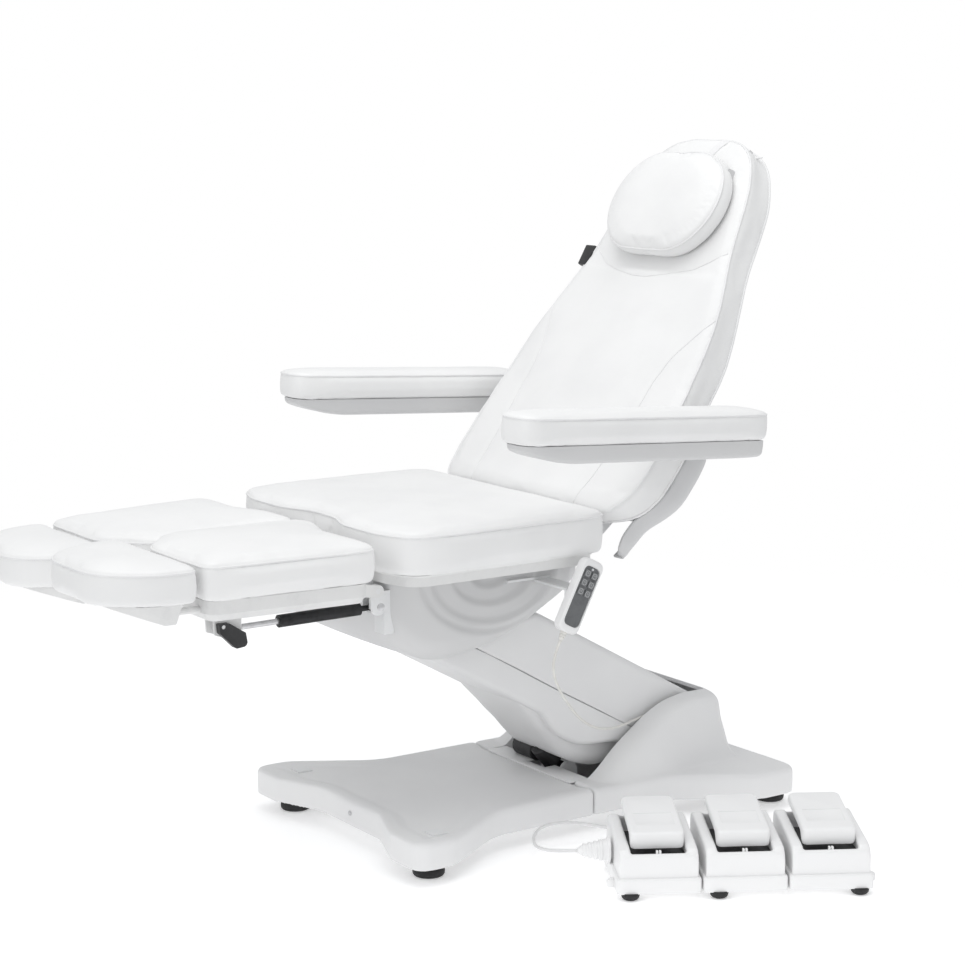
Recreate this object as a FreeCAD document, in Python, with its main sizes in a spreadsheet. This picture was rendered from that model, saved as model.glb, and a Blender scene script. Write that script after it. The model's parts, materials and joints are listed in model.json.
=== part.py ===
import FreeCAD, Part
import math
import os
import Sketcher

# A podiatry chair: a dog-bone base, an inclined lift arm, a seat that tilts, a back that
# reclines, two split leg rests on gas springs, and a three-pedal foot control on the floor.
# Millimetres. The origin is on the floor under the middle of the base. +X is the patient's
# left, -Y the foot end, +Z up. Angles are in degrees.

SIZES = {
    # clearances and stock
    "running_clearance": 0.05,
    "soft_gap": 0.3,
    "side_clearance": 2,
    "cut_overrun": 4,
    "cover_wall": 4,
    "thin_wall": 3,
    "plate_stock": 8,
    "sheet_stock": 4,
    # base frame and feet
    "foot_x": 236,
    "foot_y": 399,
    "foot_radius": 30,
    "foot_height": 22,
    "foot_stem_radius": 9,
    "tray_height": 34,
    "tray_half_width": 165,
    "cross_tube_size": 30,
    "cross_tube_reach": 268,
    # base covers
    "skirt_bottom": 28,
    "skirt_height": 52,
    "skirt_edge_round": 9,
    "waist_half_width": 205,
    "waist_front_reach": 235,
    "waist_rear_reach": 165,
    "front_half_width": 298,
    "front_reach": 460,
    "front_dip": 42,
    "rear_half_width": 305,
    "rear_reach": 414,
    "flare_length": 150,
    "seam_reach": 5,
    "seam_gap": 1.5,
    "plan_round": 130,
    "corner_round": 34,
    "tongue_reach": 30,
    "tongue_notch_half_width": 28,
    "tongue_notch_front": 4,
    # hood over the lift pivot
    "hood_height": 215,
    "hood_front_reach": 8,
    "hood_rear_reach": 366,
    "hood_half_width": 192,
    "hood_round": 46,
    # lift arm
    "lift_pivot_y": 240,
    "lift_pivot_z": 160,
    "arm_length": 596,
    "arm_rise": 271.5,
    "lift_shaft_radius": 12,
    "hub_radius": 20,
    "arm_plate_half_gap": 62,
    "arm_plate_rise": 20,
    "casing_half_width": 126,
    "casing_top_rear": 64,
    "casing_top_front": 80,
    "casing_tail": 50,
    "casing_top_length": 405,
    "seam_drop_rear": 44,
    "seam_drop_front": 26,
    "seam_length": 508,
    "lip_drop": 90,
    "lip_length": 582,
    "lip_bulge": 29,
    "belly_drop": 138,
    "belly_half_width": 104,
    "cable_gland_reach": 28,
    "cable_gland_rise": 29,
    "link_offset": 40,
    "link_x": 43,
    "link_stock": 10,
    "link_half_height": 8,
    "link_pin_radius": 6,
    # carriage and under-seat cover
    "carriage_half_gap": 50,
    "tilt_pivot_y": 30,
    "tilt_pivot_z": 500,
    "tilt_pin_radius": 8,
    "bowl_half_width": 225,
    "bowl_front_reach": 452,
    "bowl_rear_reach": 60,
    "bowl_bottom": 358,
    "bowl_height": 169,
    "bowl_slot_clearance": 12,
    "holder_width": 36,
    # actuators
    "actuator_radius": 18,
    "actuator_rod_radius": 7,
    "actuator_eye_half_width": 8,
    "actuator_pin_radius": 6,
    "lift_actuator_radius": 25,
    "lift_actuator_y": 60,
    "lift_actuator_z": 64,
    "lift_motor_radius": 24,
    "lift_motor_length": 60,
    "lift_crank_length": 426,
    "lift_crank_drop": 45,
    "actuator_x": 100,
    "tilt_actuator_y": 190,
    "tilt_actuator_z": 440,
    "tilt_crank_y": 400,
    "tilt_crank_z": 505,
    "back_actuator_y": 335,
    "back_actuator_z": 502,
    "back_crank_y": 15,
    "back_crank_drop": 60,
    # seat
    "seat_half_width": 300,
    "seat_front_reach": 495,
    "seat_front_dip": 27,
    "seat_rear_reach": 54,
    "seat_board_bottom": 532,
    "seat_board_thickness": 20,
    "seat_board_inset": 20,
    "seat_cushion_thickness": 74,
    "seat_corner_round": 60,
    "crown_height": 13,
    "seat_frame_half_width": 166,
    "seat_frame_front_reach": 462,
    "seat_rail_width": 24,
    "seat_rail_height": 14,
    # back
    "back_hinge_z": 545,
    "back_angle": 60,
    "back_pin_radius": 8,
    "back_length": 838,
    "back_half_width": 305,
    "back_front": 40,
    "back_rear": 46,
    "back_plate_x": 150,
    "back_frame_length": 640,
    "shell_depth": 120,
    "shell_tip_drop": 6,
    "shell_inset": 17,
    "hub_station": 250,
    "hub_offset": 64,
    # armrests
    "armrest_hub_x": 300,
    "armrest_hub_length": 41,
    "armrest_hub_radius": 18,
    "armrest_pin_radius": 9,
    "armrest_centre_x": 390,
    "armrest_half_width": 48,
    "armrest_front_reach": 502,
    "armrest_rear_reach": 44,
    "armrest_tilt_angle": 5.2,
    "armrest_shell_depth": 32,
    "armrest_shell_inset": 5,
    "armrest_cushion_thickness": 48,
    # head pillow
    "pillow_station": 691,
    "pillow_half_length": 101,
    "pillow_half_width": 155,
    "pillow_thickness": 48,
    "back_front_at_pillow": 12,
    # leg rests
    "leg_hinge_y": 478,
    "leg_hinge_z": 516,
    "leg_hinge_x": 178,
    "left_leg_rise_angle": 0.8,
    "right_leg_rise_angle": -1.7,
    "leg_pin_radius": 5,
    "leg_hub_radius": 11,
    "leg_ear_stock": 6,
    "swivel_y": 425,
    "swivel_radius": 18,
    "swivel_pin_radius": 8,
    "spring_pin_drop": 32,
    "spring_pin_back": 5,
    "post_length": 48,
    "post_depth": 20,
    "leg_inner_x": 9,
    "leg_outer_x": 300,
    "leg_board_rear": 68,
    "leg_board_front": 372,
    "leg_board_bottom": 2,
    "leg_board_thickness": 34,
    "leg_board_inset": 14,
    "spring_channel_half_width": 27,
    "spring_channel_depth": 17,
    "calf_front": 384,
    "calf_rear": 62,
    "calf_rear_bulge": 24,
    "calf_thickness": 79,
    "calf_nose_run": 86,
    "calf_nose_drop": 66,
    "calf_round": 22,
    "foot_gap": 13,
    "foot_length": 160,
    "foot_cushion_lift": 2,
    "foot_cushion_thickness": 71,
    "foot_board_drop": 34,
    "foot_board_rise": 44,
    "foot_board_inset": 22,
    "slide_rod_radius": 6,
    "slide_rod_inner_x": 60,
    "slide_rod_outer_x": 250,
    "slide_rod_depth": 226,
    "gas_cylinder_radius": 11,
    "gas_cylinder_start": 30,
    "gas_cylinder_length": 160,
    "gas_rod_radius": 5,
    "gas_eye_radius": 9,
    "gas_eye_half_width": 6,
    "release_y": 294,
    "release_drop": 38,
    "release_lever_length": 46,
    "release_lever_width": 12,
    # handset
    "handset_x": 306,
    "handset_y": 133,
    "handset_z": 487,
    "handset_lean_angle": 27.5,
    "handset_length": 138,
    "handset_width": 47,
    "handset_thickness": 22,
    "handset_round": 16,
    "keypad_length": 112,
    "keypad_width": 36,
    "keypad_recess": 3,
    "key_size": 12,
    "key_pitch_across": 16.5,
    "key_pitch_along": 17,
    "key_first_height": 42,
    "key_travel": 0.8,
    "key_proud": 0.9,
    "handset_relief_length": 16,
    "handset_relief_radius": 5,
    "handset_cable_radius": 2.5,
    # foot control
    "pedal_unit_x": 566,
    "pedal_unit_y": 31,
    "pedal_unit_angle": 60,
    "module_pitch": 150,
    "module_gap": 3,
    "module_depth": 190,
    "module_floor": 12,
    "module_height": 46,
    "module_wall_height": 92,
    "module_wall_width": 20,
    "module_plinth_height": 26,
    "module_plinth_reach": 10,
    "pedal_front_reach": 68,
    "pedal_rear_reach": 74,
    "pedal_front_height": 90,
    "pedal_rear_height": 118,
    "pedal_thickness": 16,
    "pedal_pin_radius": 4,
    "pedal_foot_radius": 15,
    "gland_length": 55,
    "gland_radius": 14,
    "gland_y": 10,
    "gland_z": 58,
    "pedal_cable_radius": 3.25,
    # control box under the front cover
    "cable_clamp_x": 98,
    "cable_clamp_y": 140,
    "control_box_front": 160,
    "control_box_rear": 20,
    "control_box_half_width": 74,
    "control_box_height": 30,
}


class Size:
    """A length or angle together with the expression that gives it from the sheet."""

    def __init__(self, value, text):
        self.value = value
        self.text = text

    def _join(self, other, sign, value):
        text = other.text if isinstance(other, Size) else repr(other)
        return Size(value, f"({self.text} {sign} {text})")

    def __add__(self, other):
        return self._join(other, "+", self.value + number(other))

    def __sub__(self, other):
        return self._join(other, "-", self.value - number(other))

    def __mul__(self, other):
        return self._join(other, "*", self.value * number(other))

    def __truediv__(self, other):
        return self._join(other, "/", self.value / number(other))

    def __rsub__(self, other):
        return Size(number(other) - self.value, f"({other!r} - {self.text})")

    def __neg__(self):
        return Size(-self.value, f"(0 - {self.text})")

    __radd__ = __add__
    __rmul__ = __mul__


def number(item):
    """The plain number in a Size, or the number itself."""
    return item.value if isinstance(item, Size) else item


class Sheet:
    """The driving dimensions, kept in the document's spreadsheet and read as Sizes."""

    def __init__(self, document, values):
        self.page = document.addObject("Spreadsheet::Sheet", "sizes")
        self.values = values
        for row, (alias, value) in enumerate(values.items(), start=1):
            self.page.set(f"A{row}", alias)
            self.page.set(f"B{row}", str(value))
            self.page.setAlias(f"B{row}", alias)

    def __getattr__(self, alias):
        return Size(float(self.values[alias]), f"sizes.{alias}")


doc = FreeCAD.newDocument("podiatry_chair")
S = Sheet(doc, SIZES)
doc.recompute()
V = FreeCAD.Vector
X_AXIS = V(1, 0, 0)
Y_AXIS = V(0, 1, 0)
Z_AXIS = V(0, 0, 1)
nodes = []
names_used = {}


def unique(name):
    """A document name with a running number, so that helper shapes never clash."""
    names_used[name] = names_used.get(name, 0) + 1
    return f"{name}_{names_used[name]}"


def bind(item, name, size):
    """Tie a property to the sheet, or set it when it is a plain number."""
    if isinstance(size, Size):
        item.setExpression(name, size.text)
    elif name in item.PropertiesList:
        setattr(item, name, size)


def put(item, x, y, z, rotation=None):
    """Place a helper shape at bound coordinates with a fixed rotation."""
    turn = rotation or FreeCAD.Rotation()
    item.Placement = FreeCAD.Placement(V(number(x), number(y), number(z)), turn)
    for letter, size in zip("xyz", (x, y, z)):
        bind(item, f"Placement.Base.{letter}", size)


def block(x, y, z):
    """A box between bound low and high limits on each axis."""
    item = doc.addObject("Part::Box", unique("block"))
    bind(item, "Length", x[1] - x[0])
    bind(item, "Width", y[1] - y[0])
    bind(item, "Height", z[1] - z[0])
    put(item, x[0], y[0], z[0])
    return item


def rod(axis, span, centre, radius):
    """A cylinder along x, y or z, over a span, about the other two coordinates."""
    item = doc.addObject("Part::Cylinder", unique("rod"))
    bind(item, "Radius", radius)
    bind(item, "Height", span[1] - span[0])
    first, second = centre
    if axis == "x":
        put(item, span[0], first, second, FreeCAD.Rotation(Y_AXIS, 90))
    elif axis == "y":
        put(item, first, span[0], second, FreeCAD.Rotation(X_AXIS, -90))
    else:
        put(item, first, second, span[0])
    return item


def prism(plane, points, span, rounds=None):
    """A body padded from a bound sketch outline; rounds gives the radius at some corners."""
    body = doc.addObject("PartDesign::Body", unique("plate"))
    sketch = body.newObject("Sketcher::SketchObject", unique("outline"))
    role = {"xy": "XY_Plane", "xz": "XZ_Plane", "yz": "YZ_Plane"}[plane]
    base = [item for item in body.Origin.OriginFeatures if item.Role == role][0]
    sketch.AttachmentSupport = [(base, "")]
    sketch.MapMode = "FlatFace"
    count = len(points)
    flat = [V(number(a), number(b), 0) for a, b in points]
    for i in range(count):
        sketch.addGeometry(Part.LineSegment(flat[i], flat[(i + 1) % count]), False)
    for i in range(count):
        sketch.addConstraint(Sketcher.Constraint("Coincident", i, 2, (i + 1) % count, 1))
    for i, corner in enumerate(points):
        for kind, size in zip(("DistanceX", "DistanceY"), corner):
            index = sketch.addConstraint(Sketcher.Constraint(kind, -1, 1, i, 1, number(size)))
            bind(sketch, f"Constraints[{index}]", size)
    start = span[0]
    if plane == "xz":
        start = -span[1]
    offset = {"AttachmentOffset.Base.z": start}
    sketch.AttachmentOffset = FreeCAD.Placement(V(0, 0, number(start)), FreeCAD.Rotation())
    for name, size in offset.items():
        bind(sketch, name, size)
    pad = body.newObject("PartDesign::Pad", unique("pad"))
    pad.Profile = sketch
    bind(pad, "Length", span[1] - span[0])
    if rounds:
        doc.recompute()
        axis = {"xy": 2, "xz": 1, "yz": 0}[plane]
        for index, radius in rounds.items():
            spot = flat[index]
            previous = body.Tip
            edges = corner_edges(previous.Shape, axis, plane, spot)
            fillet = body.newObject("PartDesign::Fillet", unique("round"))
            fillet.Base = (previous, edges)
            bind(fillet, "Radius", radius)
            doc.recompute()
    return body


def corner_edges(shape, axis, plane, spot):
    """Names of the straight edges along an axis that stand on one corner of the outline."""
    found = []
    for i, edge in enumerate(shape.Edges, start=1):
        ends = [vertex.Point for vertex in edge.Vertexes]
        if len(ends) != 2:
            continue
        flats = [{"xy": (p.x, p.y), "xz": (p.x, p.z), "yz": (p.y, p.z)}[plane] for p in ends]
        near = all(math.dist(flat, (spot.x, spot.y)) < number(S.running_clearance) for flat in flats)
        if near and abs(ends[0][axis] - ends[1][axis]) > number(S.running_clearance):
            found.append(f"Edge{i}")
    return found


def fuse(*items):
    """One solid, or a group, from several helper shapes."""
    item = doc.addObject("Part::MultiFuse", unique("joined"))
    item.Shapes = list(items)
    item.Refine = True
    return item


def cut(base, *tools):
    """A shape with one or more others taken away."""
    for tool in tools:
        item = doc.addObject("Part::Cut", unique("cut"))
        item.Base = base
        item.Tool = tool
        item.Refine = True
        base = item
    return base


def feature(shape):
    """A document object that holds a shape made by Part's own functions."""
    item = doc.addObject("Part::Feature", unique("form"))
    item.Shape = shape
    return item


def node(label, item, placement=None):
    """Name a finished sub-part and set it in its place."""
    item.Label = label
    if placement is not None:
        item.Placement = placement
    nodes.append(item)
    return item


def tilted(y, z, angle, x=0):
    """The frame of an assembly that is turned about X: its origin and its angle."""
    return FreeCAD.Placement(V(number(x), number(y), number(z)), FreeCAD.Rotation(X_AXIS, angle))


def world(frame, y, z, x=0):
    """A point of a tilted frame in the chair's own frame."""
    return frame.multVec(V(number(x), number(y), number(z)))


def offset_corners(corners, inset):
    """The corners of a counter-clockwise outline moved inwards by one distance."""
    moved = []
    count = len(corners)
    for i in range(count):
        before = V(*corners[i - 1], 0)
        here = V(*corners[i], 0)
        after = V(*corners[(i + 1) % count], 0)
        into = (here - before).normalize()
        out = (after - here).normalize()
        side = V(-into.y, into.x, 0) + V(-out.y, out.x, 0)
        scale = inset / (1 + into.dot(out))
        moved.append((here.x + side.x * scale, here.y + side.y * scale))
    return moved


def rounded_wire(corners, radii, height, inset=0):
    """A closed wire of lines and tangent arcs at one height, drawn in by an inset."""
    points = offset_corners(corners, inset)
    count = len(points)
    tangents = []
    for i in range(count):
        before = V(*points[i - 1], height)
        here = V(*points[i], height)
        after = V(*points[(i + 1) % count], height)
        into = (here - before).normalize()
        out = (after - here).normalize()
        turn = into.getAngle(out)
        convex = into.x * out.y - into.y * out.x > 0
        radius = max(radii[i] - inset, radii[i] / 4) if convex else radii[i] + inset
        reach = radius * math.tan(turn / 2)
        limit = min((here - before).Length, (after - here).Length) * 0.48
        reach = min(reach, limit)
        radius = reach / math.tan(turn / 2)
        inner = (out - into).normalize()
        middle = here + inner * (radius / math.cos(turn / 2) - radius)
        tangents.append((here - into * reach, middle, here + out * reach))
    edges = []
    for i in range(count):
        first, middle, last = tangents[i]
        edges.append(Part.Arc(first, middle, last).toShape())
        edges.append(Part.LineSegment(last, tangents[(i + 1) % count][0]).toShape())
    return Part.Wire(edges)


def stack(corners, radii, levels):
    """A ruled solid through one outline at several heights, each with its own inset."""
    wires = [rounded_wire(corners, radii, height, inset) for height, inset in levels]
    return Part.makeLoft(wires, True, True)


def mirror_x(corners, radii):
    """The outline of the opposite hand, still counter-clockwise."""
    return [(-x, y) for x, y in reversed(corners)], list(reversed(radii))


def cushion_levels(bottom, thickness, crown):
    """Heights and insets of a cushion: drawn-in side, seam and crown, as shares of its size."""
    height_shares = (0, 0.08, 0.45, 0.84, 0.93, 0.98, 1)
    inset_shares = (0.09, 0.02, 0.04, 0.0, 0.07, 0.3, 0.62)
    body = thickness - crown
    levels = []
    for share, inset in zip(height_shares, inset_shares):
        levels.append((bottom + share * (body + crown), inset * thickness))
    return levels


# Frames of the assemblies that are tilted
lift_pivot = (S.lift_pivot_y, S.lift_pivot_z)
arm_pitch = math.degrees(math.asin(number(S.arm_rise) / number(S.arm_length)))
arm_frame = tilted(S.lift_pivot_y, S.lift_pivot_z, -arm_pitch)
carriage_point = world(arm_frame, -S.arm_length, 0)
tilt_pivot = (-S.tilt_pivot_y, S.tilt_pivot_z)
back_frame_place = tilted(0, S.back_hinge_z, number(S.back_angle))
hub_point = world(back_frame_place, S.hub_station, -S.hub_offset)
armrest_frame = tilted(hub_point.y, hub_point.z, -number(S.armrest_tilt_angle))


# Base: frame, feet, covers and control box

def outline_of_cover(front):
    """Half of the dog-bone plan as corners and radii, the front or the rear one."""
    waist = number(S.waist_half_width)
    flare = number(S.flare_length)
    big = number(S.plan_round)
    small = number(S.corner_round)
    seam = number(S.seam_reach)
    if front:
        wide = number(S.front_half_width)
        reach = number(S.front_reach)
        bend = number(S.waist_front_reach)
        edge = seam + number(S.seam_gap)
        dip = reach - number(S.front_dip)
        right = [(waist, -edge), (-waist, -edge), (-waist, -bend), (-wide, -bend - flare)]
        corners = right + [(-wide, -reach), (-waist, -reach), (-waist / 2, -dip), (waist / 2, -dip)]
        corners += [(waist, -reach), (wide, -reach), (wide, -bend - flare), (waist, -bend)]
        radii = [small / 4, small / 4, big, small * 2, small, small, small * 2, small * 2]
        radii += [small, small, small * 2, big]
        return corners, radii
    wide = number(S.rear_half_width)
    reach = number(S.rear_reach)
    bend = number(S.waist_rear_reach)
    corners = [(waist, -seam), (waist, bend), (wide, bend + flare), (wide, reach)]
    corners += [(-wide, reach), (-wide, bend + flare), (-waist, bend), (-waist, -seam)]
    radii = [small / 4, big, small * 2, small, small, small * 2, big, small / 4]
    return corners, radii


def skirt(front):
    """The outer and inner solids of one skirt cover."""
    corners, radii = outline_of_cover(front)
    low = number(S.skirt_bottom)
    top = low + number(S.skirt_height)
    edge = number(S.skirt_edge_round)
    wall = number(S.cover_wall)
    outer_levels = [(low, wall / 2), (low + wall, 0), (top - edge, 0)]
    outer_levels += [(top - edge / 3, edge / 3), (top, edge)]
    outer = stack(corners, radii, outer_levels)
    inner = stack(corners, radii, [(low - wall, wall * 1.5), (top - edge, wall), (top - wall, edge)])
    return outer, inner


def hood_shape(inset):
    """The outer or inner solid of the hood, from horizontal sections."""
    low = number(S.skirt_bottom) + number(S.skirt_height) - number(S.skirt_edge_round)
    rise = number(S.hood_height) - low
    front = number(S.hood_front_reach)
    depth = number(S.hood_rear_reach) - front
    height_shares = (0, 0.2, 0.44, 0.66, 0.84, 0.95, 1)
    front_shares = (0, 0.11, 0.22, 0.345, 0.46, 0.57, 0.68)
    rear_shares = (1.06, 0.98, 0.955, 0.935, 0.93, 0.9, 0.86)
    width_shares = (1.06, 0.985, 0.95, 0.925, 0.9, 0.87, 0.79)
    wires = []
    for height, near, far, width in zip(height_shares, front_shares, rear_shares, width_shares):
        half = number(S.hood_half_width) * width
        first = front + depth * near
        last = front + depth * far
        corners = [(half, first), (half, last), (-half, last), (-half, first)]
        radii = [number(S.hood_round)] * 4
        level = low + rise * height - inset * height
        wires.append(rounded_wire(corners, radii, level, inset))
    return Part.makeLoft(wires, True, True)


def seam_opening():
    """The way through between the two skirts, below their tops, for the tray."""
    half = number(S.waist_half_width) - number(S.cover_wall) * 2
    deep = number(S.seam_reach) + number(S.cover_wall) * 2
    top = number(S.skirt_height) - number(S.skirt_edge_round) - number(S.cover_wall)
    return Part.makeBox(half * 2, deep * 2, top * 2, V(-half, -deep, number(S.skirt_bottom) - top))


def hood_slot_half():
    """Half the width of the way that the hood leaves for the arm."""
    upright = number(S.casing_half_width) + number(S.side_clearance) * 2 + number(S.leg_ear_stock)
    return upright + number(S.side_clearance)


def cover_tongue():
    """The front cover's flat tongue between the hood's cheeks, notched for the lift actuator."""
    half = hood_slot_half() - number(S.side_clearance)
    wall = number(S.cover_wall)
    top = number(S.skirt_bottom) + number(S.skirt_height)
    start = number(S.seam_reach) + number(S.skirt_edge_round) * 2
    reach = number(S.tongue_reach)
    notch_half = number(S.tongue_notch_half_width)
    notch_front = number(S.tongue_notch_front)
    plate = Part.makeBox(half * 2, start + reach, wall, V(-half, -start, top - wall))
    notch = Part.makeBox(notch_half * 2, reach, wall * 3, V(-notch_half, notch_front, top - wall * 2))
    return plate.cut(notch)


def make_base():
    """Tray, cross tubes, uprights, pivots, feet, the two covers and the control box."""
    tray_top = S.tray_height + S.sheet_stock
    tube_top = S.tray_height + S.cross_tube_size
    tube_inner = S.foot_y - S.foot_radius
    reach = S.cross_tube_reach
    width = S.tray_half_width
    tray = block((-width, width), (-tube_inner, tube_inner), (S.tray_height, tray_top))
    front_tube = block((-reach, reach), (-tube_inner - S.cross_tube_size, -tube_inner), (S.tray_height,
                                                                tube_top))
    rear_tube = block((-reach, reach), (tube_inner, tube_inner + S.cross_tube_size), (S.tray_height,
                                                                tube_top))
    pieces = [tray, front_tube, rear_tube]
    ceiling = S.skirt_bottom + S.skirt_height - S.cover_wall
    ledge = S.foot_radius / 2
    for x in (S.foot_x, -S.foot_x):
        pieces.append(block((x - ledge, x + ledge), (-tube_inner - S.cross_tube_size, -tube_inner),
                            (S.tray_height, ceiling)))
    upright_inner = S.casing_half_width + S.side_clearance
    upright_outer = upright_inner + S.leg_ear_stock
    for low, high in ((upright_inner, upright_outer), (-upright_outer, -upright_inner)):
        foot = S.hub_radius * 2.5
        side = prism("yz", [(S.lift_pivot_y - foot, S.tray_height), (S.lift_pivot_y + foot, S.tray_height),
                            (S.lift_pivot_y + S.hub_radius, S.lift_pivot_z),
                            (S.lift_pivot_y - S.hub_radius, S.lift_pivot_z)], (low, high))
        pieces.append(side)
        pieces.append(rod("x", (low, high), lift_pivot, S.hub_radius - S.side_clearance))
    pieces.append(rod("x", (-upright_outer, upright_outer), lift_pivot, S.lift_shaft_radius))
    link_y, link_z = link_anchor()
    for side in (-1, 1):
        gap = S.link_stock / 2 + S.side_clearance / 2
        near = -S.link_x + side * gap
        far = -S.link_x + side * (gap + S.leg_ear_stock * 0.75)
        low, high = (near, far) if side > 0 else (far, near)
        post = block((low, high), (link_y - S.hub_radius / 2, link_y + S.hub_radius), (S.tray_height,
                                                                link_z))
        pieces.append(post)
        pieces.append(rod("x", (low, high), (link_y, link_z), S.hub_radius / 2))
    pin_low = -S.link_x - S.link_stock
    pin_high = -S.link_x + S.link_stock
    pieces.append(rod("x", (pin_low, pin_high), (link_y, link_z), S.link_pin_radius))
    for low, high in lift_actuator_cheeks():
        y = S.lift_actuator_y
        cheek = block((low, high), (y - S.hub_radius, y + S.hub_radius), (S.tray_height, S.lift_actuator_z))
        pieces.append(cheek)
        pieces.append(rod("x", (low, high), (y, S.lift_actuator_z), S.hub_radius))
    right_cheek, left_cheek = lift_actuator_cheeks()
    grip = S.actuator_eye_half_width
    pins = [(right_cheek[0], right_cheek[1] + grip), (left_cheek[0] - grip, left_cheek[1])]
    for low, high in pins:
        pieces.append(rod("x", (low, high), (S.lift_actuator_y, S.lift_actuator_z), S.actuator_pin_radius))
    clamp_y = S.cable_clamp_y
    grip = S.hub_radius / 2
    pieces.append(block((S.cable_clamp_x - S.hub_radius, S.cable_clamp_x), (clamp_y - grip, clamp_y + grip),
                        (S.tray_height - S.hub_radius, S.tray_height)))
    node("base_frame", fuse(*pieces))

    feet = []
    spots = [(x, y) for x in (S.foot_x, -S.foot_x) for y in (S.foot_y, -S.foot_y)]
    for x, y in spots + [(S.foot_x * 0, S.foot_y * 0)]:
        disc = rod("z", (0, S.foot_height), (x, y), S.foot_radius)
        stem = rod("z", (0, S.tray_height), (x, y), S.foot_stem_radius)
        feet.append(fuse(disc, stem))
    feet += pedal_feet()
    group = doc.addObject("Part::Compound", "feet_group")
    group.Links = feet
    node("rubber_feet", group)

    wall = number(S.cover_wall)
    outer, inner = skirt(True)
    front = outer.cut(inner).cut(seam_opening()).fuse(cover_tongue()).removeSplitter()
    node("front_base_cover", feature(front))

    outer, inner = skirt(False)
    slot_half = hood_slot_half()
    floor = number(S.skirt_bottom)
    high = number(S.hood_height) * 2
    rear = number(S.hood_rear_reach) * 0.905
    long = number(S.rear_reach)
    hood_outer = hood_shape(0)
    hood_inner = hood_shape(wall)
    middle = Part.makeBox((slot_half + wall) * 2, long * 2, high, V(-slot_half - wall, -long, -high / 2))
    tail = Part.makeBox(long * 2, long, high * 2, V(-long, rear + wall, -high))
    hollow = hood_inner.cut(middle).fuse(hood_inner.common(tail))
    slot = Part.makeBox(slot_half * 2, rear + long, high, V(-slot_half, -long, floor - wall))
    cover = outer.fuse(hood_outer).cut(inner).cut(hollow).cut(slot).cut(seam_opening()).removeSplitter()
    node("rear_base_cover", feature(cover))

    side = S.control_box_half_width
    box_low = tray_top
    box = block((-side, side), (-S.control_box_front, -S.control_box_rear), (box_low,
                                                                box_low + S.control_box_height))
    node("control_box", box)


def link_anchor():
    """The levelling link's fixed pivot, straight above the lift pivot in the arm's own frame."""
    angle = math.radians(arm_pitch)
    return S.lift_pivot_y + S.link_offset * math.sin(angle), S.lift_pivot_z + S.link_offset * math.cos(angle)


def lift_actuator_cheeks():
    """The two cheeks that carry the lift actuator, right and left of it."""
    thick = S.leg_ear_stock
    left = S.lift_actuator_radius + S.side_clearance
    right = -S.lift_actuator_radius - S.lift_motor_length - S.side_clearance
    return (right - thick, right), (left, left + thick)


# Lift arm: two plates, two covers, levelling link and actuator

def arm_profile_top():
    """Top cover's side in the arm frame: y runs back from the carriage end."""
    tail = S.casing_tail
    return [(tail, -S.seam_drop_rear), (tail, S.casing_top_rear), (-S.casing_top_length,
                                                                S.casing_top_front),
            (-S.seam_length, -S.seam_drop_front)]


def level_in_arm(y, z):
    """A point given level, from the lift pivot, as the pitched arm's frame has it."""
    angle = math.radians(arm_pitch)
    return y * math.cos(angle) - z * math.sin(angle), y * math.sin(angle) + z * math.cos(angle)


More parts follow.
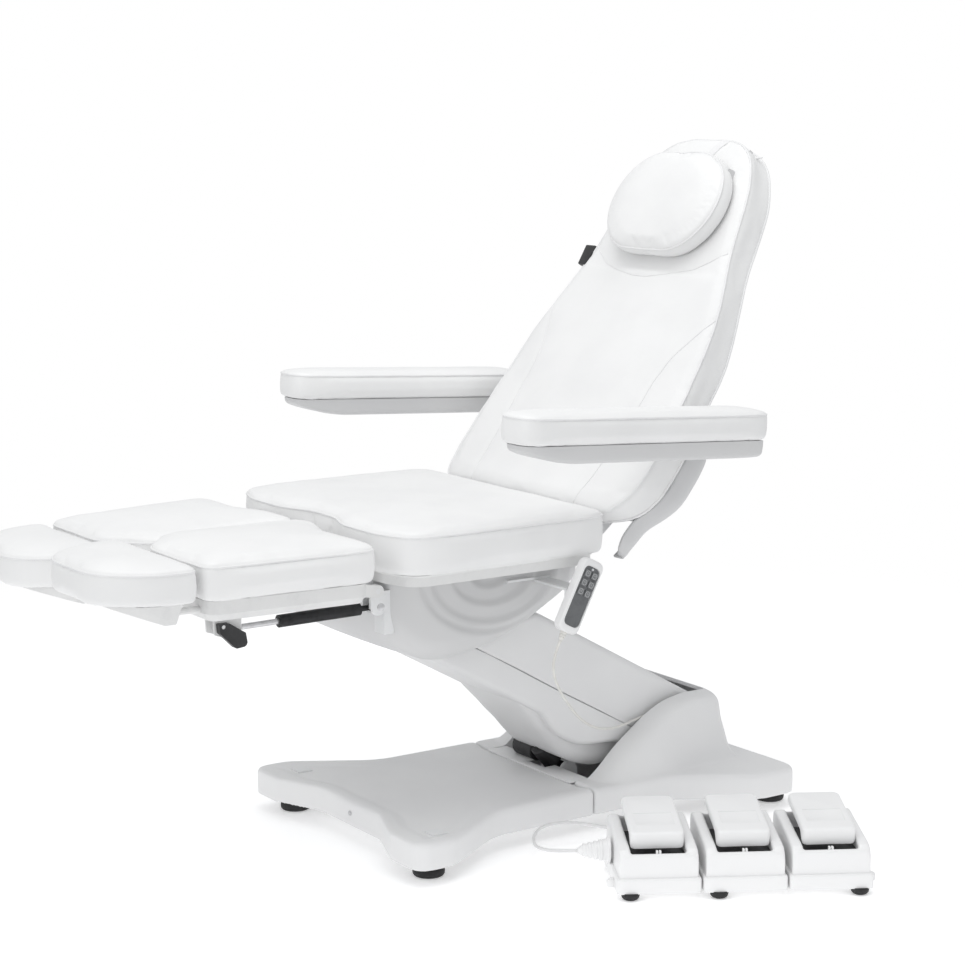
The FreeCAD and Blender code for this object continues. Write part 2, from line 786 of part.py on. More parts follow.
def make_arm():
    """Everything that rides on the lift arm, laid along -Y and then pitched up."""
    gap = S.arm_plate_half_gap
    thick = S.plate_stock
    rise = S.arm_plate_rise
    far = -S.arm_length
    pieces = []
    hub_end = S.casing_half_width - S.thin_wall * 2
    for side in (-1, 1):
        low, high = (gap, gap + thick) if side > 0 else (-gap - thick, -gap)
        plate = prism("yz", [(0, -rise), (0, rise), (far, rise), (far, -rise)], (low, high))
        pieces += [plate, rod("x", (low, high), (0, 0), S.hub_radius + S.side_clearance)]
        pieces.append(rod("x", (low, high), (far, 0), S.hub_radius + S.side_clearance))
        low, high = (gap, hub_end) if side > 0 else (-hub_end, -gap)
        pieces.append(rod("x", (low, high), (0, 0), S.hub_radius))
        crank_low, crank_high = (gap, gap + thick) if side > 0 else (-gap - thick, -gap)
        web = prism("yz", [(-S.lift_crank_length - S.hub_radius, 0),
                           (-S.lift_crank_length - S.hub_radius / 2,
                    -S.lift_crank_drop - S.hub_radius / 2), (-S.lift_crank_length + S.hub_radius / 2,
                    -S.lift_crank_drop - S.hub_radius / 2), (-S.lift_crank_length + S.hub_radius, 0)],
                    (crank_low, crank_high))
        stop = S.actuator_eye_half_width + S.side_clearance * 2
        stub = (stop, gap + thick) if side > 0 else (-gap - thick, -stop)
        pieces += [web, rod("x", stub, (-S.lift_crank_length, -S.lift_crank_drop), S.actuator_pin_radius)]
    tie_y = S.arm_length - S.hub_radius * 3
    for y in (-tie_y, -S.hub_radius * 3.5):
        pieces.append(rod("x", (-gap, gap), (y, -rise / 4), S.hub_radius / 2))
    spacer_y = -S.arm_length * 0.62
    casing = S.casing_half_width - S.thin_wall
    for side in (-1, 1):
        span = (gap, casing) if side > 0 else (-casing, -gap)
        pieces.append(rod("x", span, (spacer_y, 0), S.hub_radius / 2))
    frame = fuse(*pieces)
    bore = S.lift_shaft_radius + S.running_clearance
    pin_bore = S.tilt_pin_radius + S.running_clearance
    reach = S.casing_half_width
    frame = cut(frame, rod("x", (-reach, reach), (0, 0), bore), rod("x", (-reach, reach), (far, 0),
                                                                pin_bore))
    node("lift_arm_frame", frame, arm_frame)

    half = S.casing_half_width
    wall = S.thin_wall
    over = S.cut_overrun
    top = prism("yz", arm_profile_top(), (-half, half), {1: S.skirt_edge_round, 2: S.skirt_edge_round})
    hollow = prism("yz", [(S.casing_tail + over, -S.seam_drop_rear - over), (S.casing_tail + over,
                                                                S.casing_top_rear
                   - wall), (-S.casing_top_length + wall, S.casing_top_front - wall),
                   (-S.seam_length + wall, -S.seam_drop_front - over)], (wall - half, half - wall))
    shaft_hole = rod("x", (-half - over, half + over), (0, 0), S.lift_shaft_radius + S.side_clearance)
    window = S.arm_plate_half_gap + S.plate_stock + S.side_clearance * 3
    mouth = block((-window, window), (-S.seam_length - over, -S.casing_top_length + S.hub_radius),
                  (-S.seam_drop_front - over, S.link_offset + S.link_half_height + S.side_clearance * 3))
    top = cut(top, hollow, shaft_hole, mouth)
    near, far_edge = S.cable_gland_reach, S.cable_gland_reach + S.hub_radius
    low, high = S.cable_gland_rise - S.hub_radius * 0.35, S.cable_gland_rise + S.hub_radius * 0.35
    corners = [level_in_arm(near, low), level_in_arm(far_edge, low), level_in_arm(far_edge, high),
               level_in_arm(near, high)]
    gland = prism("yz", corners, (half, half + S.plate_stock))
    top = fuse(top, gland)
    node("arm_top_cover", top, arm_frame)

    lip = S.lip_drop
    gap_line = S.seam_gap / 3
    reach_out = S.casing_top_length
    lower = [(-S.lip_length * 0.13, -S.seam_drop_rear - gap_line), (-S.seam_length,
                                                                -S.seam_drop_front - gap_line),
             (-S.lip_length, -S.seam_drop_front * 2), (-S.lip_length, -lip * 0.88),
             (-S.lip_length * 0.52, -lip), (-S.lip_length * 0.455, -lip - S.lip_bulge * 0.7),
             (-S.lip_length * 0.36, -lip - S.lip_bulge), (-S.lip_length * 0.25, -lip - S.lip_bulge * 0.35),
             (-S.lip_length * 0.13, -lip * 0.83)]
    outer = prism("yz", lower, (-half, half), {4: S.plan_round, 5: S.plan_round / 2})
    half_belly = S.belly_half_width
    belly_points = [(-S.lip_length * 0.13, -lip * 0.7), (-S.lip_length * 0.86, -lip * 0.7),
                    (-S.lip_length * 0.86, -lip * 0.95), (-S.lip_length * 0.78, -lip * 1.22),
                    (-S.lip_length * 0.61, -S.belly_drop * 0.95), (-S.lip_length * 0.45, -S.belly_drop),
                    (-S.lip_length * 0.32, -S.belly_drop * 0.96), (-S.lip_length * 0.18,
                                                                -S.belly_drop * 0.74),
                    (-S.lip_length * 0.13, -lip * 0.83)]
    belly = prism("yz", belly_points, (-half_belly, half_belly), {4: S.plan_round, 6: S.plan_round / 2})
    lower_solid = fuse(outer, belly)
    inner_side = half - wall
    inner_points = [(over - S.lip_length * 0.13, over - S.seam_drop_rear), (-S.seam_length,
                                                                over - S.seam_drop_front),
                    (-S.lip_length - over, over - S.seam_drop_front * 2), (-S.lip_length - over,
                                                                wall - lip * 0.88),
                    (-S.lip_length * 0.52, wall - lip), (-S.lip_length * 0.25, wall - lip),
                    (over - S.lip_length * 0.13, wall - lip * 0.83)]
    inner = prism("yz", inner_points, (-inner_side, inner_side))
    inner_belly = half_belly - wall
    belly_hollow = prism("yz", [(-S.lip_length * 0.15, -lip * 0.6), (-S.lip_length * 0.85, -lip * 0.6),
                         (-S.lip_length * 0.85, -lip * 0.93), (-S.lip_length * 0.775, wall - lip * 1.22),
                         (-S.lip_length * 0.61, wall - S.belly_drop * 0.95), (-S.lip_length * 0.45,
                         wall - S.belly_drop), (-S.lip_length * 0.33, wall - S.belly_drop * 0.95),
                         (-S.lip_length * 0.19, wall - S.belly_drop * 0.73)], (-inner_belly, inner_belly))
    window = S.lift_actuator_radius + S.side_clearance * 4
    opening = block((-window, window), (-reach_out * 0.66, -S.lip_length * 0.13 + over),
                    (-S.belly_drop * 1.2, -lip * 0.5))
    node("arm_bottom_cover", cut(lower_solid, inner, belly_hollow, opening), arm_frame)

    x = -S.link_x
    link_half = S.link_stock / 2
    link_low, link_high = x - link_half, x + link_half
    link_z = S.link_offset
    bar = block((link_low, link_high), (far, 0), (link_z - S.link_half_height, link_z + S.link_half_height))
    eyes = [rod("x", (link_low, link_high), (y, link_z), S.hub_radius * 0.6) for y in (0, far)]
    hole = S.link_pin_radius + S.running_clearance
    first = rod("x", (link_low - over, link_high + over), (0, link_z), hole)
    second = rod("x", (link_low - over, link_high + over), (far, link_z), hole)
    node("levelling_link", cut(fuse(bar, *eyes), first, second), arm_frame)


def actuator(label, start, end, x, radius, rod_radius, motor, body_share):
    """An electric actuator between two pivots, as a body and a rod along its own -Y."""
    run = math.dist(start, end)
    angle = math.degrees(math.atan2(end[1] - start[1], end[0] - start[0])) - 180
    place = tilted(start[0], start[1], angle, x)
    grip = S.actuator_eye_half_width
    over = S.cut_overrun
    pin = S.actuator_pin_radius + S.running_clearance
    body_end = run * body_share
    if motor:
        head = fuse(rod("x", (-S.lift_actuator_radius, S.lift_actuator_radius), (0, 0), radius * 0.96),
                    rod("x", (-S.lift_actuator_radius - S.lift_motor_length, -S.lift_actuator_radius), (0,
                                                                0),
                        S.lift_motor_radius))
        tube = rod("y", (-body_end, 0), (0, 0), radius * 0.72)
        ends = S.lift_actuator_radius + S.lift_motor_length
        bores = [rod("x", (-ends - over, -ends + grip + grip), (0, 0), pin),
                 rod("x", (S.lift_actuator_radius - grip - grip, S.lift_actuator_radius + over), (0, 0),
                     pin)]
        body = fuse(head, tube)
    else:
        eye = rod("x", (-grip, grip), (0, 0), radius * 0.66)
        neck = block((-grip, grip), (-radius * 1.6, 0), (-radius * 0.5, radius * 0.5))
        tube = rod("y", (-body_end, -radius * 1.4), (0, 0), radius * 0.8)
        gearbox = block((-radius, radius), (-radius * 3.6, -radius * 1.4), (-radius, radius))
        body = fuse(eye, neck, tube, gearbox)
        bores = [rod("x", (-grip - over, grip + over), (0, 0), pin)]
    hollow = rod("y", (-body_end - over, -body_end * 0.16), (0, 0), rod_radius + S.running_clearance)
    node(f"{label}_body", cut(body, hollow, *bores), place)
    shaft = rod("y", (-run, -run * body_share * 0.45), (0, 0), rod_radius)
    eye = rod("x", (-grip, grip), (-run, 0), rod_radius * 1.8)
    eye_hole = rod("x", (-grip - over, grip + over), (-run, 0), pin + S.side_clearance / 2)
    node(f"{label}_rod", cut(fuse(shaft, eye), eye_hole), place)
    return run, angle


# Carriage: plates at the head of the arm, tilt pivot, cover and handset holder

def make_carriage():
    """The level head of the arm, which carries the seat, the cover and the handset holder."""
    gap = S.carriage_half_gap
    thick = S.plate_stock
    y0 = carriage_point.y
    z0 = carriage_point.z
    height = S.tilt_pivot_z
    rim = S.hub_radius * 0.7
    deck = height + S.sheet_stock
    pieces = []
    for low, high in ((gap, gap + thick), (-gap - thick, -gap)):
        plate = prism("yz", [(y0 - number(rim), z0), (y0 + number(rim), z0),
                             (y0 + number(rim) * 2, height - S.hub_radius * 1.4),
                             (-S.tilt_pivot_y, height - rim), (-S.tilt_pivot_y, height),
                             (y0 - number(rim), height)], (low, high))
        pieces.append(plate)
        pieces.append(rod("x", (low, high), (y0, z0), rim))
        pieces.append(rod("x", (low, high), tilt_pivot, rim * 0.8))
    pin_reach = S.arm_plate_half_gap + thick + S.side_clearance
    for low, high in ((gap, pin_reach), (-pin_reach, -gap)):
        pieces.append(rod("x", (low, high), (y0, z0), S.tilt_pin_radius))
    lug_reach = gap + thick * 2 + S.side_clearance * 2
    for low, high in ((gap, lug_reach), (-lug_reach, -gap)):
        pieces.append(rod("x", (low, high), tilt_pivot, S.tilt_pin_radius))
    side = S.bowl_half_width - S.cover_wall * 4
    deck_rear = -S.tilt_actuator_y + S.hub_radius
    pieces.append(block((-gap - thick, gap + thick), (y0 - number(rim), deck_rear), (height, deck)))
    pieces.append(block((gap, side), (-S.tilt_actuator_y - S.hub_radius, deck_rear), (height, deck)))
    cheek_in = S.actuator_eye_half_width + S.side_clearance / 2
    cheek_out = cheek_in + S.leg_ear_stock
    for low, high in ((-cheek_out, -cheek_in), (cheek_in, cheek_out)):
        x = S.actuator_x
        pieces.append(block((x + low, x + high), (-S.tilt_actuator_y - S.hub_radius / 2, -S.tilt_actuator_y
                      + S.hub_radius / 2), (S.tilt_actuator_z, height)))
        pieces.append(rod("x", (x + low, x + high), (-S.tilt_actuator_y, S.tilt_actuator_z),
                          S.hub_radius / 2))
    pieces.append(rod("x", (S.actuator_x - cheek_out, S.actuator_x + cheek_out),
                      (-S.tilt_actuator_y, S.tilt_actuator_z), S.actuator_pin_radius))
    link_y, link_z = link_anchor()
    shift_y = number(link_y) - number(S.lift_pivot_y) + y0
    shift_z = number(link_z) - number(S.lift_pivot_z) + z0
    stub_start = -S.link_x + S.link_stock / 2 + S.side_clearance
    stub_end = -S.link_x + S.link_stock * 2
    pieces.append(rod("x", (stub_start, stub_end), (shift_y, shift_z), S.link_pin_radius))
    tab_low = -S.link_x + S.link_stock * 1.5
    pieces.append(block((tab_low, tab_low + S.leg_ear_stock), (shift_y - number(S.link_stock), shift_y
                  + number(S.link_stock)), (shift_z - number(S.link_stock), height)))
    holder_y = S.handset_y - S.holder_width / 2
    post_in = S.seat_half_width - S.seat_board_inset + S.side_clearance * 4
    arm_low = height - S.sheet_stock
    pieces.append(block((side - S.holder_width, S.handset_x - S.side_clearance),
                        (-holder_y - S.holder_width, -holder_y), (arm_low, height)))
    pieces.append(block((side - S.holder_width, side), (-S.tilt_actuator_y, -holder_y), (height, deck)))
    pieces.append(block((S.handset_x - S.side_clearance * 3, S.handset_x),
                        (-holder_y - S.holder_width, -holder_y), (arm_low - S.holder_width * 0.75, height)))
    node("carriage_frame", fuse(*pieces))


def bowl(inset, low_inset):
    """The outer or inner solid of the cover under the seat, from horizontal sections."""
    height_shares = (0, 0.06, 0.17, 0.34, 0.55, 0.78, 1)
    width_shares = (0.5, 0.64, 0.77, 0.88, 0.95, 0.99, 1)
    front_shares = (0.2, 0.33, 0.47, 0.65, 0.82, 0.94, 1)
    rear_shares = (0.24, 0.36, 0.5, 0.65, 0.78, 0.9, 1)
    bottom = number(S.bowl_bottom)
    rise = number(S.bowl_height)
    half = number(S.bowl_half_width)
    front = number(S.bowl_front_reach)
    rear = number(S.bowl_rear_reach)
    centre = (front + rear) * 0.55
    wires = []
    for height, width, near, far in zip(height_shares, width_shares, front_shares, rear_shares):
        level = bottom + rise * height + low_inset * (1 - height)
        side = half * width
        nose = -centre - (front - centre) * near
        tail = -centre + (centre - rear) * far
        shoulder = nose + (front - centre) * near * 0.86
        corners = [(side, tail), (-side, tail), (-side, shoulder), (-side * 0.4, nose), (side * 0.4, nose),
                   (side, shoulder)]
        radii = [side / 10, side / 10, side / 2, side / 2, side / 2, side / 2]
        wires.append(rounded_wire(corners, radii, level, inset))
    return Part.makeLoft(wires, True, True)


def make_bowl():
    """The shell cover under the seat, open above and where the arm comes in."""
    wall = number(S.cover_wall)
    outer = bowl(0, 0)
    inner = bowl(wall, wall)
    lid = Part.makeBox(number(S.bowl_half_width) * 2, number(S.bowl_front_reach), wall * 2,
                       V(-number(S.bowl_half_width), -number(S.bowl_front_reach),
                         number(S.bowl_bottom) + number(S.bowl_height) - wall / 2))
    slot_half = number(S.casing_half_width) + number(S.bowl_slot_clearance)
    slot = Part.makeBox(slot_half * 2, number(S.bowl_front_reach), number(S.bowl_height) * 2,
                        V(-slot_half, carriage_point.y * 1.33,
                          number(S.bowl_bottom) - number(S.bowl_height)))
    seat = number(S.soft_gap) * 0.66
    low = number(S.tilt_pivot_z) - number(S.sheet_stock)
    bar_y = -number(S.handset_y) - number(S.holder_width) / 2
    bar_slot = Part.makeBox(slot_half, number(S.holder_width) + seat * 2, number(S.sheet_stock) + seat * 2,
                            V(slot_half, bar_y - seat, low - seat))
    back_half = number(S.bowl_half_width) - wall * 3
    back_open = Part.makeBox(back_half * 2, number(S.bowl_rear_reach) * 2, number(S.bowl_height),
                             V(-back_half, -number(S.bowl_rear_reach) * 2,
                               number(S.bowl_bottom) + slot_half / 2))
    shell = outer.cut(inner).cut(lid).cut(slot).cut(bar_slot).cut(back_open).removeSplitter()
    node("seat_under_cover", feature(shell))


# Seat

def seat_outline():
    """The seat's plan: two shallow lobes at the front with a dip between them."""
    half = number(S.seat_half_width)
    front = number(S.seat_front_reach)
    dip = number(S.seat_front_dip)
    rear = number(S.seat_rear_reach)
    corner = number(S.seat_corner_round)
    corners = [(half, -rear), (-half, -rear), (-half, -front + dip), (-half * 0.72, -front),
               (-half * 0.36, -front),
               (-half * 0.12, -front + dip), (half * 0.12, -front + dip), (half * 0.36, -front),
               (half * 0.72, -front), (half, -front + dip)]
    radii = [corner / 2, corner / 2, corner, corner, corner, corner, corner, corner, corner, corner]
    return corners, radii


def make_seat():
    """Seat frame with its pivots, the board and the cushion."""
    board_low = S.seat_board_bottom
    plate_low = board_low - S.sheet_stock
    rail_low = plate_low - S.seat_rail_height
    half = S.seat_frame_half_width
    front = S.seat_frame_front_reach
    rear = -S.tilt_pivot_y + S.hub_radius / 2
    pieces = [block((-half, half), (-front, rear), (plate_low, board_low))]
    swivel_front = -front
    swivel_rear = -S.swivel_y + S.swivel_radius * 2.5
    reach = S.leg_hinge_x + S.swivel_radius * 1.8
    pieces.append(block((-reach, reach), (swivel_front, swivel_rear), (plate_low, board_low)))
    for low, high in ((half - S.seat_rail_width, half), (-half, S.seat_rail_width - half)):
        pieces.append(block((low, high), (-S.swivel_y + S.swivel_radius * 5, rear), (rail_low, plate_low)))
    for x in (S.leg_hinge_x, -S.leg_hinge_x):
        pieces.append(rod("z", (rail_low, board_low), (x, -S.swivel_y), S.swivel_radius))
    lug_in = S.carriage_half_gap + S.plate_stock + S.side_clearance
    lug_out = lug_in + S.plate_stock
    for low, high in ((lug_in, lug_out), (-lug_out, -lug_in)):
        lug = block((low, high), (-S.tilt_pivot_y - S.hub_radius * 0.6, rear), (S.tilt_pivot_z, plate_low))
        pieces += [lug, rod("x", (low, high), tilt_pivot, S.hub_radius * 0.6)]
    ear_out = S.back_plate_x - S.side_clearance / 2
    ear_in = ear_out - S.plate_stock
    pin_end = S.back_plate_x + S.plate_stock + S.side_clearance
    for side in (-1, 1):
        low, high = (ear_in, ear_out) if side > 0 else (-ear_out, -ear_in)
        ear = prism("yz", [(rear - S.hub_radius, rail_low), (rear + S.cut_overrun, rail_low),
                           (S.hub_radius * 0.6, S.back_hinge_z), (-S.hub_radius * 0.6, S.back_hinge_z),
                           (rear - S.hub_radius * 0.4, plate_low), (rear - S.hub_radius, plate_low)],
                           (low, high))
        pin_low, pin_high = (ear_in, pin_end) if side > 0 else (-pin_end, -ear_in)
        pieces += [ear, rod("x", (low, high), (0, S.back_hinge_z), S.hub_radius * 0.6)]
        pieces.append(rod("x", (pin_low, pin_high), (0, S.back_hinge_z), S.back_pin_radius))
    cheek_in = S.actuator_eye_half_width + S.side_clearance / 2
    cheek_out = cheek_in + S.leg_ear_stock
    for low, high in ((-cheek_out, -cheek_in), (cheek_in, cheek_out)):
        x = -S.actuator_x
        y, z = -S.back_actuator_y, S.back_actuator_z
        pieces.append(block((x + low, x + high), (y - S.hub_radius / 2, y + S.hub_radius / 2), (z,
                                                                board_low)))
        pieces.append(rod("x", (x + low, x + high), (y, z), S.hub_radius / 2))
        x = S.actuator_x
        y, z = -S.tilt_crank_y, S.tilt_crank_z
        strap = block((x + low, x + high), (y - S.hub_radius / 2, y + S.hub_radius / 2), (z, board_low))
        pieces += [strap, rod("x", (x + low, x + high), (y, z), S.hub_radius / 2)]
    x = -S.actuator_x
    pieces.append(rod("x", (x - cheek_out, x + cheek_out), (-S.back_actuator_y, S.back_actuator_z),
                      S.actuator_pin_radius))
    frame = fuse(*pieces)
    bores = []
    for x in (S.leg_hinge_x, -S.leg_hinge_x):
        bores.append(rod("z", (rail_low - S.cut_overrun, plate_low), (x, -S.swivel_y),
                         S.swivel_pin_radius + S.running_clearance))
    tilt_bore = S.tilt_pin_radius + S.running_clearance
    bores.append(rod("x", (-lug_out - S.cut_overrun, lug_out + S.cut_overrun), tilt_pivot, tilt_bore))
    node("seat_frame", cut(frame, *bores))

    corners, radii = seat_outline()
    low = number(board_low)
    inset = number(S.seat_board_inset)
    top = low + number(S.seat_board_thickness)
    edge = number(S.sheet_stock)
    board = stack(corners, radii, [(low, inset), (top - edge, inset), (top, inset - edge)])
    node("seat_board", feature(board))
    levels = cushion_levels(top + number(S.soft_gap),
                            number(S.seat_cushion_thickness) + number(S.crown_height),
                            number(S.crown_height))
    node("seat_cushion", feature(stack(corners, radii, levels)))


# Back, pillow and armrests

BACK_STATION_SHARES = (0.045, 0.06, 0.084, 0.113, 0.155, 0.203, 0.286, 0.382, 0.477, 0.549, 0.62, 0.704,
                       0.776,
                       0.859, 0.931, 0.973, 0.993, 1)
BACK_WIDTH_SHARES = (0.86, 0.925, 0.964, 0.984, 0.997, 1, 1, 0.984, 0.931, 0.846, 0.761, 0.662, 0.603,
                     0.551,
                     0.508, 0.426, 0.312, 0.197)
BACK_FRONT_SHARES = (1.45, 1.65, 1.5, 1.3, 1.075, 1, 1, 1, 1, 0.975, 0.75, 0.3, 0.3, 0.3, 0.3, 0.25, 0.15,
                     0)
BACK_REAR_SHARES = (-0.65, -0.3, 0.11, 0.35, 0.54, 0.67, 0.83, 0.957, 1, 1, 0.978, 0.913, 0.848, 0.783,
                    0.717,
                    0.674, 0.63, 0.522)
SHELL_STATION_SHARES = (-0.007, 0.006, 0.029, 0.066, 0.112, 0.142, 0.168, 0.212, 0.254, 0.277, 0.35, 0.45,
                        0.57,
                        0.75, 0.95)
SHELL_REAR_SHARES = (0.3, 0.345, 0.4, 0.483, 0.667, 0.775, 0.833, 0.883, 0.942, 1, 0.94, 0.78, 0.64, 0.58,
                     0.54)
SHELL_RIM_SHARES = (0.22, 0.04, -0.04, 0.02, 0.19, 0.25, 0.28, 0.31, 0.35, 0.36, 0.4, 0.41, 0.4, 0.36, 0.33)
SHELL_WIDTH_SHARES = (0.7, 0.84, 0.9, 0.94, 0.975, 0.99, 0.995, 1, 1, 1, 0.99, 0.955, 0.81, 0.6, 0.47)


def along_section(station, outline):
    """A straight-sided wire across the back at one station, from (x, height) pairs."""
    points = [V(x, station, z) for x, z in outline]
    return Part.makePolygon(points + points[:1])


def back_cushion_section(station, half, front, rear, crown):
    """The cushion's cross-section: crowned front, drawn-in sides and a flat rear."""
    depth = front + rear
    soft = min(half, depth) / 6
    right = [V(half - soft * 2, station, -rear), V(half - soft / 3, station, soft / 2 - rear),
             V(half - soft / 2, station, depth * 0.45 - rear), V(half, station, front - soft * 1.4),
             V(half - soft * 1.6, station, front)]
    left = [V(-p.x, p.y, p.z) for p in reversed(right)]
    edges = []
    for chain in (right, left):
        for first, second in zip(chain, chain[1:]):
            edges.append(Part.LineSegment(first, second).toShape())
    crest = Part.Arc(right[-1], V(0, station, front + crown), left[0]).toShape()
    rear_edge = Part.LineSegment(left[-1], right[0]).toShape()
    return Part.Wire(edges[:4] + [crest] + edges[4:] + [rear_edge])


def make_back():
    """Frame, moulded shell, cushion and head pillow, laid along +Y and then raised."""
    length = number(S.back_length)
    half = number(S.back_half_width)
    wires = []
    stations = zip(BACK_STATION_SHARES, BACK_WIDTH_SHARES, BACK_FRONT_SHARES, BACK_REAR_SHARES)
    for station, width, front, rear in stations:
        crown = number(S.crown_height) * min(1, (width - 0.1)) * (0.25 if station > 0.6 else 1)
        crown = crown if front < 1.2 else crown / 2
        wires.append(back_cushion_section(length * station, half * width, number(S.back_front) * front,
                                          number(S.back_rear) * rear, crown))
    shape = Part.makeLoft(wires, True, True)
    over_pillow = number(S.back_front_at_pillow)
    pillow_low = number(S.pillow_station) - number(S.pillow_half_length) * 1.15
    trim = Part.makeBox(half * 2, length, number(S.shell_depth), V(-half, pillow_low, over_pillow))
    shape = shape.cut(trim).removeSplitter()
    node("back_cushion", feature(shape), back_frame_place)

    depth = number(S.shell_depth)
    wall = number(S.cover_wall)
    inset = number(S.shell_inset)
    outer_wires = []
    inner_wires = []
    stations = zip(SHELL_STATION_SHARES, SHELL_REAR_SHARES, SHELL_RIM_SHARES, SHELL_WIDTH_SHARES)
    for i, (station, rear, rim, width) in enumerate(stations):
        at = length * station
        side = (half - inset) * width
        low = -depth * rear
        edge = -depth * rim - wall
        edge = max(edge, low + wall)
        slope = (edge - low) / 3
        outer_wires.append(along_section(at, [(side, edge), (-side, edge), (-side, edge - slope),
                                              (slope - side, low + slope / 3), (slope * 2 - side, low),
                                              (side - slope * 2, low), (side - slope, low + slope / 3),
                                              (side, edge - slope)]))
        inner_side = side - wall
        inner_low = low + wall
        inner_edge = edge + depth
        at = at + wall if i == 0 else at
        inner_wires.append(along_section(at, [(inner_side, inner_edge), (-inner_side, inner_edge),
                                              (-inner_side, edge - slope), (slope - inner_side,
                                                                inner_low + slope / 3),
                                              (slope * 2 - inner_side, inner_low),
                                              (inner_side - slope * 2, inner_low),
                                              (inner_side - slope, inner_low + slope / 3),
                                              (inner_side, edge - slope)]))
    shell = Part.makeLoft(outer_wires, True, True)
    hollow = Part.makeLoft(inner_wires[2:], True, True)
    notch_half = number(S.back_plate_x) + number(S.hub_radius) * 3
    notch = Part.makeBox(notch_half * 2, length * 0.12, depth * 2, V(-notch_half, -length * 0.03, -depth))
    radius = number(S.hub_radius) * 0.7 + number(S.side_clearance) / 2
    bore = Part.makeCylinder(radius, half * 2, V(-half, number(S.hub_station), -number(S.hub_offset)),
                             X_AXIS)
    shell = shell.cut(hollow).cut(notch).cut(bore).removeSplitter()
    node("back_shell", feature(shell), back_frame_place)

    x0 = S.back_plate_x
    x1 = x0 + S.plate_stock
    board_front = -S.back_rear - S.soft_gap
    deep = board_front - S.hub_radius * 1.2
    end = S.back_frame_length
    pieces = [block((-x1, x1), (S.hub_station * 0.4, end), (board_front - S.thin_wall, board_front))]
    for low, high in ((x0, x1), (-x1, -x0)):
        pieces.append(prism("yz", [(-S.hub_radius * 0.5, -S.hub_radius * 0.4), (S.hub_radius * 1.5,
                                                                -S.hub_radius
                                   * 1.6), (S.hub_radius * 3.75, -S.hub_radius * 2.45), (S.hub_radius * 6,
                                                                deep),
                                   (S.hub_station * 1.3, deep), (end, board_front - S.hub_radius * 0.45),
                                   (end, board_front), (S.hub_station * 0.4, board_front),
                                   (S.hub_radius * 0.5, S.hub_radius * 0.4)], (low, high)))
        pieces.append(rod("x", (low, high), (0, 0), S.hub_radius * 0.7))
    tube_end = S.armrest_hub_x - S.soft_gap
    tube_place = (S.hub_station, -S.hub_offset)
    pieces.append(rod("x", (-tube_end, tube_end), tube_place, S.hub_radius * 0.7))
    shaft_end = S.armrest_hub_x + S.armrest_hub_length / 2
    pieces.append(rod("x", (-shaft_end, shaft_end), tube_place, S.armrest_pin_radius))
    crank = crank_in_back()
    cheek_in = S.actuator_eye_half_width + S.side_clearance
    cheek_out = cheek_in + S.leg_ear_stock
    x = -S.actuator_x
    for low, high in ((-cheek_out, -cheek_in), (cheek_in, cheek_out)):
        lever = prism("yz", [(crank.y - number(S.hub_radius) * 0.3, crank.z - number(S.hub_radius) * 0.25),
                             (S.hub_radius * 3.75, -S.hub_radius * 2.5), (S.hub_radius * 6, deep),
                             (S.hub_station * 0.6, deep), (S.hub_station * 0.6, board_front),
                             (crank.y + number(S.hub_radius) * 0.1, crank.z + number(S.hub_radius) * 0.4)],
                      (x + low, x + high))
        pieces += [lever, rod("x", (x + low, x + high), (crank.y, crank.z), S.hub_radius * 0.4)]
    for side in (-1, 1):
        stop = S.actuator_eye_half_width + S.side_clearance / 2
        low, high = (x + stop, x + cheek_out) if side > 0 else (x - cheek_out, x - stop)
        pieces.append(rod("x", (low, high), (crank.y, crank.z), S.actuator_pin_radius * 0.5))
    bore = S.back_pin_radius + S.running_clearance
    frame = fuse(*pieces)
    frame = cut(frame, rod("x", (x0 - S.cut_overrun, x1 + S.side_clearance * 2), (0, 0), bore),
                rod("x", (-x1 - S.side_clearance * 2, S.cut_overrun - x0), (0, 0), bore))
    node("back_frame", frame, back_frame_place)

    wide = number(S.pillow_half_width)
    tall = number(S.pillow_half_length)
    centre = number(S.pillow_station)
    corners = [(wide * 0.62, -tall), (wide, -tall * 0.3), (wide * 0.94, tall * 0.55), (wide * 0.5, tall),
               (-wide * 0.5, tall), (-wide * 0.94, tall * 0.55), (-wide, -tall * 0.3), (-wide * 0.62,
                                                                -tall)]
    corners = [(x, y + centre) for x, y in corners]
    radii = [tall * 0.8] * 8
    levels = cushion_levels(over_pillow + number(S.soft_gap), number(S.pillow_thickness),
                            number(S.crown_height) / 2)
    node("head_pillow", feature(stack(corners, radii, levels)), back_frame_place)


def crank_in_back():
    """The recline crank's pin, in the back's own frame."""
    spot = V(0, number(S.back_crank_y), number(S.back_hinge_z) - number(S.back_crank_drop))
    return back_frame_place.inverse().multVec(spot)


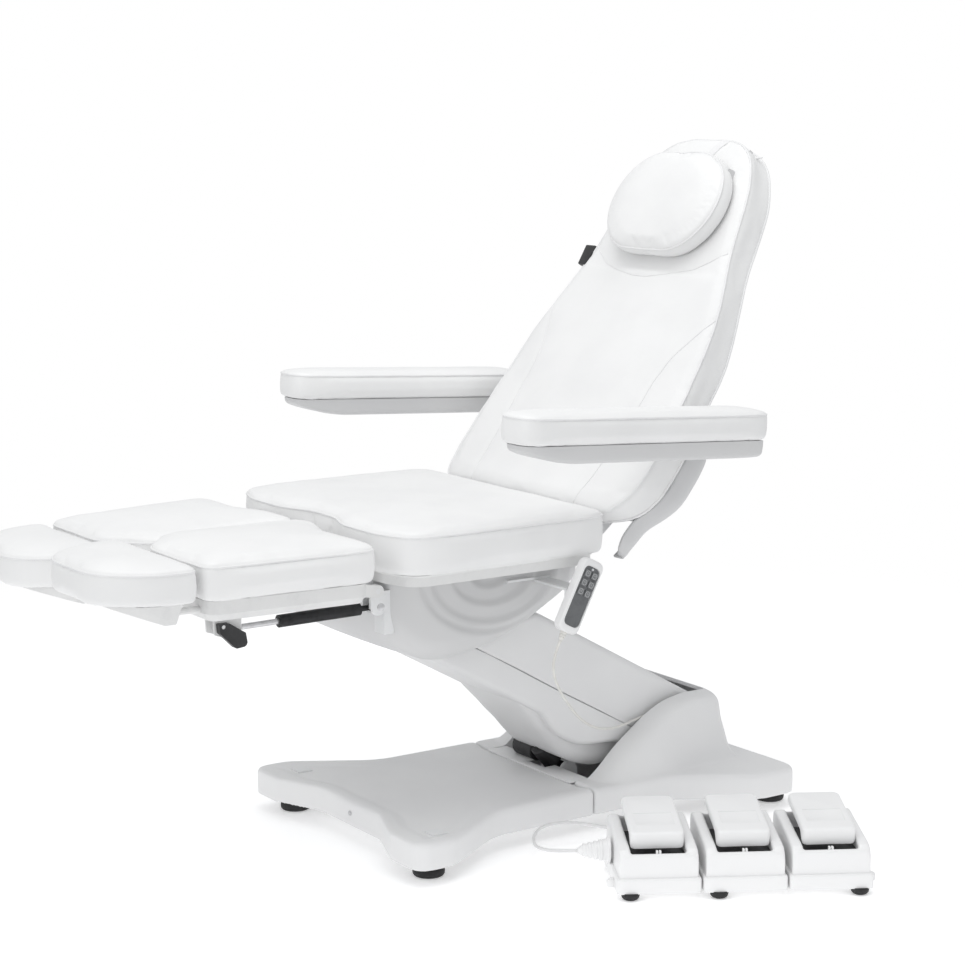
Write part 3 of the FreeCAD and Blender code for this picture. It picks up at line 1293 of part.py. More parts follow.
def make_armrests():
    """Hub, shell and cushion of each armrest, laid level and then tipped up at the front."""
    for name, side in (("left", 1), ("right", -1)):
        start = S.armrest_hub_x
        end = start + S.armrest_hub_length
        shell_side = S.armrest_centre_x - S.armrest_half_width + S.armrest_shell_inset
        pin_end = shell_side + S.armrest_shell_depth
        over = S.cut_overrun
        spans = [(start, end), (end - over, pin_end), (start - over,
                                                       start + S.armrest_hub_length / 2 + over)]
        spans = [span if side > 0 else (-span[1], -span[0]) for span in spans]
        barrel = rod("x", spans[0], (0, 0), S.armrest_hub_radius)
        pin = rod("x", spans[1], (0, 0), S.armrest_pin_radius)
        socket = rod("x", spans[2], (0, 0), S.armrest_pin_radius + S.running_clearance)
        node(f"{name}_armrest_hub", cut(fuse(barrel, pin), socket), armrest_frame)

        centre = S.armrest_centre_x * side
        width = S.armrest_half_width - S.armrest_shell_inset
        top = S.armrest_shell_depth * 0.44
        low = top - S.armrest_shell_depth
        rear = S.armrest_rear_reach - S.armrest_shell_inset
        front = S.armrest_front_reach - S.armrest_shell_inset
        tray = prism("yz", [(rear, top), (-front, top), (-front, top - S.armrest_shell_depth * 0.24),
                            (-front * 0.86, low), (rear * 0.6, low), (rear,
                                                                low + S.armrest_shell_depth * 0.35)],
                     (centre - width, centre + width), {3: S.corner_round, 4: S.corner_round / 3})
        bore_spans = (shell_side - over, pin_end + S.side_clearance / 4)
        if side < 0:
            bore_spans = (-bore_spans[1], -bore_spans[0])
        hole = rod("x", bore_spans, (0, 0), S.armrest_pin_radius + S.running_clearance)
        node(f"{name}_armrest_shell", cut(tray, hole), armrest_frame)

        half = number(S.armrest_half_width)
        mid = number(centre)
        ends = (number(S.armrest_rear_reach), -number(S.armrest_front_reach))
        corners = [(mid + half, ends[0]), (mid - half, ends[0]), (mid - half, ends[1]), (mid + half,
                                                                ends[1])]
        radii = [half * 0.55, half * 0.55, half * 0.8, half * 0.8]
        levels = cushion_levels(number(top) + number(S.soft_gap), number(S.armrest_cushion_thickness),
                                number(S.crown_height) * 0.4)
        levels = [(height, inset * 0.6) for height, inset in levels]
        node(f"{name}_armrest_cushion", feature(stack(corners, radii, levels)), armrest_frame)


# Leg rests

def hand(corners, radii, side):
    """An outline for the left leg, or its mirror for the right."""
    return (corners, radii) if side > 0 else mirror_x(corners, radii)


def make_leg(name, side, rise):
    """Bracket, board, cushions, gas spring, sliding foot rest and release lever of one leg."""
    level = tilted(-S.leg_hinge_y, S.leg_hinge_z, 0)
    leg = tilted(-S.leg_hinge_y, S.leg_hinge_z, -rise)
    x = S.leg_hinge_x * side
    over = S.cut_overrun
    ear_in = S.gas_eye_half_width + S.side_clearance * 2
    ear_out = ear_in + S.leg_ear_stock
    lug_in = ear_out + S.side_clearance
    lug_out = lug_in + S.leg_ear_stock
    pin_y, pin_z = S.spring_pin_back, -S.spring_pin_drop
    post_front = pin_y + S.gas_cylinder_radius
    post_rear = post_front + S.post_depth
    swivel = S.leg_hinge_y - S.swivel_y
    boss_top = S.seat_board_bottom - S.sheet_stock - S.seat_rail_height - S.soft_gap - S.leg_hinge_z
    boss_low = boss_top - S.hub_radius * 0.55
    pieces = [rod("z", (boss_low, boss_top), (x, swivel), S.swivel_radius),
              rod("z", (boss_low, boss_top + S.seat_rail_height - S.soft_gap), (x, swivel),
                  S.swivel_pin_radius)]
    for low, high in ((ear_in, ear_out), (-ear_out, -ear_in)):
        ear = prism("yz", [(-S.leg_hub_radius, 0), (-S.leg_hub_radius, pin_z), (post_rear, pin_z),
                           (swivel, boss_low), (swivel, boss_top), (S.leg_hub_radius, boss_top),
                           (S.leg_hub_radius * 0.7, 0)], (x + low, x + high))
        pieces += [ear, rod("x", (x + low, x + high), (0, 0), S.leg_hub_radius)]
        pieces.append(rod("x", (x + low, x + high), (pin_y, pin_z), S.leg_hub_radius + S.side_clearance))
    pieces.append(block((x - ear_out, x + ear_out), (post_front, swivel), (boss_low, boss_top)))
    pieces.append(block((x - ear_out, x + ear_out), (post_front, post_rear),
                        (pin_z - S.post_length, pin_z + S.leg_hub_radius)))
    pieces.append(rod("x", (x - lug_out, x + lug_out), (0, 0), S.leg_pin_radius))
    pieces.append(rod("x", (x - ear_out, x + ear_out), (pin_y, pin_z), S.leg_pin_radius))
    node(f"{name}_leg_bracket", fuse(*pieces), level)

    bottom = number(S.leg_board_bottom)
    top = bottom + number(S.leg_board_thickness)
    rear = number(S.leg_board_rear)
    front = number(S.leg_board_front)
    inner = number(S.leg_inner_x) + number(S.leg_board_inset)
    outer = number(S.leg_outer_x) - number(S.leg_board_inset)
    nose = number(S.calf_nose_run)
    drop = number(S.calf_nose_drop)
    corners = [(outer, -rear), (inner, -rear), (inner, -front + drop), (inner + nose, -front), (outer,
                                                                -front)]
    radii = [number(S.calf_round)] * 2 + [nose * 0.6] * 2 + [number(S.calf_round)]
    corners, radii = hand(corners, radii, side)
    edge = number(S.sheet_stock)
    plank = feature(stack(corners, radii, [(bottom, edge * 2), (bottom + edge * 3, 0), (top, 0)]))
    channel = S.spring_channel_half_width
    channel_top = S.leg_board_bottom + S.spring_channel_depth
    groove = block((x - channel, x + channel), (-S.leg_board_front * 0.66, 0), (0, channel_top))
    front_in = S.leg_board_front + over
    drill = S.slide_rod_radius + S.running_clearance
    rod_z = S.leg_board_bottom + S.leg_board_thickness / 2
    holes = []
    for place in (S.slide_rod_inner_x, S.slide_rod_outer_x):
        holes.append(rod("y", (-front_in, -S.leg_board_front + S.slide_rod_depth + over), (place * side,
                                                                rod_z), drill))
    board = cut(plank, groove, *holes)
    parts = [board]
    for low, high in ((lug_in, lug_out), (-lug_out, -lug_in)):
        lug = prism("yz", [(0, -S.leg_hub_radius), (0, S.leg_hub_radius),
                           (-S.leg_board_rear - S.hub_radius * 2,
                    channel_top + over), (-S.leg_board_rear - S.hub_radius * 2, S.leg_board_bottom)],
                    (x + low, x + high))
        parts += [lug, rod("x", (x + low, x + high), (0, 0), S.leg_hub_radius)]
    head_in = S.gas_eye_half_width + S.side_clearance * 3
    head_out = head_in + S.leg_ear_stock * 0.7
    head_y, head_z = -S.release_y, -S.release_drop
    for direction in (-1, 1):
        low, high = (head_in, head_out) if direction > 0 else (-head_out, -head_in)
        wing = prism("yz", [(head_y - S.hub_radius * 1.2, S.leg_board_bottom + over),
                            (head_y - S.hub_radius,
                     head_z - S.leg_hub_radius * 0.4), (head_y, head_z - S.leg_hub_radius), (head_y
                     + S.hub_radius * 1.5, head_z), (head_y + S.hub_radius * 1.5,
                                                     S.leg_board_bottom + over)],
                     (x + low, x + high))
        stub_in = S.gas_eye_half_width + S.side_clearance
        stub = (x + stub_in, x + head_out) if direction > 0 else (x - head_out, x - stub_in)
        parts += [wing, rod("x", stub, (head_y, head_z), S.leg_pin_radius * 0.8)]
    lever_pin = (x + head_in, x + head_out + S.release_lever_width) if side > 0 else (
        x - head_out - S.release_lever_width, x - head_in)
    lever_y = head_y - S.hub_radius * 0.5
    lever_z = head_z + S.leg_hub_radius
    parts.append(rod("x", lever_pin, (lever_y, lever_z), S.leg_pin_radius * 0.7))
    board = fuse(*parts)
    pin_hole = rod("x", (x - lug_out - over, x + lug_out + over), (0, 0),
                   S.leg_pin_radius + S.running_clearance)
    node(f"{name}_leg_board", cut(board, pin_hole), leg)

    soft = number(S.soft_gap)
    x_in = number(S.leg_inner_x)
    x_out = number(S.leg_outer_x)
    calf_rear = number(S.calf_rear)
    calf_front = number(S.calf_front)
    bulge = number(S.calf_rear_bulge)
    span = x_out - x_in
    corners = [(x_out, -calf_rear), (x_in + span * 0.45, -calf_rear), (x_in + span * 0.16,
                                                                -calf_rear + bulge),
               (x_in, -calf_rear + bulge), (x_in, -calf_front + drop), (x_in + nose, -calf_front),
               (x_out, -calf_front)]
    round_small = number(S.calf_round)
    radii = [round_small, span * 0.4, span * 0.2, round_small, nose * 0.6, nose * 0.9, round_small]
    corners, radii = hand(corners, radii, side)
    levels = cushion_levels(top + soft, number(S.calf_thickness), number(S.crown_height) * 0.6)
    levels = [(height, inset * 0.8) for height, inset in levels]
    node(f"{name}_calf_cushion", feature(stack(corners, radii, levels)), leg)

    start = calf_front + number(S.foot_gap)
    end = start + number(S.foot_length)
    lift = number(S.foot_cushion_lift)
    arc_in = number(S.foot_length) * 0.62
    corners = [(x_out, -start), (x_in, -start), (x_in, -end + arc_in * 0.8), (x_in + span * 0.2, -end),
               (x_out - span * 0.2, -end), (x_out, -end + arc_in * 0.8)]
    radii = [round_small * 0.8, round_small * 1.6, arc_in * 1.1, arc_in * 1.1, arc_in * 1.1, arc_in * 1.1]
    foot_corners, foot_radii = hand(corners, radii, side)
    levels = cushion_levels(top + lift + soft, number(S.foot_cushion_thickness),
                            number(S.crown_height) * 0.6)
    levels = [(height, inset * 0.8) for height, inset in levels]
    node(f"{name}_foot_cushion", feature(stack(foot_corners, foot_radii, levels)), leg)

    board_top = top + lift
    board_inset = number(S.foot_board_inset)
    board_low = board_top - number(S.foot_board_drop)
    plank = stack(foot_corners, foot_radii, [(board_low, board_inset + edge), (board_top,
                                                                board_inset - edge)])
    wedge_length = number(S.foot_length)
    wedge_rise = number(S.foot_board_rise)
    wide = x_out * 2
    slope = [V(-wide, -start - wedge_length * 0.3, board_low - edge), V(-wide, -end - edge,
                                                                board_low - edge),
             V(-wide, -end - edge, board_low + wedge_rise), V(-wide, -start - wedge_length * 0.3,
                                                              board_low)]
    wedge = Part.Face(Part.makePolygon(slope + slope[:1])).extrude(V(wide * 2, 0, 0))
    plank = plank.cut(wedge)
    rods = []
    for place in (S.slide_rod_inner_x, S.slide_rod_outer_x):
        rod_start = -S.leg_board_front + S.slide_rod_depth
        rod_end = -start - number(S.foot_board_inset) * 2
        rods.append(rod("y", (rod_end, rod_start), (place * side, rod_z), S.slide_rod_radius))
    node(f"{name}_foot_board", fuse(feature(plank), *rods), leg)

    head = world(leg, head_y, head_z)
    anchor = world(level, pin_y, pin_z)
    run = math.dist((head.y, head.z), (anchor.y, anchor.z))
    angle = math.degrees(math.atan2(head.z - anchor.z, head.y - anchor.y)) - 180
    place = tilted(anchor.y, anchor.z, angle, x)
    grip = S.gas_eye_half_width
    eye = rod("x", (-grip, grip), (0, 0), S.gas_eye_radius)
    neck = rod("y", (-S.gas_cylinder_start, -S.leg_pin_radius * 1.3), (0, 0), S.gas_rod_radius)
    tube_end = S.gas_cylinder_start + S.gas_cylinder_length
    tube = rod("y", (-tube_end, -S.gas_cylinder_start), (0, 0), S.gas_cylinder_radius)
    bore = rod("x", (-grip - over, grip + over), (0, 0), S.leg_pin_radius + S.running_clearance)
    hollow = rod("y", (-tube_end - over, -S.gas_cylinder_start * 1.5), (0, 0),
                 S.gas_rod_radius + S.running_clearance)
    node(f"{name}_gas_cylinder", cut(fuse(eye, neck, tube), bore, hollow), place)
    shaft = rod("y", (-run, -run * 0.38), (0, 0), S.gas_rod_radius)
    eye = rod("x", (-grip, grip), (-run, 0), S.gas_eye_radius)
    hole = rod("x", (-grip - over, grip + over), (-run, 0), S.leg_pin_radius)
    node(f"{name}_gas_rod", cut(fuse(shaft, eye), hole), place)

    width = S.release_lever_width
    first = head_out + S.side_clearance / 2
    span_x = (x + first, x + first + width) if side > 0 else (x - first - width, x - first)
    grow = S.release_lever_length
    knob = prism("yz", [(lever_y - S.leg_hub_radius * 0.8, lever_z + S.leg_pin_radius), (lever_y
                 - S.leg_hub_radius * 0.6, lever_z - S.leg_hub_radius), (lever_y + grow * 0.5,
                                                                lever_z - grow * 0.86),
                 (lever_y + grow, lever_z - grow * 0.8), (lever_y + grow * 0.9, lever_z - grow * 0.3),
                 (lever_y + S.leg_hub_radius, lever_z + S.leg_pin_radius)], span_x,
                 {2: S.leg_pin_radius * 1.6, 3: S.leg_pin_radius * 1.6})
    lever_bore = rod("x", (span_x[0] - over, span_x[1] + over), (lever_y, lever_z),
                     S.leg_pin_radius * 0.7 + S.running_clearance)
    node(f"{name}_release_lever", cut(knob, lever_bore), leg)
    return run, angle


# Handset

handset_frame = tilted(-S.handset_y, S.handset_z, -number(S.handset_lean_angle))


def make_handset():
    """Housing with its strain relief, key panel and the keys that travel in it."""
    x0 = S.handset_x + S.side_clearance / 2
    x1 = x0 + S.handset_thickness
    half = S.handset_width / 2
    tall = S.handset_length / 2
    face = x1 - S.keypad_recess
    corner = S.handset_round
    rectangle = [(-half, -tall), (half, -tall), (half, tall), (-half, tall)]
    rounds = {0: corner, 1: corner, 2: corner, 3: corner}
    housing = prism("yz", rectangle, (x0, x1), rounds)
    pad_half = S.keypad_width / 2
    pad_tall = S.keypad_length / 2
    pad = [(-pad_half, -pad_tall), (pad_half, -pad_tall), (pad_half, pad_tall), (-pad_half, pad_tall)]
    pad_round = corner * 0.7
    recess = prism("yz", pad, (face, x1 + S.cut_overrun), {0: pad_round, 1: pad_round, 2: pad_round,
                                                           3: pad_round})
    relief_x = x0 + S.handset_thickness / 2
    relief = rod("z", (-tall - S.handset_relief_length, -tall + S.cut_overrun), (relief_x, 0),
                 S.handset_relief_radius)
    node("handset_body", fuse(cut(housing, recess), relief), handset_frame)

    slack = S.soft_gap / 3
    inset = [(-pad_half + slack, -pad_tall + slack), (pad_half - slack, -pad_tall + slack),
             (pad_half - slack, pad_tall - slack), (-pad_half + slack, pad_tall - slack)]
    panel = prism("yz", inset, (face, x1), {0: pad_round, 1: pad_round, 2: pad_round, 3: pad_round})
    windows = []
    keys = []
    key = S.key_size / 2
    labels = iter(("raise_lift", "lower_lift", "raise_back", "lower_back", "tilt_up", "tilt_down"))
    for row in range(3):
        for column in (-1, 1):
            y = S.key_pitch_across / 2 * column
            z = S.key_first_height - S.key_pitch_along * row
            grown = key + S.soft_gap
            windows.append(block((face - S.cut_overrun, x1 + S.cut_overrun), (y - grown, y + grown),
                                 (z - grown, z + grown)))
            keys.append((next(labels), (y - key, y + key), (z - key, z + key)))
    node("handset_panel", cut(panel, *windows), handset_frame)
    for label, y, z in keys:
        corners = [(y[0], z[0]), (y[1], z[0]), (y[1], z[1]), (y[0], z[1])]
        cap = prism("yz", corners, (face + S.key_travel + slack, x1 + S.key_proud))
        node(f"key_{label}", cap, handset_frame)


# Foot control

unit_frame = FreeCAD.Placement(V(number(S.pedal_unit_x), number(S.pedal_unit_y), 0),
                               FreeCAD.Rotation(Z_AXIS, number(S.pedal_unit_angle)))


def module_centres():
    """The three pedal modules' centres along the row."""
    return [S.module_pitch * -1, S.module_pitch * 0, S.module_pitch]


def pedal_feet():
    """The foot control's round feet, under each module's corners."""
    feet = []
    for x in module_centres():
        for y in (-S.module_depth * 0.38, S.module_depth * 0.38):
            feet.append(rod("z", (0, S.module_floor), (x, y), S.pedal_foot_radius))
    group = doc.addObject("Part::Compound", "pedal_feet_group")
    group.Links = feet
    group.Placement = unit_frame
    return [group]


def make_foot_control():
    """Housing of three modules, its cable gland and the three rocking pedals."""
    half = S.module_pitch / 2
    deep = S.module_depth / 2
    floor = S.module_floor
    reach = S.module_plinth_reach
    wall = S.module_wall_width
    pedal_half = half - wall - S.module_gap * 2
    pivot_y = S.pedal_rear_reach * 0.9
    pivot_z = S.pedal_rear_height - S.pedal_thickness * 1.3
    pieces = []
    tools = []
    for x in module_centres():
        pieces.append(block((x - half, x + half), (-deep, deep), (floor, floor + S.module_plinth_height)))
        body_side = half - S.module_gap
        pieces.append(block((x - body_side, x + body_side), (reach - deep, deep),
                            (floor + S.module_plinth_height,
                            floor + S.module_height)))
        for low, high in ((x - body_side, x - body_side + wall), (x + body_side - wall, x + body_side)):
            profile = [(reach - deep, floor + S.module_height), (reach * 2.4 - deep,
                                                                S.module_wall_height * 0.83),
                       (-deep * 0.2, S.module_wall_height), (deep * 0.86, S.module_wall_height + reach),
                       (deep, S.module_wall_height * 0.9), (deep, floor + S.module_height)]
            pieces.append(prism("yz", profile, (low, high), {1: reach, 3: reach}))
        groove_half = S.module_gap / 2
        tools.append(block((x + half - groove_half, x + half + groove_half), (-deep - reach,
                                                                reach * 0.3 - deep),
                           (floor, floor + S.module_plinth_height)))
        pin_half = pedal_half + wall / 2
        pieces.append(rod("x", (x - pin_half, x + pin_half), (pivot_y, pivot_z), S.pedal_pin_radius))
    gland_end = half * 3
    gland_at = (S.gland_y, S.gland_z)
    pieces.append(rod("x", (-gland_end - S.gland_length * 0.55, -gland_end + wall), gland_at,
                      S.gland_radius))
    pieces.append(rod("x", (-gland_end - S.gland_length, -gland_end), gland_at, S.gland_radius * 0.6))
    ear_y = -deep * 0.75
    pieces.append(block((-gland_end - wall * 0.7, -gland_end + wall), (ear_y - wall * 0.6,
                                                                ear_y + wall * 0.6),
                        (floor, floor + S.module_plinth_height * 0.8)))
    housing = fuse(*pieces)
    node("pedal_housing", cut(housing, *tools[:2]), unit_frame)

    for name, x in zip(("left", "middle", "right"), module_centres()):
        side = [(-S.pedal_front_reach, S.pedal_front_height), (-S.pedal_front_reach, S.pedal_front_height
                - S.pedal_thickness), (-S.pedal_front_reach * 0.8,
                                       S.pedal_front_height - S.pedal_thickness * 1.3),
                (S.pedal_rear_reach, S.pedal_rear_height - S.pedal_thickness * 1.5),
                (S.pedal_rear_reach, S.pedal_rear_height - S.pedal_thickness * 0.3),
                (S.pedal_rear_reach * 0.8, S.pedal_rear_height),
                (-S.pedal_front_reach * 0.4, S.pedal_front_height + S.pedal_thickness * 0.55)]
        plate = prism("yz", side, (x - pedal_half, x + pedal_half), {0: S.pedal_thickness / 2})
        lip = S.pedal_pin_radius * 1.9
        boss = rod("x", (x - pedal_half, x + pedal_half), (pivot_y, pivot_z), lip)
        bore = rod("x", (x - pedal_half - S.cut_overrun, x + pedal_half + S.cut_overrun), (pivot_y,
                                                                pivot_z),
                   S.pedal_pin_radius + S.running_clearance)
        node(f"{name}_pedal", cut(fuse(plate, boss), bore), unit_frame)


# Cords: straight runs joined by tangent arcs

def cord(label, route, radius):
    """A round cord along a route chosen by hand; prints its length and its bend radii."""
    points = [V(*spot) for spot in route]
    ends = []
    radii = []
    for before, here, after in zip(points, points[1:], points[2:]):
        into = (here - before).normalize()
        out = (after - here).normalize()
        half_turn = into.getAngle(out) / 2
        reach = 0.45 * min((here - before).Length, (after - here).Length)
        bend = reach / math.tan(half_turn)
        inner = (out - into).normalize()
        middle = here + inner * (bend / math.cos(half_turn) - bend)
        ends.append((here - into * reach, middle, here + out * reach))
        radii.append(bend)
    edges = []
    last = points[0]
    for first, middle, final in ends:
        edges.append(Part.LineSegment(last, first).toShape())
        edges.append(Part.Arc(first, middle, final).toShape())
        last = final
    edges.append(Part.LineSegment(last, points[-1]).toShape())
    path = Part.Wire(edges)
    circle = Part.Wire(Part.makeCircle(radius, points[0], points[1] - points[0]))
    tube = path.makePipeShell([circle], True, False)
    section = math.pi * radius * radius
    bends = ", ".join(f"{bend:.0f}" for bend in radii)
    ratio = tube.Volume / section / path.Length
    print(f"{label}: length {path.Length:.0f}, tightest bend {min(radii):.1f}, bends {bends}, "
          f"volume ratio {ratio:.4f}")
    return node(label, feature(tube))


def handset_outlet(beyond):
    """A point on the axis of the handset's strain relief, so far beyond its end."""
    tall = number(S.handset_length) / 2 + number(S.handset_relief_length)
    x = number(S.handset_x) + number(S.side_clearance) / 2 + number(S.handset_thickness) / 2
    spot = world(handset_frame, 0, -tall - beyond, x)
    return spot.x, spot.y, spot.z


# The handset cable hangs from the handset, sags beside the arm and runs up to the arm's side
HANDSET_CABLE_ROUTE = [handset_outlet(0), handset_outlet(30), (311, -183, 352), (297, -160, 316), (276,
                                                                -124, 279),
                       (250, -84, 245), (222, -40, 216), (196, 8, 194), (172, 54, 181), (151, 98, 176),
                       (134, 142, 177), (130.5, 184, 182), (130.5, 228, 189), (130.5, 268, 189)]


def gland_outlet(beyond):
    """A point on the axis of the foot control's gland, so far beyond its end."""
    along = -number(S.module_pitch) * 1.5 - number(S.gland_length) - beyond
    spot = unit_frame.multVec(V(along, number(S.gland_y), number(S.gland_z)))
    return spot.x, spot.y, spot.z


# The pedal cable leaves the gland, turns back behind the foot control and goes in under the base
PEDAL_CABLE_ROUTE = [gland_outlet(0), gland_outlet(26), (382, -246, 56), (348, -246, 53), (312, -226, 51),
                     (280, -200, 50), (257, -170, 50), (247, -135, 49), (251, -98, 46), (266, -58, 38),
                     (288, -16, 26), (306, 28, 14), (312, 74, 5.5), (296, 116, 4), (260, 146, 4), (212,
                                                                156, 4),
                     (168, 150, 11), (130, 140, 24), (98, 140, 24)]


make_base()
make_arm()
lift_start = (number(S.lift_actuator_y), number(S.lift_actuator_z))
crank_point = world(arm_frame, -S.lift_crank_length, -S.lift_crank_drop)
lift_run = actuator("lift_actuator", lift_start, (crank_point.y, crank_point.z), 0, S.lift_actuator_radius,
                    S.actuator_rod_radius, True, 0.72)
make_carriage()
make_bowl()
make_seat()
tilt_start = (-number(S.tilt_actuator_y), number(S.tilt_actuator_z))
tilt_end = (-number(S.tilt_crank_y), number(S.tilt_crank_z))
tilt_run = actuator("tilt_actuator", tilt_start, tilt_end, S.actuator_x, S.actuator_radius,
                    S.actuator_rod_radius,
                    False, 0.8)
back_start = (-number(S.back_actuator_y), number(S.back_actuator_z))
back_end = (number(S.back_crank_y), number(S.back_hinge_z) - number(S.back_crank_drop))
back_run = actuator("back_actuator", back_start, back_end, -S.actuator_x, S.actuator_radius,
                    S.actuator_rod_radius, False, 0.68)
make_back()
make_armrests()
left_spring = make_leg("left", 1, number(S.left_leg_rise_angle))
right_spring = make_leg("right", -1, number(S.right_leg_rise_angle))
make_handset()
make_foot_control()
cord("handset_cable", HANDSET_CABLE_ROUTE, number(S.handset_cable_radius))
cord("pedal_cable", PEDAL_CABLE_ROUTE, number(S.pedal_cable_radius))

doc.recompute()
bad = [item.Name for item in doc.Objects if "Invalid" in item.State or "Error" in item.State]
for item in nodes:
    shape = item.Shape
    if shape.isNull() or not shape.isValid() or not shape.Solids:
        bad.append(item.Label)
if bad:
    raise SystemExit(f"not written, failed: {bad}")

os.makedirs("parts", exist_ok=True)
for item in nodes:
    item.Shape.exportStep(os.path.join("parts", f"{item.Label}.step"))
    box = item.Shape.BoundBox
    print(f"{item.Label}: {len(item.Shape.Solids)} solid(s), {box.XMin:.0f}..{box.XMax:.0f}, "
          f"{box.YMin:.0f}..{box.YMax:.0f}, {box.ZMin:.0f}..{box.ZMax:.0f}")
print(len(nodes), "nodes")
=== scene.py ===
"""Dress a podiatry chair: upholstery, moulded covers, steel, handset and foot control.

Every piece is in metres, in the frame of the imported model, and rides on one of its bodies.
"""
import json
import logging
import math
from collections.abc import Callable, Iterable, Sequence
from dataclasses import dataclass
from enum import Enum
from typing import ClassVar

import bmesh
import bpy
from mathutils import Matrix, Vector, noise
from mathutils.bvhtree import BVHTree

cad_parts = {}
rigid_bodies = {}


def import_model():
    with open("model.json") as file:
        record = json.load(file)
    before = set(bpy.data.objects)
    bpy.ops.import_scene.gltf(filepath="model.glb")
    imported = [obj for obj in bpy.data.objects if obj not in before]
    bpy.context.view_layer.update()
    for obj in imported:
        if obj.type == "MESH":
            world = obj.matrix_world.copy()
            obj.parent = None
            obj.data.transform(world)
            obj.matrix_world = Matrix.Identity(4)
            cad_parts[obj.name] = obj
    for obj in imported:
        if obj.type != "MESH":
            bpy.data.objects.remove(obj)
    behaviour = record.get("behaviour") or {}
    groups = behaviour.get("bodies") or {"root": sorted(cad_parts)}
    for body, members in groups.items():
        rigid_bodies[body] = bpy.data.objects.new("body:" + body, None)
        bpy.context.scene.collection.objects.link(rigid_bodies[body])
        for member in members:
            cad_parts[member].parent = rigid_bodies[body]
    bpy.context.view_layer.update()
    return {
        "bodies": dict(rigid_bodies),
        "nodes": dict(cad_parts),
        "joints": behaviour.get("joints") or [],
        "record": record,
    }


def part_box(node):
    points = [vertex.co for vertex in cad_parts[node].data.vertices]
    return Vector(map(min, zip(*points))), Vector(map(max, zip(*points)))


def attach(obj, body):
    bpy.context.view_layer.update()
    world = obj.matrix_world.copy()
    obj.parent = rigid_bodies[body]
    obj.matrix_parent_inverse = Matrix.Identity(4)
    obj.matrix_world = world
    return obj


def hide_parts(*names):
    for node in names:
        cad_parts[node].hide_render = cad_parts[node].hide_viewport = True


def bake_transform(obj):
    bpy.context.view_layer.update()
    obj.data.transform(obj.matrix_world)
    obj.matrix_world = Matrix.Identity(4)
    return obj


LOG = logging.getLogger("podiatry_chair")

Point2 = tuple[float, float]
Point3 = tuple[float, float, float]
Colour = tuple[float, float, float]
Line = tuple[Point2, ...]
Sections = tuple[tuple[float, float, float, float], ...]
Box = tuple[Point3, Point3, float]
Piece = bpy.types.Object
Ring = Sequence[bmesh.types.BMVert]


class Side(Enum):
    """Which hand of the chair a piece is on, as the sign of X."""

    LEFT = 1
    RIGHT = -1

    @property
    def word(self) -> str:
        """The side as the bodies' names have it."""
        return self.name.lower()


class Shading(Enum):
    """How much of a piece is shaded smooth, as the angle over which an edge stays sharp."""

    SOFT = 180
    MOULDED = 40
    PRESSED = 28


# ---- shader maths and finishes


@dataclass(frozen=True)
class Wire:
    """A node's output, on which arithmetic adds Math nodes."""

    graph: "Graph"
    socket: bpy.types.NodeSocket

    def _math(self, operation: str, first: object, second: object) -> "Wire":
        """Add one Math node.

        Args:
            operation: The node's operation.
            first: A number or a wire.
            second: A number or a wire.

        Returns:
            The node's result.
        """
        return self.graph.node("ShaderNodeMath", {"operation": operation}, {0: first, 1: second})

    def __add__(self, other: object) -> "Wire":
        """The sum with a number or a wire."""
        return self._math("ADD", self, other)

    __radd__ = __add__

    def __sub__(self, other: object) -> "Wire":
        """This less a number or a wire."""
        return self._math("SUBTRACT", self, other)

    def __rsub__(self, other: object) -> "Wire":
        """A number less this."""
        return self._math("SUBTRACT", other, self)

    def __mul__(self, other: object) -> "Wire":
        """The product with a number or a wire."""
        return self._math("MULTIPLY", self, other)

    __rmul__ = __mul__

    def steps(self, low: float, high: float) -> "Wire":
        """A smooth rise from nought at low to one at high."""
        values = {"Value": self, "From Min": low, "From Max": high}
        return self.graph.node("ShaderNodeMapRange", {"interpolation_type": "SMOOTHSTEP"}, values)


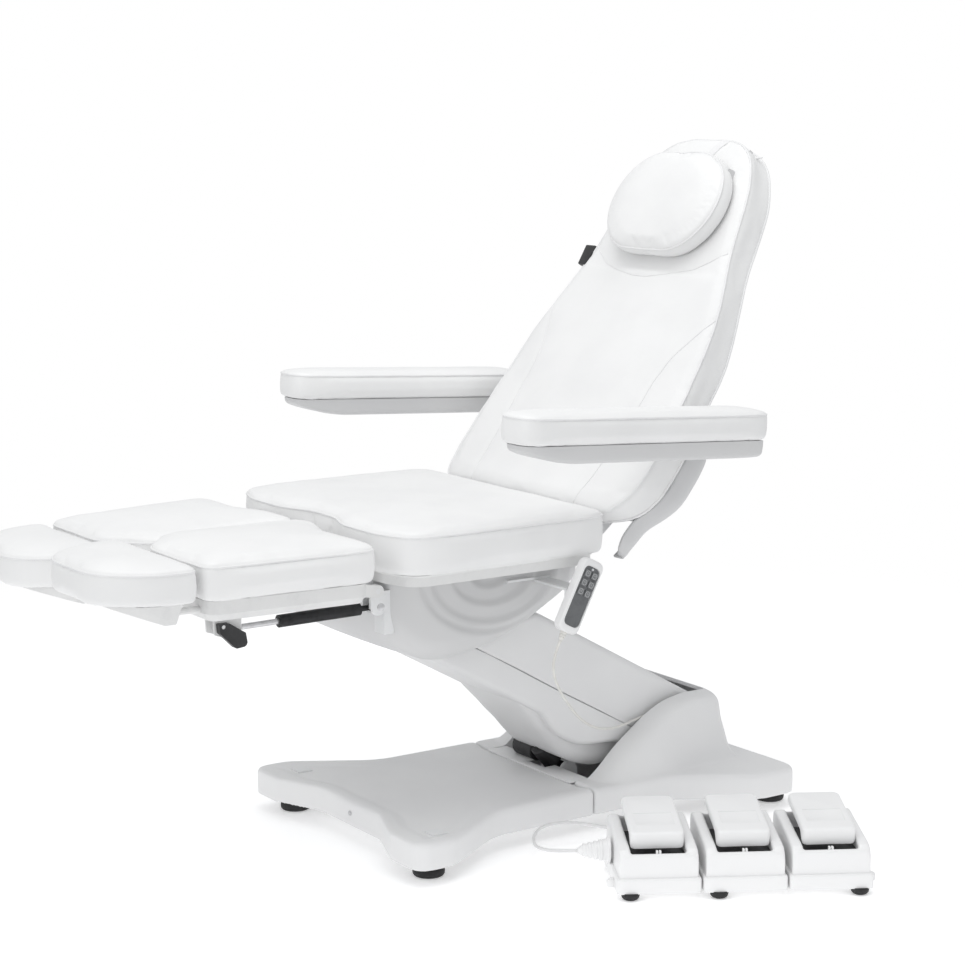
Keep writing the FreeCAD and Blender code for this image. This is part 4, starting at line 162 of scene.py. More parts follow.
class Graph:
    """The node tree of one finish."""

    def __init__(self, name: str) -> None:
        """Start an empty material of that name."""
        self.material = bpy.data.materials.new(name)
        self.material.use_nodes = True
        self.tree = self.material.node_tree
        self.tree.nodes.clear()

    def node(self, kind: str, settings: dict[str, object] | None = None,
             values: dict[object, object] | None = None, output: int | str = 0) -> Wire:
        """Add any node.

        Args:
            kind: The node's type.
            settings: Its settings, set before its sockets.
            values: Numbers, colours or wires for its sockets, by name or index.
            output: Which output the wire stands for.

        Returns:
            The chosen output.
        """
        made = self.tree.nodes.new(kind)
        for name, value in (settings or {}).items():
            setattr(made, name, value)
        for key, value in (values or {}).items():
            if isinstance(value, Wire):
                self.tree.links.new(value.socket, made.inputs[key])
            else:
                made.inputs[key].default_value = value
        return Wire(self, made.outputs[output])

    def place(self, scale: Point3 = (1, 1, 1)) -> Wire:
        """The point on the piece in its own frame, in metres, times a scale."""
        at = self.node("ShaderNodeTexCoord", output="Object")
        return self.node("ShaderNodeVectorMath", {"operation": "MULTIPLY"}, {0: at, 1: scale})

    def noise(self, at: Wire, scale: float, detail: float = 2.0, roughness: float = 0.5) -> Wire:
        """Soft noise from nought to one, whose lumps are about 1/scale metres across."""
        values = {"Vector": at, "Scale": scale, "Detail": detail, "Roughness": roughness}
        return self.node("ShaderNodeTexNoise", None, values)

    def blend(self, share: object, first: Colour, second: Colour) -> Wire:
        """A colour between two, by a share from nought to one."""
        settings = {"data_type": "RGBA"}
        return self.node("ShaderNodeMix", settings, {0: share, 6: (*first, 1), 7: (*second, 1)}, 2)

    def bump(self, height: Wire, distance: float, strength: float, below: Wire | None = None) -> Wire:
        """A normal from a height, on top of another normal if one is given."""
        values: dict[object, object] = {"Height": height, "Distance": distance, "Strength": strength}
        if below is not None:
            values["Normal"] = below
        return self.node("ShaderNodeBump", None, values)

    def finish(self, values: dict[object, object]) -> bpy.types.Material:
        """Close the tree with one principled shader.

        Args:
            values: Numbers, colours or wires for the shader's sockets.

        Returns:
            The material.
        """
        shader = self.node("ShaderNodeBsdfPrincipled", None, values)
        out = self.tree.nodes.new("ShaderNodeOutputMaterial")
        self.tree.links.new(shader.socket, out.inputs["Surface"])
        return self.material


class Finish:
    """A finish that makes its material once."""

    made: ClassVar[dict[str, bpy.types.Material]] = {}

    def material(self) -> bpy.types.Material:
        """The material of this finish."""
        key = repr(self)
        if key not in Finish.made:
            Finish.made[key] = self.build(Graph(type(self).__name__.lower()))
        return Finish.made[key]

    def build(self, graph: Graph) -> bpy.types.Material:
        """Fill the graph and return its material."""
        raise NotImplementedError


@dataclass(frozen=True)
class Vinyl(Finish):
    """Coated fabric of the upholstery: a fine pebble grain, soft gloss and slight unevenness."""

    light: Colour = (0.84, 0.84, 0.838)
    shade: Colour = (0.8, 0.8, 0.8)
    roughness: float = 0.42
    grain_scale: float = 620.0
    grain_depth: float = 0.00022

    def build(self, graph: Graph) -> bpy.types.Material:
        """Grain, creases and a faint change of colour."""
        at = graph.place()
        pebble = graph.node("ShaderNodeTexVoronoi", {"feature": "SMOOTH_F1"},
                            {"Vector": at, "Scale": self.grain_scale, "Smoothness": 0.6})
        fine = graph.noise(at, self.grain_scale * 1.7, 3.0)
        cloudy = graph.noise(at, 7.0, 3.0)
        crease = graph.noise(graph.place((1, 1, 1.8)), 26.0, 2.0)
        grain = graph.bump(pebble + fine * 0.5, self.grain_depth, 0.35)
        normal = graph.bump(crease, 0.0016, 0.18, grain)
        return graph.finish({
            "Base Color": graph.blend(cloudy.steps(0.3, 0.75), self.light, self.shade),
            "Roughness": self.roughness + cloudy * 0.08 + pebble * 0.05,
            "Coat Weight": 0.05 + cloudy * 0.04,
            "Coat Roughness": 0.35,
            "IOR": 1.48,
            "Normal": normal,
        })


@dataclass(frozen=True)
class Moulding(Finish):
    """Moulded or vacuum-formed plastic: eggshell texture and light scuffs."""

    light: Colour = (0.8, 0.8, 0.798)
    shade: Colour = (0.755, 0.757, 0.76)
    roughness: float = 0.4
    texture_scale: float = 1100.0
    texture_depth: float = 0.00008
    scuffs: float = 0.06

    def build(self, graph: Graph) -> bpy.types.Material:
        """Fine texture with long soft scuffs."""
        at = graph.place()
        skin = graph.noise(at, self.texture_scale, 2.0)
        cloudy = graph.noise(at, 4.0, 3.0)
        scuff = graph.noise(graph.place((1, 9, 3)), 12.0, 4.0, 0.7)
        worn = scuff.steps(0.58, 0.74)
        return graph.finish({
            "Base Color": graph.blend(cloudy.steps(0.3, 0.72), self.light, self.shade),
            "Roughness": self.roughness + worn * self.scuffs + skin * 0.06,
            "IOR": 1.46,
            "Normal": graph.bump(skin, self.texture_depth, 0.4, graph.bump(cloudy, 0.004, 0.06)),
        })


@dataclass(frozen=True)
class Coating(Finish):
    """A finish in two tones: a fine relief under marks that change the tone and dull the gloss."""

    clean: Colour
    marked: Colour
    roughness: float
    relief_scale: float
    relief_depth: float
    relief_strength: float = 0.5
    mark_scale: float = 35.0
    mark_detail: float = 5.0
    mark_roughness: float = 0.7
    mark_start: float = 0.4
    mark_full: float = 0.75
    dulling: float = 0.12

    def relief(self, graph: Graph, at: Wire) -> Wire:
        """The height of the fine relief."""
        return graph.noise(at, self.relief_scale)

    def build(self, graph: Graph) -> bpy.types.Material:
        """Fine relief and marks."""
        at = graph.place()
        marks = graph.noise(at, self.mark_scale, self.mark_detail, self.mark_roughness)
        return graph.finish({
            "Base Color": graph.blend(marks.steps(self.mark_start, self.mark_full), self.clean, self.marked),
            "Roughness": self.roughness + marks * self.dulling,
            "Normal": graph.bump(self.relief(graph, at), self.relief_depth, self.relief_strength),
        })


@dataclass(frozen=True)
class Enamel(Coating):
    """Powder coat on steel, with a little orange peel and faint handling marks."""

    clean: Colour = (0.78, 0.785, 0.79)
    marked: Colour = (0.72, 0.725, 0.73)
    roughness: float = 0.34
    relief_scale: float = 420.0
    relief_depth: float = 0.00012
    mark_scale: float = 18.0
    mark_start: float = 0.45


@dataclass(frozen=True)
class Rubber(Coating):
    """Black rubber or soft plastic, dulled and lightened by dust."""

    clean: Colour = (0.012, 0.012, 0.013)
    marked: Colour = (0.03, 0.03, 0.031)
    roughness: float = 0.55
    relief_scale: float = 800.0
    relief_depth: float = 0.00012
    mark_full: float = 0.7
    dulling: float = 0.2


@dataclass(frozen=True)
class KeyFilm(Coating):
    """Printed film of the keypad: satin grey with fine embossing and finger marks."""

    clean: Colour = (0.13, 0.135, 0.14)
    marked: Colour = (0.1, 0.105, 0.11)
    roughness: float = 0.38
    relief_scale: float = 1800.0
    relief_depth: float = 0.00005
    mark_scale: float = 70.0
    mark_detail: float = 4.0
    mark_roughness: float = 0.6
    dulling: float = 0.16

    def relief(self, graph: Graph, at: Wire) -> Wire:
        """The height of the embossing's small cells."""
        return graph.node("ShaderNodeTexVoronoi", None, {"Vector": at, "Scale": self.relief_scale})


@dataclass(frozen=True)
class Jacket(Coating):
    """Soft plastic of a cable's jacket, with a slight grey cast in places."""

    clean: Colour = (0.74, 0.73, 0.7)
    marked: Colour = (0.66, 0.65, 0.62)
    roughness: float = 0.42
    relief_scale: float = 900.0
    relief_depth: float = 0.00006
    relief_strength: float = 0.4
    mark_scale: float = 30.0
    mark_detail: float = 3.0
    mark_roughness: float = 0.5
    mark_start: float = 0.35
    mark_full: float = 0.7


@dataclass(frozen=True)
class Metal(Finish):
    """Bare or plated metal with fine lines along its length."""

    light: Colour = (0.62, 0.62, 0.63)
    shade: Colour = (0.42, 0.42, 0.43)
    roughness: float = 0.26
    lines: Point3 = (900, 14, 900)

    def build(self, graph: Graph) -> bpy.types.Material:
        """Drawn lines and light tarnish."""
        drawn = graph.noise(graph.place(self.lines), 1.0, 2.0)
        tarnish = graph.noise(graph.place(), 60.0, 4.0, 0.65)
        return graph.finish({
            "Base Color": graph.blend(tarnish.steps(0.42, 0.8), self.light, self.shade),
            "Metallic": 1.0,
            "Roughness": self.roughness + tarnish * 0.12 + drawn * 0.05,
            "Normal": graph.bump(drawn, 0.00004, 0.4),
        })


@dataclass(frozen=True)
class Studio(Finish):
    """Floor that keeps the chair's shadow and shows white to the camera where nothing shades it."""

    colour: Colour = (0.93, 0.93, 0.935)
    glow: float = 0.34
    near: float = 1.3
    far: float = 2.5

    def build(self, graph: Graph) -> bpy.types.Material:
        """A plain pale floor that fades out with distance."""
        at = graph.place()
        away = graph.node("ShaderNodeVectorMath", {"operation": "LENGTH"}, {0: at}, "Value")
        return graph.finish({
            "Base Color": (*self.colour, 1.0),
            "Roughness": 0.85,
            "Specular IOR Level": 0.1,
            "Emission Color": (1.0, 1.0, 1.0, 1.0),
            "Emission Strength": self.glow,
            "Alpha": 1.0 - away.steps(self.near, self.far),
        })


UPHOLSTERY = Vinyl()
PIPING_VINYL = Vinyl(light=(0.82, 0.82, 0.82), shade=(0.77, 0.77, 0.775), grain_scale=900.0)
COVER = Moulding(light=(0.8, 0.8, 0.8), shade=(0.76, 0.76, 0.765))
# A darker copy of the white cover plastic: painted shade for the mouldings that lie in shadow, the seat bowl,
# the back moulding and the armrest trays.
PAINTED_SHADE_COVER = Moulding(light=(0.64, 0.64, 0.642), shade=(0.6, 0.6, 0.606), roughness=0.46)
PEDAL_PLASTIC = Moulding(light=(0.88, 0.88, 0.88), shade=(0.86, 0.86, 0.862), roughness=0.3)
WHITE_STEEL = Enamel()
BOARD = Enamel(clean=(0.76, 0.76, 0.755), marked=(0.7, 0.7, 0.7), roughness=0.5)
DARK_STEEL = Enamel(clean=(0.05, 0.05, 0.052), marked=(0.03, 0.03, 0.032), roughness=0.45)
STEEL = Metal()
BLACK_STEEL = Metal(light=(0.05, 0.05, 0.052), shade=(0.03, 0.03, 0.03), roughness=0.38)
RUBBER = Rubber()
BLACK_PLASTIC = Rubber(clean=(0.015, 0.015, 0.016), marked=(0.028, 0.028, 0.03), roughness=0.36)
KEYPAD = KeyFilm()
KEY_TOP = KeyFilm(clean=(0.2, 0.205, 0.21), marked=(0.17, 0.175, 0.18), roughness=0.34)
KEY_MARK = Moulding(light=(0.62, 0.63, 0.64), shade=(0.56, 0.57, 0.58))
HANDSET_WHITE = Moulding(light=(0.83, 0.83, 0.83), shade=(0.8, 0.8, 0.802), roughness=0.3)
BEIGE_CABLE = Jacket()
WHITE_CABLE = Jacket(clean=(0.8, 0.8, 0.8), marked=(0.74, 0.74, 0.745))

NODE_FINISHES: dict[str, Finish] = {
    "upholstery": UPHOLSTERY, "white_board": BOARD, "cover_plastic": COVER, "dark_steel": DARK_STEEL,
    "white_steel": WHITE_STEEL, "foot_rubber": RUBBER, "black_plastic": BLACK_PLASTIC, "rod_steel": STEEL,
    "black_steel": BLACK_STEEL, "handset_white": HANDSET_WHITE, "keypad_grey": KEYPAD,
    "beige_cable": BEIGE_CABLE, "white_cable": WHITE_CABLE, "pedal_plastic": PEDAL_PLASTIC,
}
SLOTS: dict[Finish, str] = {finish: slot for slot, finish in NODE_FINISHES.items()}
SLOTS |= {PIPING_VINYL: "upholstery", PAINTED_SHADE_COVER: "cover_plastic", KEY_MARK: "keypad_grey"}


# ---- outlines, curves and surfaces


def eased(share: float) -> float:
    """A smooth step from 0 to 1 for a share, which is held within those."""
    share = min(max(share, 0.0), 1.0)
    return share * share * (3 - 2 * share)


def rounding(*degrees: float) -> list[Point2]:
    """How far a rounded edge has turned in and up at each angle, as shares of its size."""
    return [(1 - math.cos(math.radians(angle)), math.sin(math.radians(angle))) for angle in degrees]


def circle(radius: float, sides: int) -> list[Point2]:
    """Points of a circle about nought."""
    return [(radius * math.cos(math.tau * k / sides), radius * math.sin(math.tau * k / sides))
            for k in range(sides)]


def smoothed(table: Sequence[Sequence[float]], at: float) -> list[float]:
    """Read a table of rows by its first column, with a smooth curve through its rows.

    Args:
        table: Rows in rising order of their first number.
        at: The place to read.

    Returns:
        The other columns there.
    """
    if at <= table[0][0]:
        return list(table[0][1:])
    if at >= table[-1][0]:
        return list(table[-1][1:])
    i = max(k for k in range(len(table) - 1) if table[k][0] <= at)
    before, low, high = table[max(i - 1, 0)], table[i], table[i + 1]
    after = table[min(i + 2, len(table) - 1)]
    span = high[0] - low[0]
    t = (at - low[0]) / span
    values = []
    for k in range(1, len(low)):
        middle = (high[k] - low[k]) / span
        first = (low[k] - before[k]) / (low[0] - before[0]) if low[0] > before[0] else middle
        last = (after[k] - high[k]) / (after[0] - high[0]) if after[0] > high[0] else middle
        start = 0.0 if first * middle <= 0 else 2 * first * middle / (first + middle)
        end = 0.0 if last * middle <= 0 else 2 * last * middle / (last + middle)
        a = (1 + 2 * t) * (1 - t) ** 2 * low[k] + t * (1 - t) ** 2 * span * start
        b = t * t * (3 - 2 * t) * high[k] + t * t * (t - 1) * span * end
        values.append(a + b)
    return values


CORNER_STEPS = 12


@dataclass(frozen=True)
class Outline:
    """A closed outline of straight runs and rounded corners."""

    corners: Line
    radii: tuple[float, ...]
    softness: int = 0

    def on_side(self, sign: int) -> "Outline":
        """This outline for the left, or its mirror image for the right."""
        if sign > 0:
            return self
        return Outline(tuple((-x, y) for x, y in reversed(self.corners)), tuple(reversed(self.radii)))

    def points(self, spacing: float) -> list[Vector]:
        """Points along the outline at an even spacing."""
        raw: list[Vector] = []
        count = len(self.corners)
        for i, (corner, radius) in enumerate(zip(self.corners, self.radii)):
            here = Vector(corner)
            before = Vector(self.corners[i - 1])
            after = Vector(self.corners[(i + 1) % count])
            into = (here - before).normalized()
            out = (after - here).normalized()
            turn = into.angle(out, 0.0)
            if turn < 1e-3:
                raw.append(here)
                continue
            limit = min((here - before).length, (after - here).length) * 0.48
            reach = min(radius * math.tan(turn / 2), limit)
            first = here - into * reach
            last = here + out * reach
            for step in range(CORNER_STEPS + 1):
                t = step / CORNER_STEPS
                raw.append(first * (1 - t) ** 2 + here * (2 * t * (1 - t)) + last * t * t)
        points = resampled(raw, spacing)
        for _ in range(self.softness):
            following = points[1:] + points[:1]
            points = [here * 0.5 + (points[i - 1] + following[i]) * 0.25 for i, here in enumerate(points)]
        return points


def resampled(raw: Sequence[Vector], spacing: float, closed: bool = True, count: int = 0) -> list[Vector]:
    """Points at an even spacing along a chain of points, or a given count of them."""
    chain = list(raw) + ([raw[0]] if closed else [])
    lengths = [0.0]
    for first, second in zip(chain, chain[1:]):
        lengths.append(lengths[-1] + (second - first).length)
    count = count or max(8, round(lengths[-1] / spacing))
    result = []
    k = 0
    for i in range(count if closed else count + 1):
        at = lengths[-1] * i / count
        while k < len(chain) - 2 and lengths[k + 1] < at:
            k += 1
        span = lengths[k + 1] - lengths[k]
        share = (at - lengths[k]) / span if span > 0 else 0.0
        result.append(chain[k].lerp(chain[k + 1], share))
    return result


@dataclass(frozen=True)
class Spine:
    """The line towards which a pad's rings close."""

    start: Point2
    end: Point2

    def nearest(self, point: Vector) -> Vector:
        """The spine's nearest point."""
        a, b = Vector(self.start), Vector(self.end)
        run = b - a
        share = (point - a).dot(run) / max(run.length_squared, 1e-12)
        return a + run * min(max(share, 0.0), 1.0)

    def inset(self, point: Vector, distance: float) -> Vector:
        """A point moved towards the spine."""
        way = self.nearest(point) - point
        return point + way.normalized() * min(distance, way.length) if way.length > 1e-9 else point.copy()


def into_scene(name: str, data: bpy.types.ID) -> Piece:
    """Make an object of some data and link it into the scene."""
    made = bpy.data.objects.new(name, data)
    bpy.context.scene.collection.objects.link(made)
    return made


def skin_tree(piece: Piece) -> BVHTree:
    """A search tree of a piece's faces."""
    data = piece.data
    return BVHTree.FromPolygons([v.co for v in data.vertices], [p.vertices[:] for p in data.polygons])


def box_outline(right: float, left: float, low: float, high: float, *radii: float) -> Outline:
    """A rectangle from its right edge on, with one radius for all its corners or one for each."""
    corners = ((right, low), (right, high), (left, high), (left, low))
    return Outline(corners, radii if len(radii) > 1 else radii * 4)


class Surface:
    """Points and faces of one piece, gathered in its own frame before it becomes an object."""

    def __init__(self, place: Matrix | None = None) -> None:
        """Start an empty surface whose points are set in the row frame by a placement."""
        self.place = place or Matrix.Identity(4)
        self.mesh = bmesh.new()

    def ring(self, points: Iterable[Sequence[float]]) -> list[bmesh.types.BMVert]:
        """Add points of one ring."""
        return [self.mesh.verts.new(self.place @ Vector(point)) for point in points]

    def bridge(self, first: Ring, second: Ring,
               closed: bool = True) -> None:
        """Join two rings of as many points with faces."""
        count = len(first)
        for i in range(count if closed else count - 1):
            k = (i + 1) % count
            self.mesh.faces.new((first[i], first[k], second[k], second[i]))

    def cap(self, ring: Ring) -> None:
        """Close a ring with one face."""
        self.mesh.faces.new(ring)

    def loft(self, rings: Sequence[Iterable[Sequence[float]]], closed: bool = True,
             caps: tuple[int, ...] = (0, -1)) -> None:
        """Join rings of points one after another.

        Args:
            rings: The rings, each of as many points.
            closed: Whether each ring's end meets its start.
            caps: Which rings are closed with a face.
        """
        made = [self.ring(ring) for ring in rings]
        for first, second in zip(made, made[1:]):
            self.bridge(first, second, closed)
        for which in caps:
            self.cap(made[which])

    def tube(self, path: Sequence[Vector], radius: float | Callable[[float], float], closed: bool = False,
             sides: int = 10) -> None:
        """Add a round tube along points.

        Args:
            path: Points in the piece's own frame.
            radius: Its radius, or a function of the share along the path that gives it.
            closed: Whether its end meets its start.
            sides: Points round it.
        """
        points = [Vector(p) for p in path]
        count = len(points)
        rings = []
        across: Vector | None = None
        for i, point in enumerate(points):
            before = points[i - 1] if closed or i > 0 else point
            after = points[(i + 1) % count] if closed or i < count - 1 else point
            along = (after - before).normalized()
            if across is None:
                across = along.orthogonal().normalized()
            across = (across - along * across.dot(along)).normalized()
            other = along.cross(across)
            size = radius(i / max(count - 1, 1)) if callable(radius) else radius
            rings.append(self.ring(point + (across * c + other * s) * size for c, s in circle(1.0, sides)))
        for first, second in zip(rings, rings[1:]):
            self.bridge(first, second)
        if closed:
            self._close_tube(rings[-1], rings[0])
        else:
            self.cap(rings[0])
            self.cap(rings[-1])

    def _close_tube(self, last: Ring, first: Ring) -> None:
        """Join a closed tube's last ring to its first where their points lie nearest."""
        count = len(last)
        shift = min(range(count), key=lambda s: sum((last[i].co - first[(i + s) % count].co).length
                                                    for i in range(0, count, 3)))
        self.bridge(last, [first[(i + shift) % count] for i in range(count)])

    def block(self, low: Point3, high: Point3, edge: float, steps: int = 2) -> None:
        """Add a block with rounded edges."""
        made = bmesh.ops.create_cube(self.mesh, size=1.0)
        centre = (Vector(low) + Vector(high)) / 2
        size = Vector(high) - Vector(low)
        for vert in made["verts"]:
            vert.co = Vector(a * b for a, b in zip(vert.co, size)) + centre
        edges = list({e for vert in made["verts"] for e in vert.link_edges})
        done = bmesh.ops.bevel(self.mesh, geom=edges, offset=edge, segments=steps, profile=0.5,
                               affect="EDGES", clamp_overlap=True)
        moved = {vert for face in done["faces"] for vert in face.verts}
        moved |= {vert for vert in made["verts"] if vert.is_valid}
        bmesh.ops.transform(self.mesh, matrix=self.place, verts=list(moved))

    def lathe(self, profile: Sequence[Point2], centre: Sequence[float], axis: Sequence[float],
              sides: int = 28) -> None:
        """Add a turned form.

        Args:
            profile: Pairs of place along the axis and radius; it is closed at both ends.
            centre: The axis's start, in the piece's own frame.
            axis: Its direction.
            sides: Points round it.
        """
        along = Vector(axis).normalized()
        across = along.orthogonal().normalized()
        other = along.cross(across)
        self.loft([[Vector(centre) + along * place + (across * c + other * s) * max(radius, 1e-5)
                    for c, s in circle(1.0, sides)] for place, radius in profile])

    def build(self, name: str, finish: Finish, shading: Shading = Shading.MOULDED,
              slotted: bool = True) -> Piece:
        """Turn the surface into an object.

        Args:
            name: The piece's name.
            finish: Its finish.
            shading: How its edges are shaded.
            slotted: Not used.

        Returns:
            The object, linked into the scene.
        """
        bmesh.ops.remove_doubles(self.mesh, verts=self.mesh.verts[:], dist=1e-6)
        bmesh.ops.recalc_face_normals(self.mesh, faces=self.mesh.faces[:])
        data = bpy.data.meshes.new(name)
        self.mesh.to_mesh(data)
        self.mesh.free()
        made = into_scene(name, data)
        data.materials.append(finish.material())
        shade(made, shading)
        return made

    def cutter(self) -> Piece:
        """Turn the surface into a tool for carving."""
        return self.build("cutter", COVER, slotted=False)


def shade(piece: Piece, shading: Shading = Shading.MOULDED) -> None:
    """Shade a piece smooth but for its sharp edges."""
    piece.data.shade_smooth()
    if shading is not Shading.SOFT:
        piece.data.set_sharp_from_angle(angle=math.radians(shading.value))


def settle(piece: Piece) -> None:
    """Put a piece's modifiers into its mesh."""
    graph = bpy.context.evaluated_depsgraph_get()
    data = bpy.data.meshes.new_from_object(piece.evaluated_get(graph))
    old = piece.data
    piece.modifiers.clear()
    piece.data = data
    bpy.data.meshes.remove(old)
    piece.data.name = piece.name


def reskin(piece: Piece, voxel: float, rounds: int) -> None:
    """Give a closed piece an even skin and ease its edges."""
    remesh = piece.modifiers.new("skin", "REMESH")
    remesh.mode = "VOXEL"
    remesh.voxel_size = voxel
    remesh.adaptivity = 0.0
    ease = piece.modifiers.new("ease", "SMOOTH")
    ease.factor = 0.5
    ease.iterations = rounds
    settle(piece)
    piece.data.shade_smooth()


def face_outwards(piece: Piece, middle: Vector) -> None:
    """Turn a skin's faces away from a point inside it."""
    mesh = bmesh.new()
    mesh.from_mesh(piece.data)
    leaning = sum(face.normal.dot(face.calc_center_median() - middle) for face in mesh.faces)
    if leaning < 0:
        bmesh.ops.reverse_faces(mesh, faces=mesh.faces[:])
    mesh.to_mesh(piece.data)
    mesh.free()


def thicken(piece: Piece, wall: float) -> None:
    """Give an open skin a wall on its inner side."""
    wall_maker = piece.modifiers.new("wall", "SOLIDIFY")
    wall_maker.thickness = wall
    wall_maker.offset = -1.0
    wall_maker.use_even_offset = True
    settle(piece)


def carve(piece: Piece, cutters: Sequence[Piece]) -> None:
    """Take cutters out of a piece, and delete them."""
    for cutter in cutters:
        cut = piece.modifiers.new("cut", "BOOLEAN")
        cut.operation = "DIFFERENCE"
        cut.solver = "MANIFOLD"
        cut.object = cutter
        settle(piece)
    for cutter in cutters:
        data = cutter.data
        bpy.data.objects.remove(cutter)
        bpy.data.meshes.remove(data)


def mount(piece: Piece, body: str, *nodes: str) -> Piece:
    """Set a piece on its body, in place of the nodes it stands for, and report it."""
    if nodes:
        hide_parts(*nodes)
    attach(piece, body)
    LOG.info("%s on %s: %d points", piece.name, body, len(piece.data.vertices) if piece.type == "MESH" else 0)
    return piece


# ---- where the assemblies sit


ACROSS = (1, 0, 0)
FORWARD = (0, -1, 0)
UP = (0, 0, 1)


def tipped(y: float, z: float, degrees: float) -> Matrix:
    """A frame turned about X at a point of the chair's middle plane."""
    return Matrix.Translation((0, y, z)) @ Matrix.Rotation(math.radians(degrees), 4, "X")


BACK_FRAME = tipped(0.0, 0.545, 60.0)
ARM_FRAME = tipped(0.24, 0.16, -27.1)
ARMREST_FRAME = tipped(0.18043, 0.72951, -5.2)
HANDSET_FRAME = tipped(-0.133, 0.487, -27.5)
PEDAL_FRAME = Matrix.Translation((0.566, 0.031, 0)) @ Matrix.Rotation(math.radians(60), 4, "Z")
LEG_FRAMES = {Side.LEFT: tipped(-0.478, 0.516, -0.8), Side.RIGHT: tipped(-0.478, 0.516, 1.7)}


# ---- padding


def laid_on(piece: Piece, path: Sequence[Vector], lift: float, closed: bool = True) -> list[Vector]:
    """Lay a path of points on a piece's surface.

    Args:
        piece: The piece, not yet moved from the row frame.
        path: Points near its surface, in the row frame.
        lift: How far the path then stands off the surface.
        closed: Whether the path's end meets its start.

    Returns:
        The laid points, eased along the path.
    """
    tree = skin_tree(piece)
    laid = []
    for point in path:
        spot, normal, _, _ = tree.find_nearest(point)
        laid.append(spot + normal * lift)
    for _ in range(2):
        count = len(laid)
        span = range(count) if closed else range(1, count - 1)
        eased_points = list(laid)
        for i in span:
            eased_points[i] = laid[i] * 0.5 + (laid[i - 1] + laid[(i + 1) % count]) * 0.25
        laid = eased_points
    return laid


def unsettle(piece: Piece, depth: float, lumps: float, offset: float) -> None:
    """Give a piece the slight unevenness of stretched fabric, with lumps about 1/lumps metres across."""
    shift = Vector((offset, offset * 0.37, -offset))
    normals = [v.normal.copy() for v in piece.data.vertices]
    for vertex, normal in zip(piece.data.vertices, normals):
        broad = noise.noise(vertex.co * lumps + shift)
        fine = noise.noise(vertex.co * lumps * 3.3 - shift)
        vertex.co += normal * depth * (broad + fine * 0.35)


def press_line(piece: Piece, path: Sequence[Vector], depth: float, reach: float) -> None:
    """Sink a sewn line into a piece.

    Args:
        piece: The piece.
        path: Points of the line, in the row frame.
        depth: How deep the line lies.
        reach: How far to each side the fabric is drawn down.
    """
    chain = [Vector(p) for p in path]
    low = Vector(min(p[k] for p in chain) - reach * 3 for k in range(3))
    high = Vector(max(p[k] for p in chain) + reach * 3 for k in range(3))
    for vertex in piece.data.vertices:
        here = vertex.co
        if any(here[k] < low[k] or here[k] > high[k] for k in range(3)):
            continue
        away = min(_from_run(here, a, b) for a, b in zip(chain, chain[1:]))
        if away < reach * 3:
            vertex.co = here - vertex.normal * depth * math.exp(-((away / reach) ** 2))


def _from_run(point: Vector, start: Vector, end: Vector) -> float:
    """How far a point lies from a straight run."""
    run = end - start
    share = min(max((point - start).dot(run) / max(run.length_squared, 1e-12), 0.0), 1.0)
    return (point - start - run * share).length


FILL_FRAMES = 16


def fill_with_air(piece: Piece, pressure: float, cap: float) -> None:
    """Swell a closed pad as cloth over its filling, and put the result into its mesh.

    Args:
        piece: The pad.
        pressure: The filling's pressure.
        cap: The furthest that any point may move.
    """
    scene = bpy.context.scene
    rest = [v.co.copy() for v in piece.data.vertices]
    cloth = piece.modifiers.new("filling", "CLOTH")
    cloth.settings.use_pressure = True
    cloth.settings.uniform_pressure_force = pressure
    cloth.settings.effector_weights.gravity = 0.0
    cloth.settings.quality = 3
    cloth.point_cache.frame_start = 1
    cloth.point_cache.frame_end = FILL_FRAMES
    for frame in range(1, FILL_FRAMES + 1):
        scene.frame_set(frame)
    settle(piece)
    scene.frame_set(1)
    for vertex, start in zip(piece.data.vertices, rest):
        move = vertex.co - start
        if move.length > cap:
            vertex.co = start + move.normalized() * cap
    piece.data.shade_smooth()


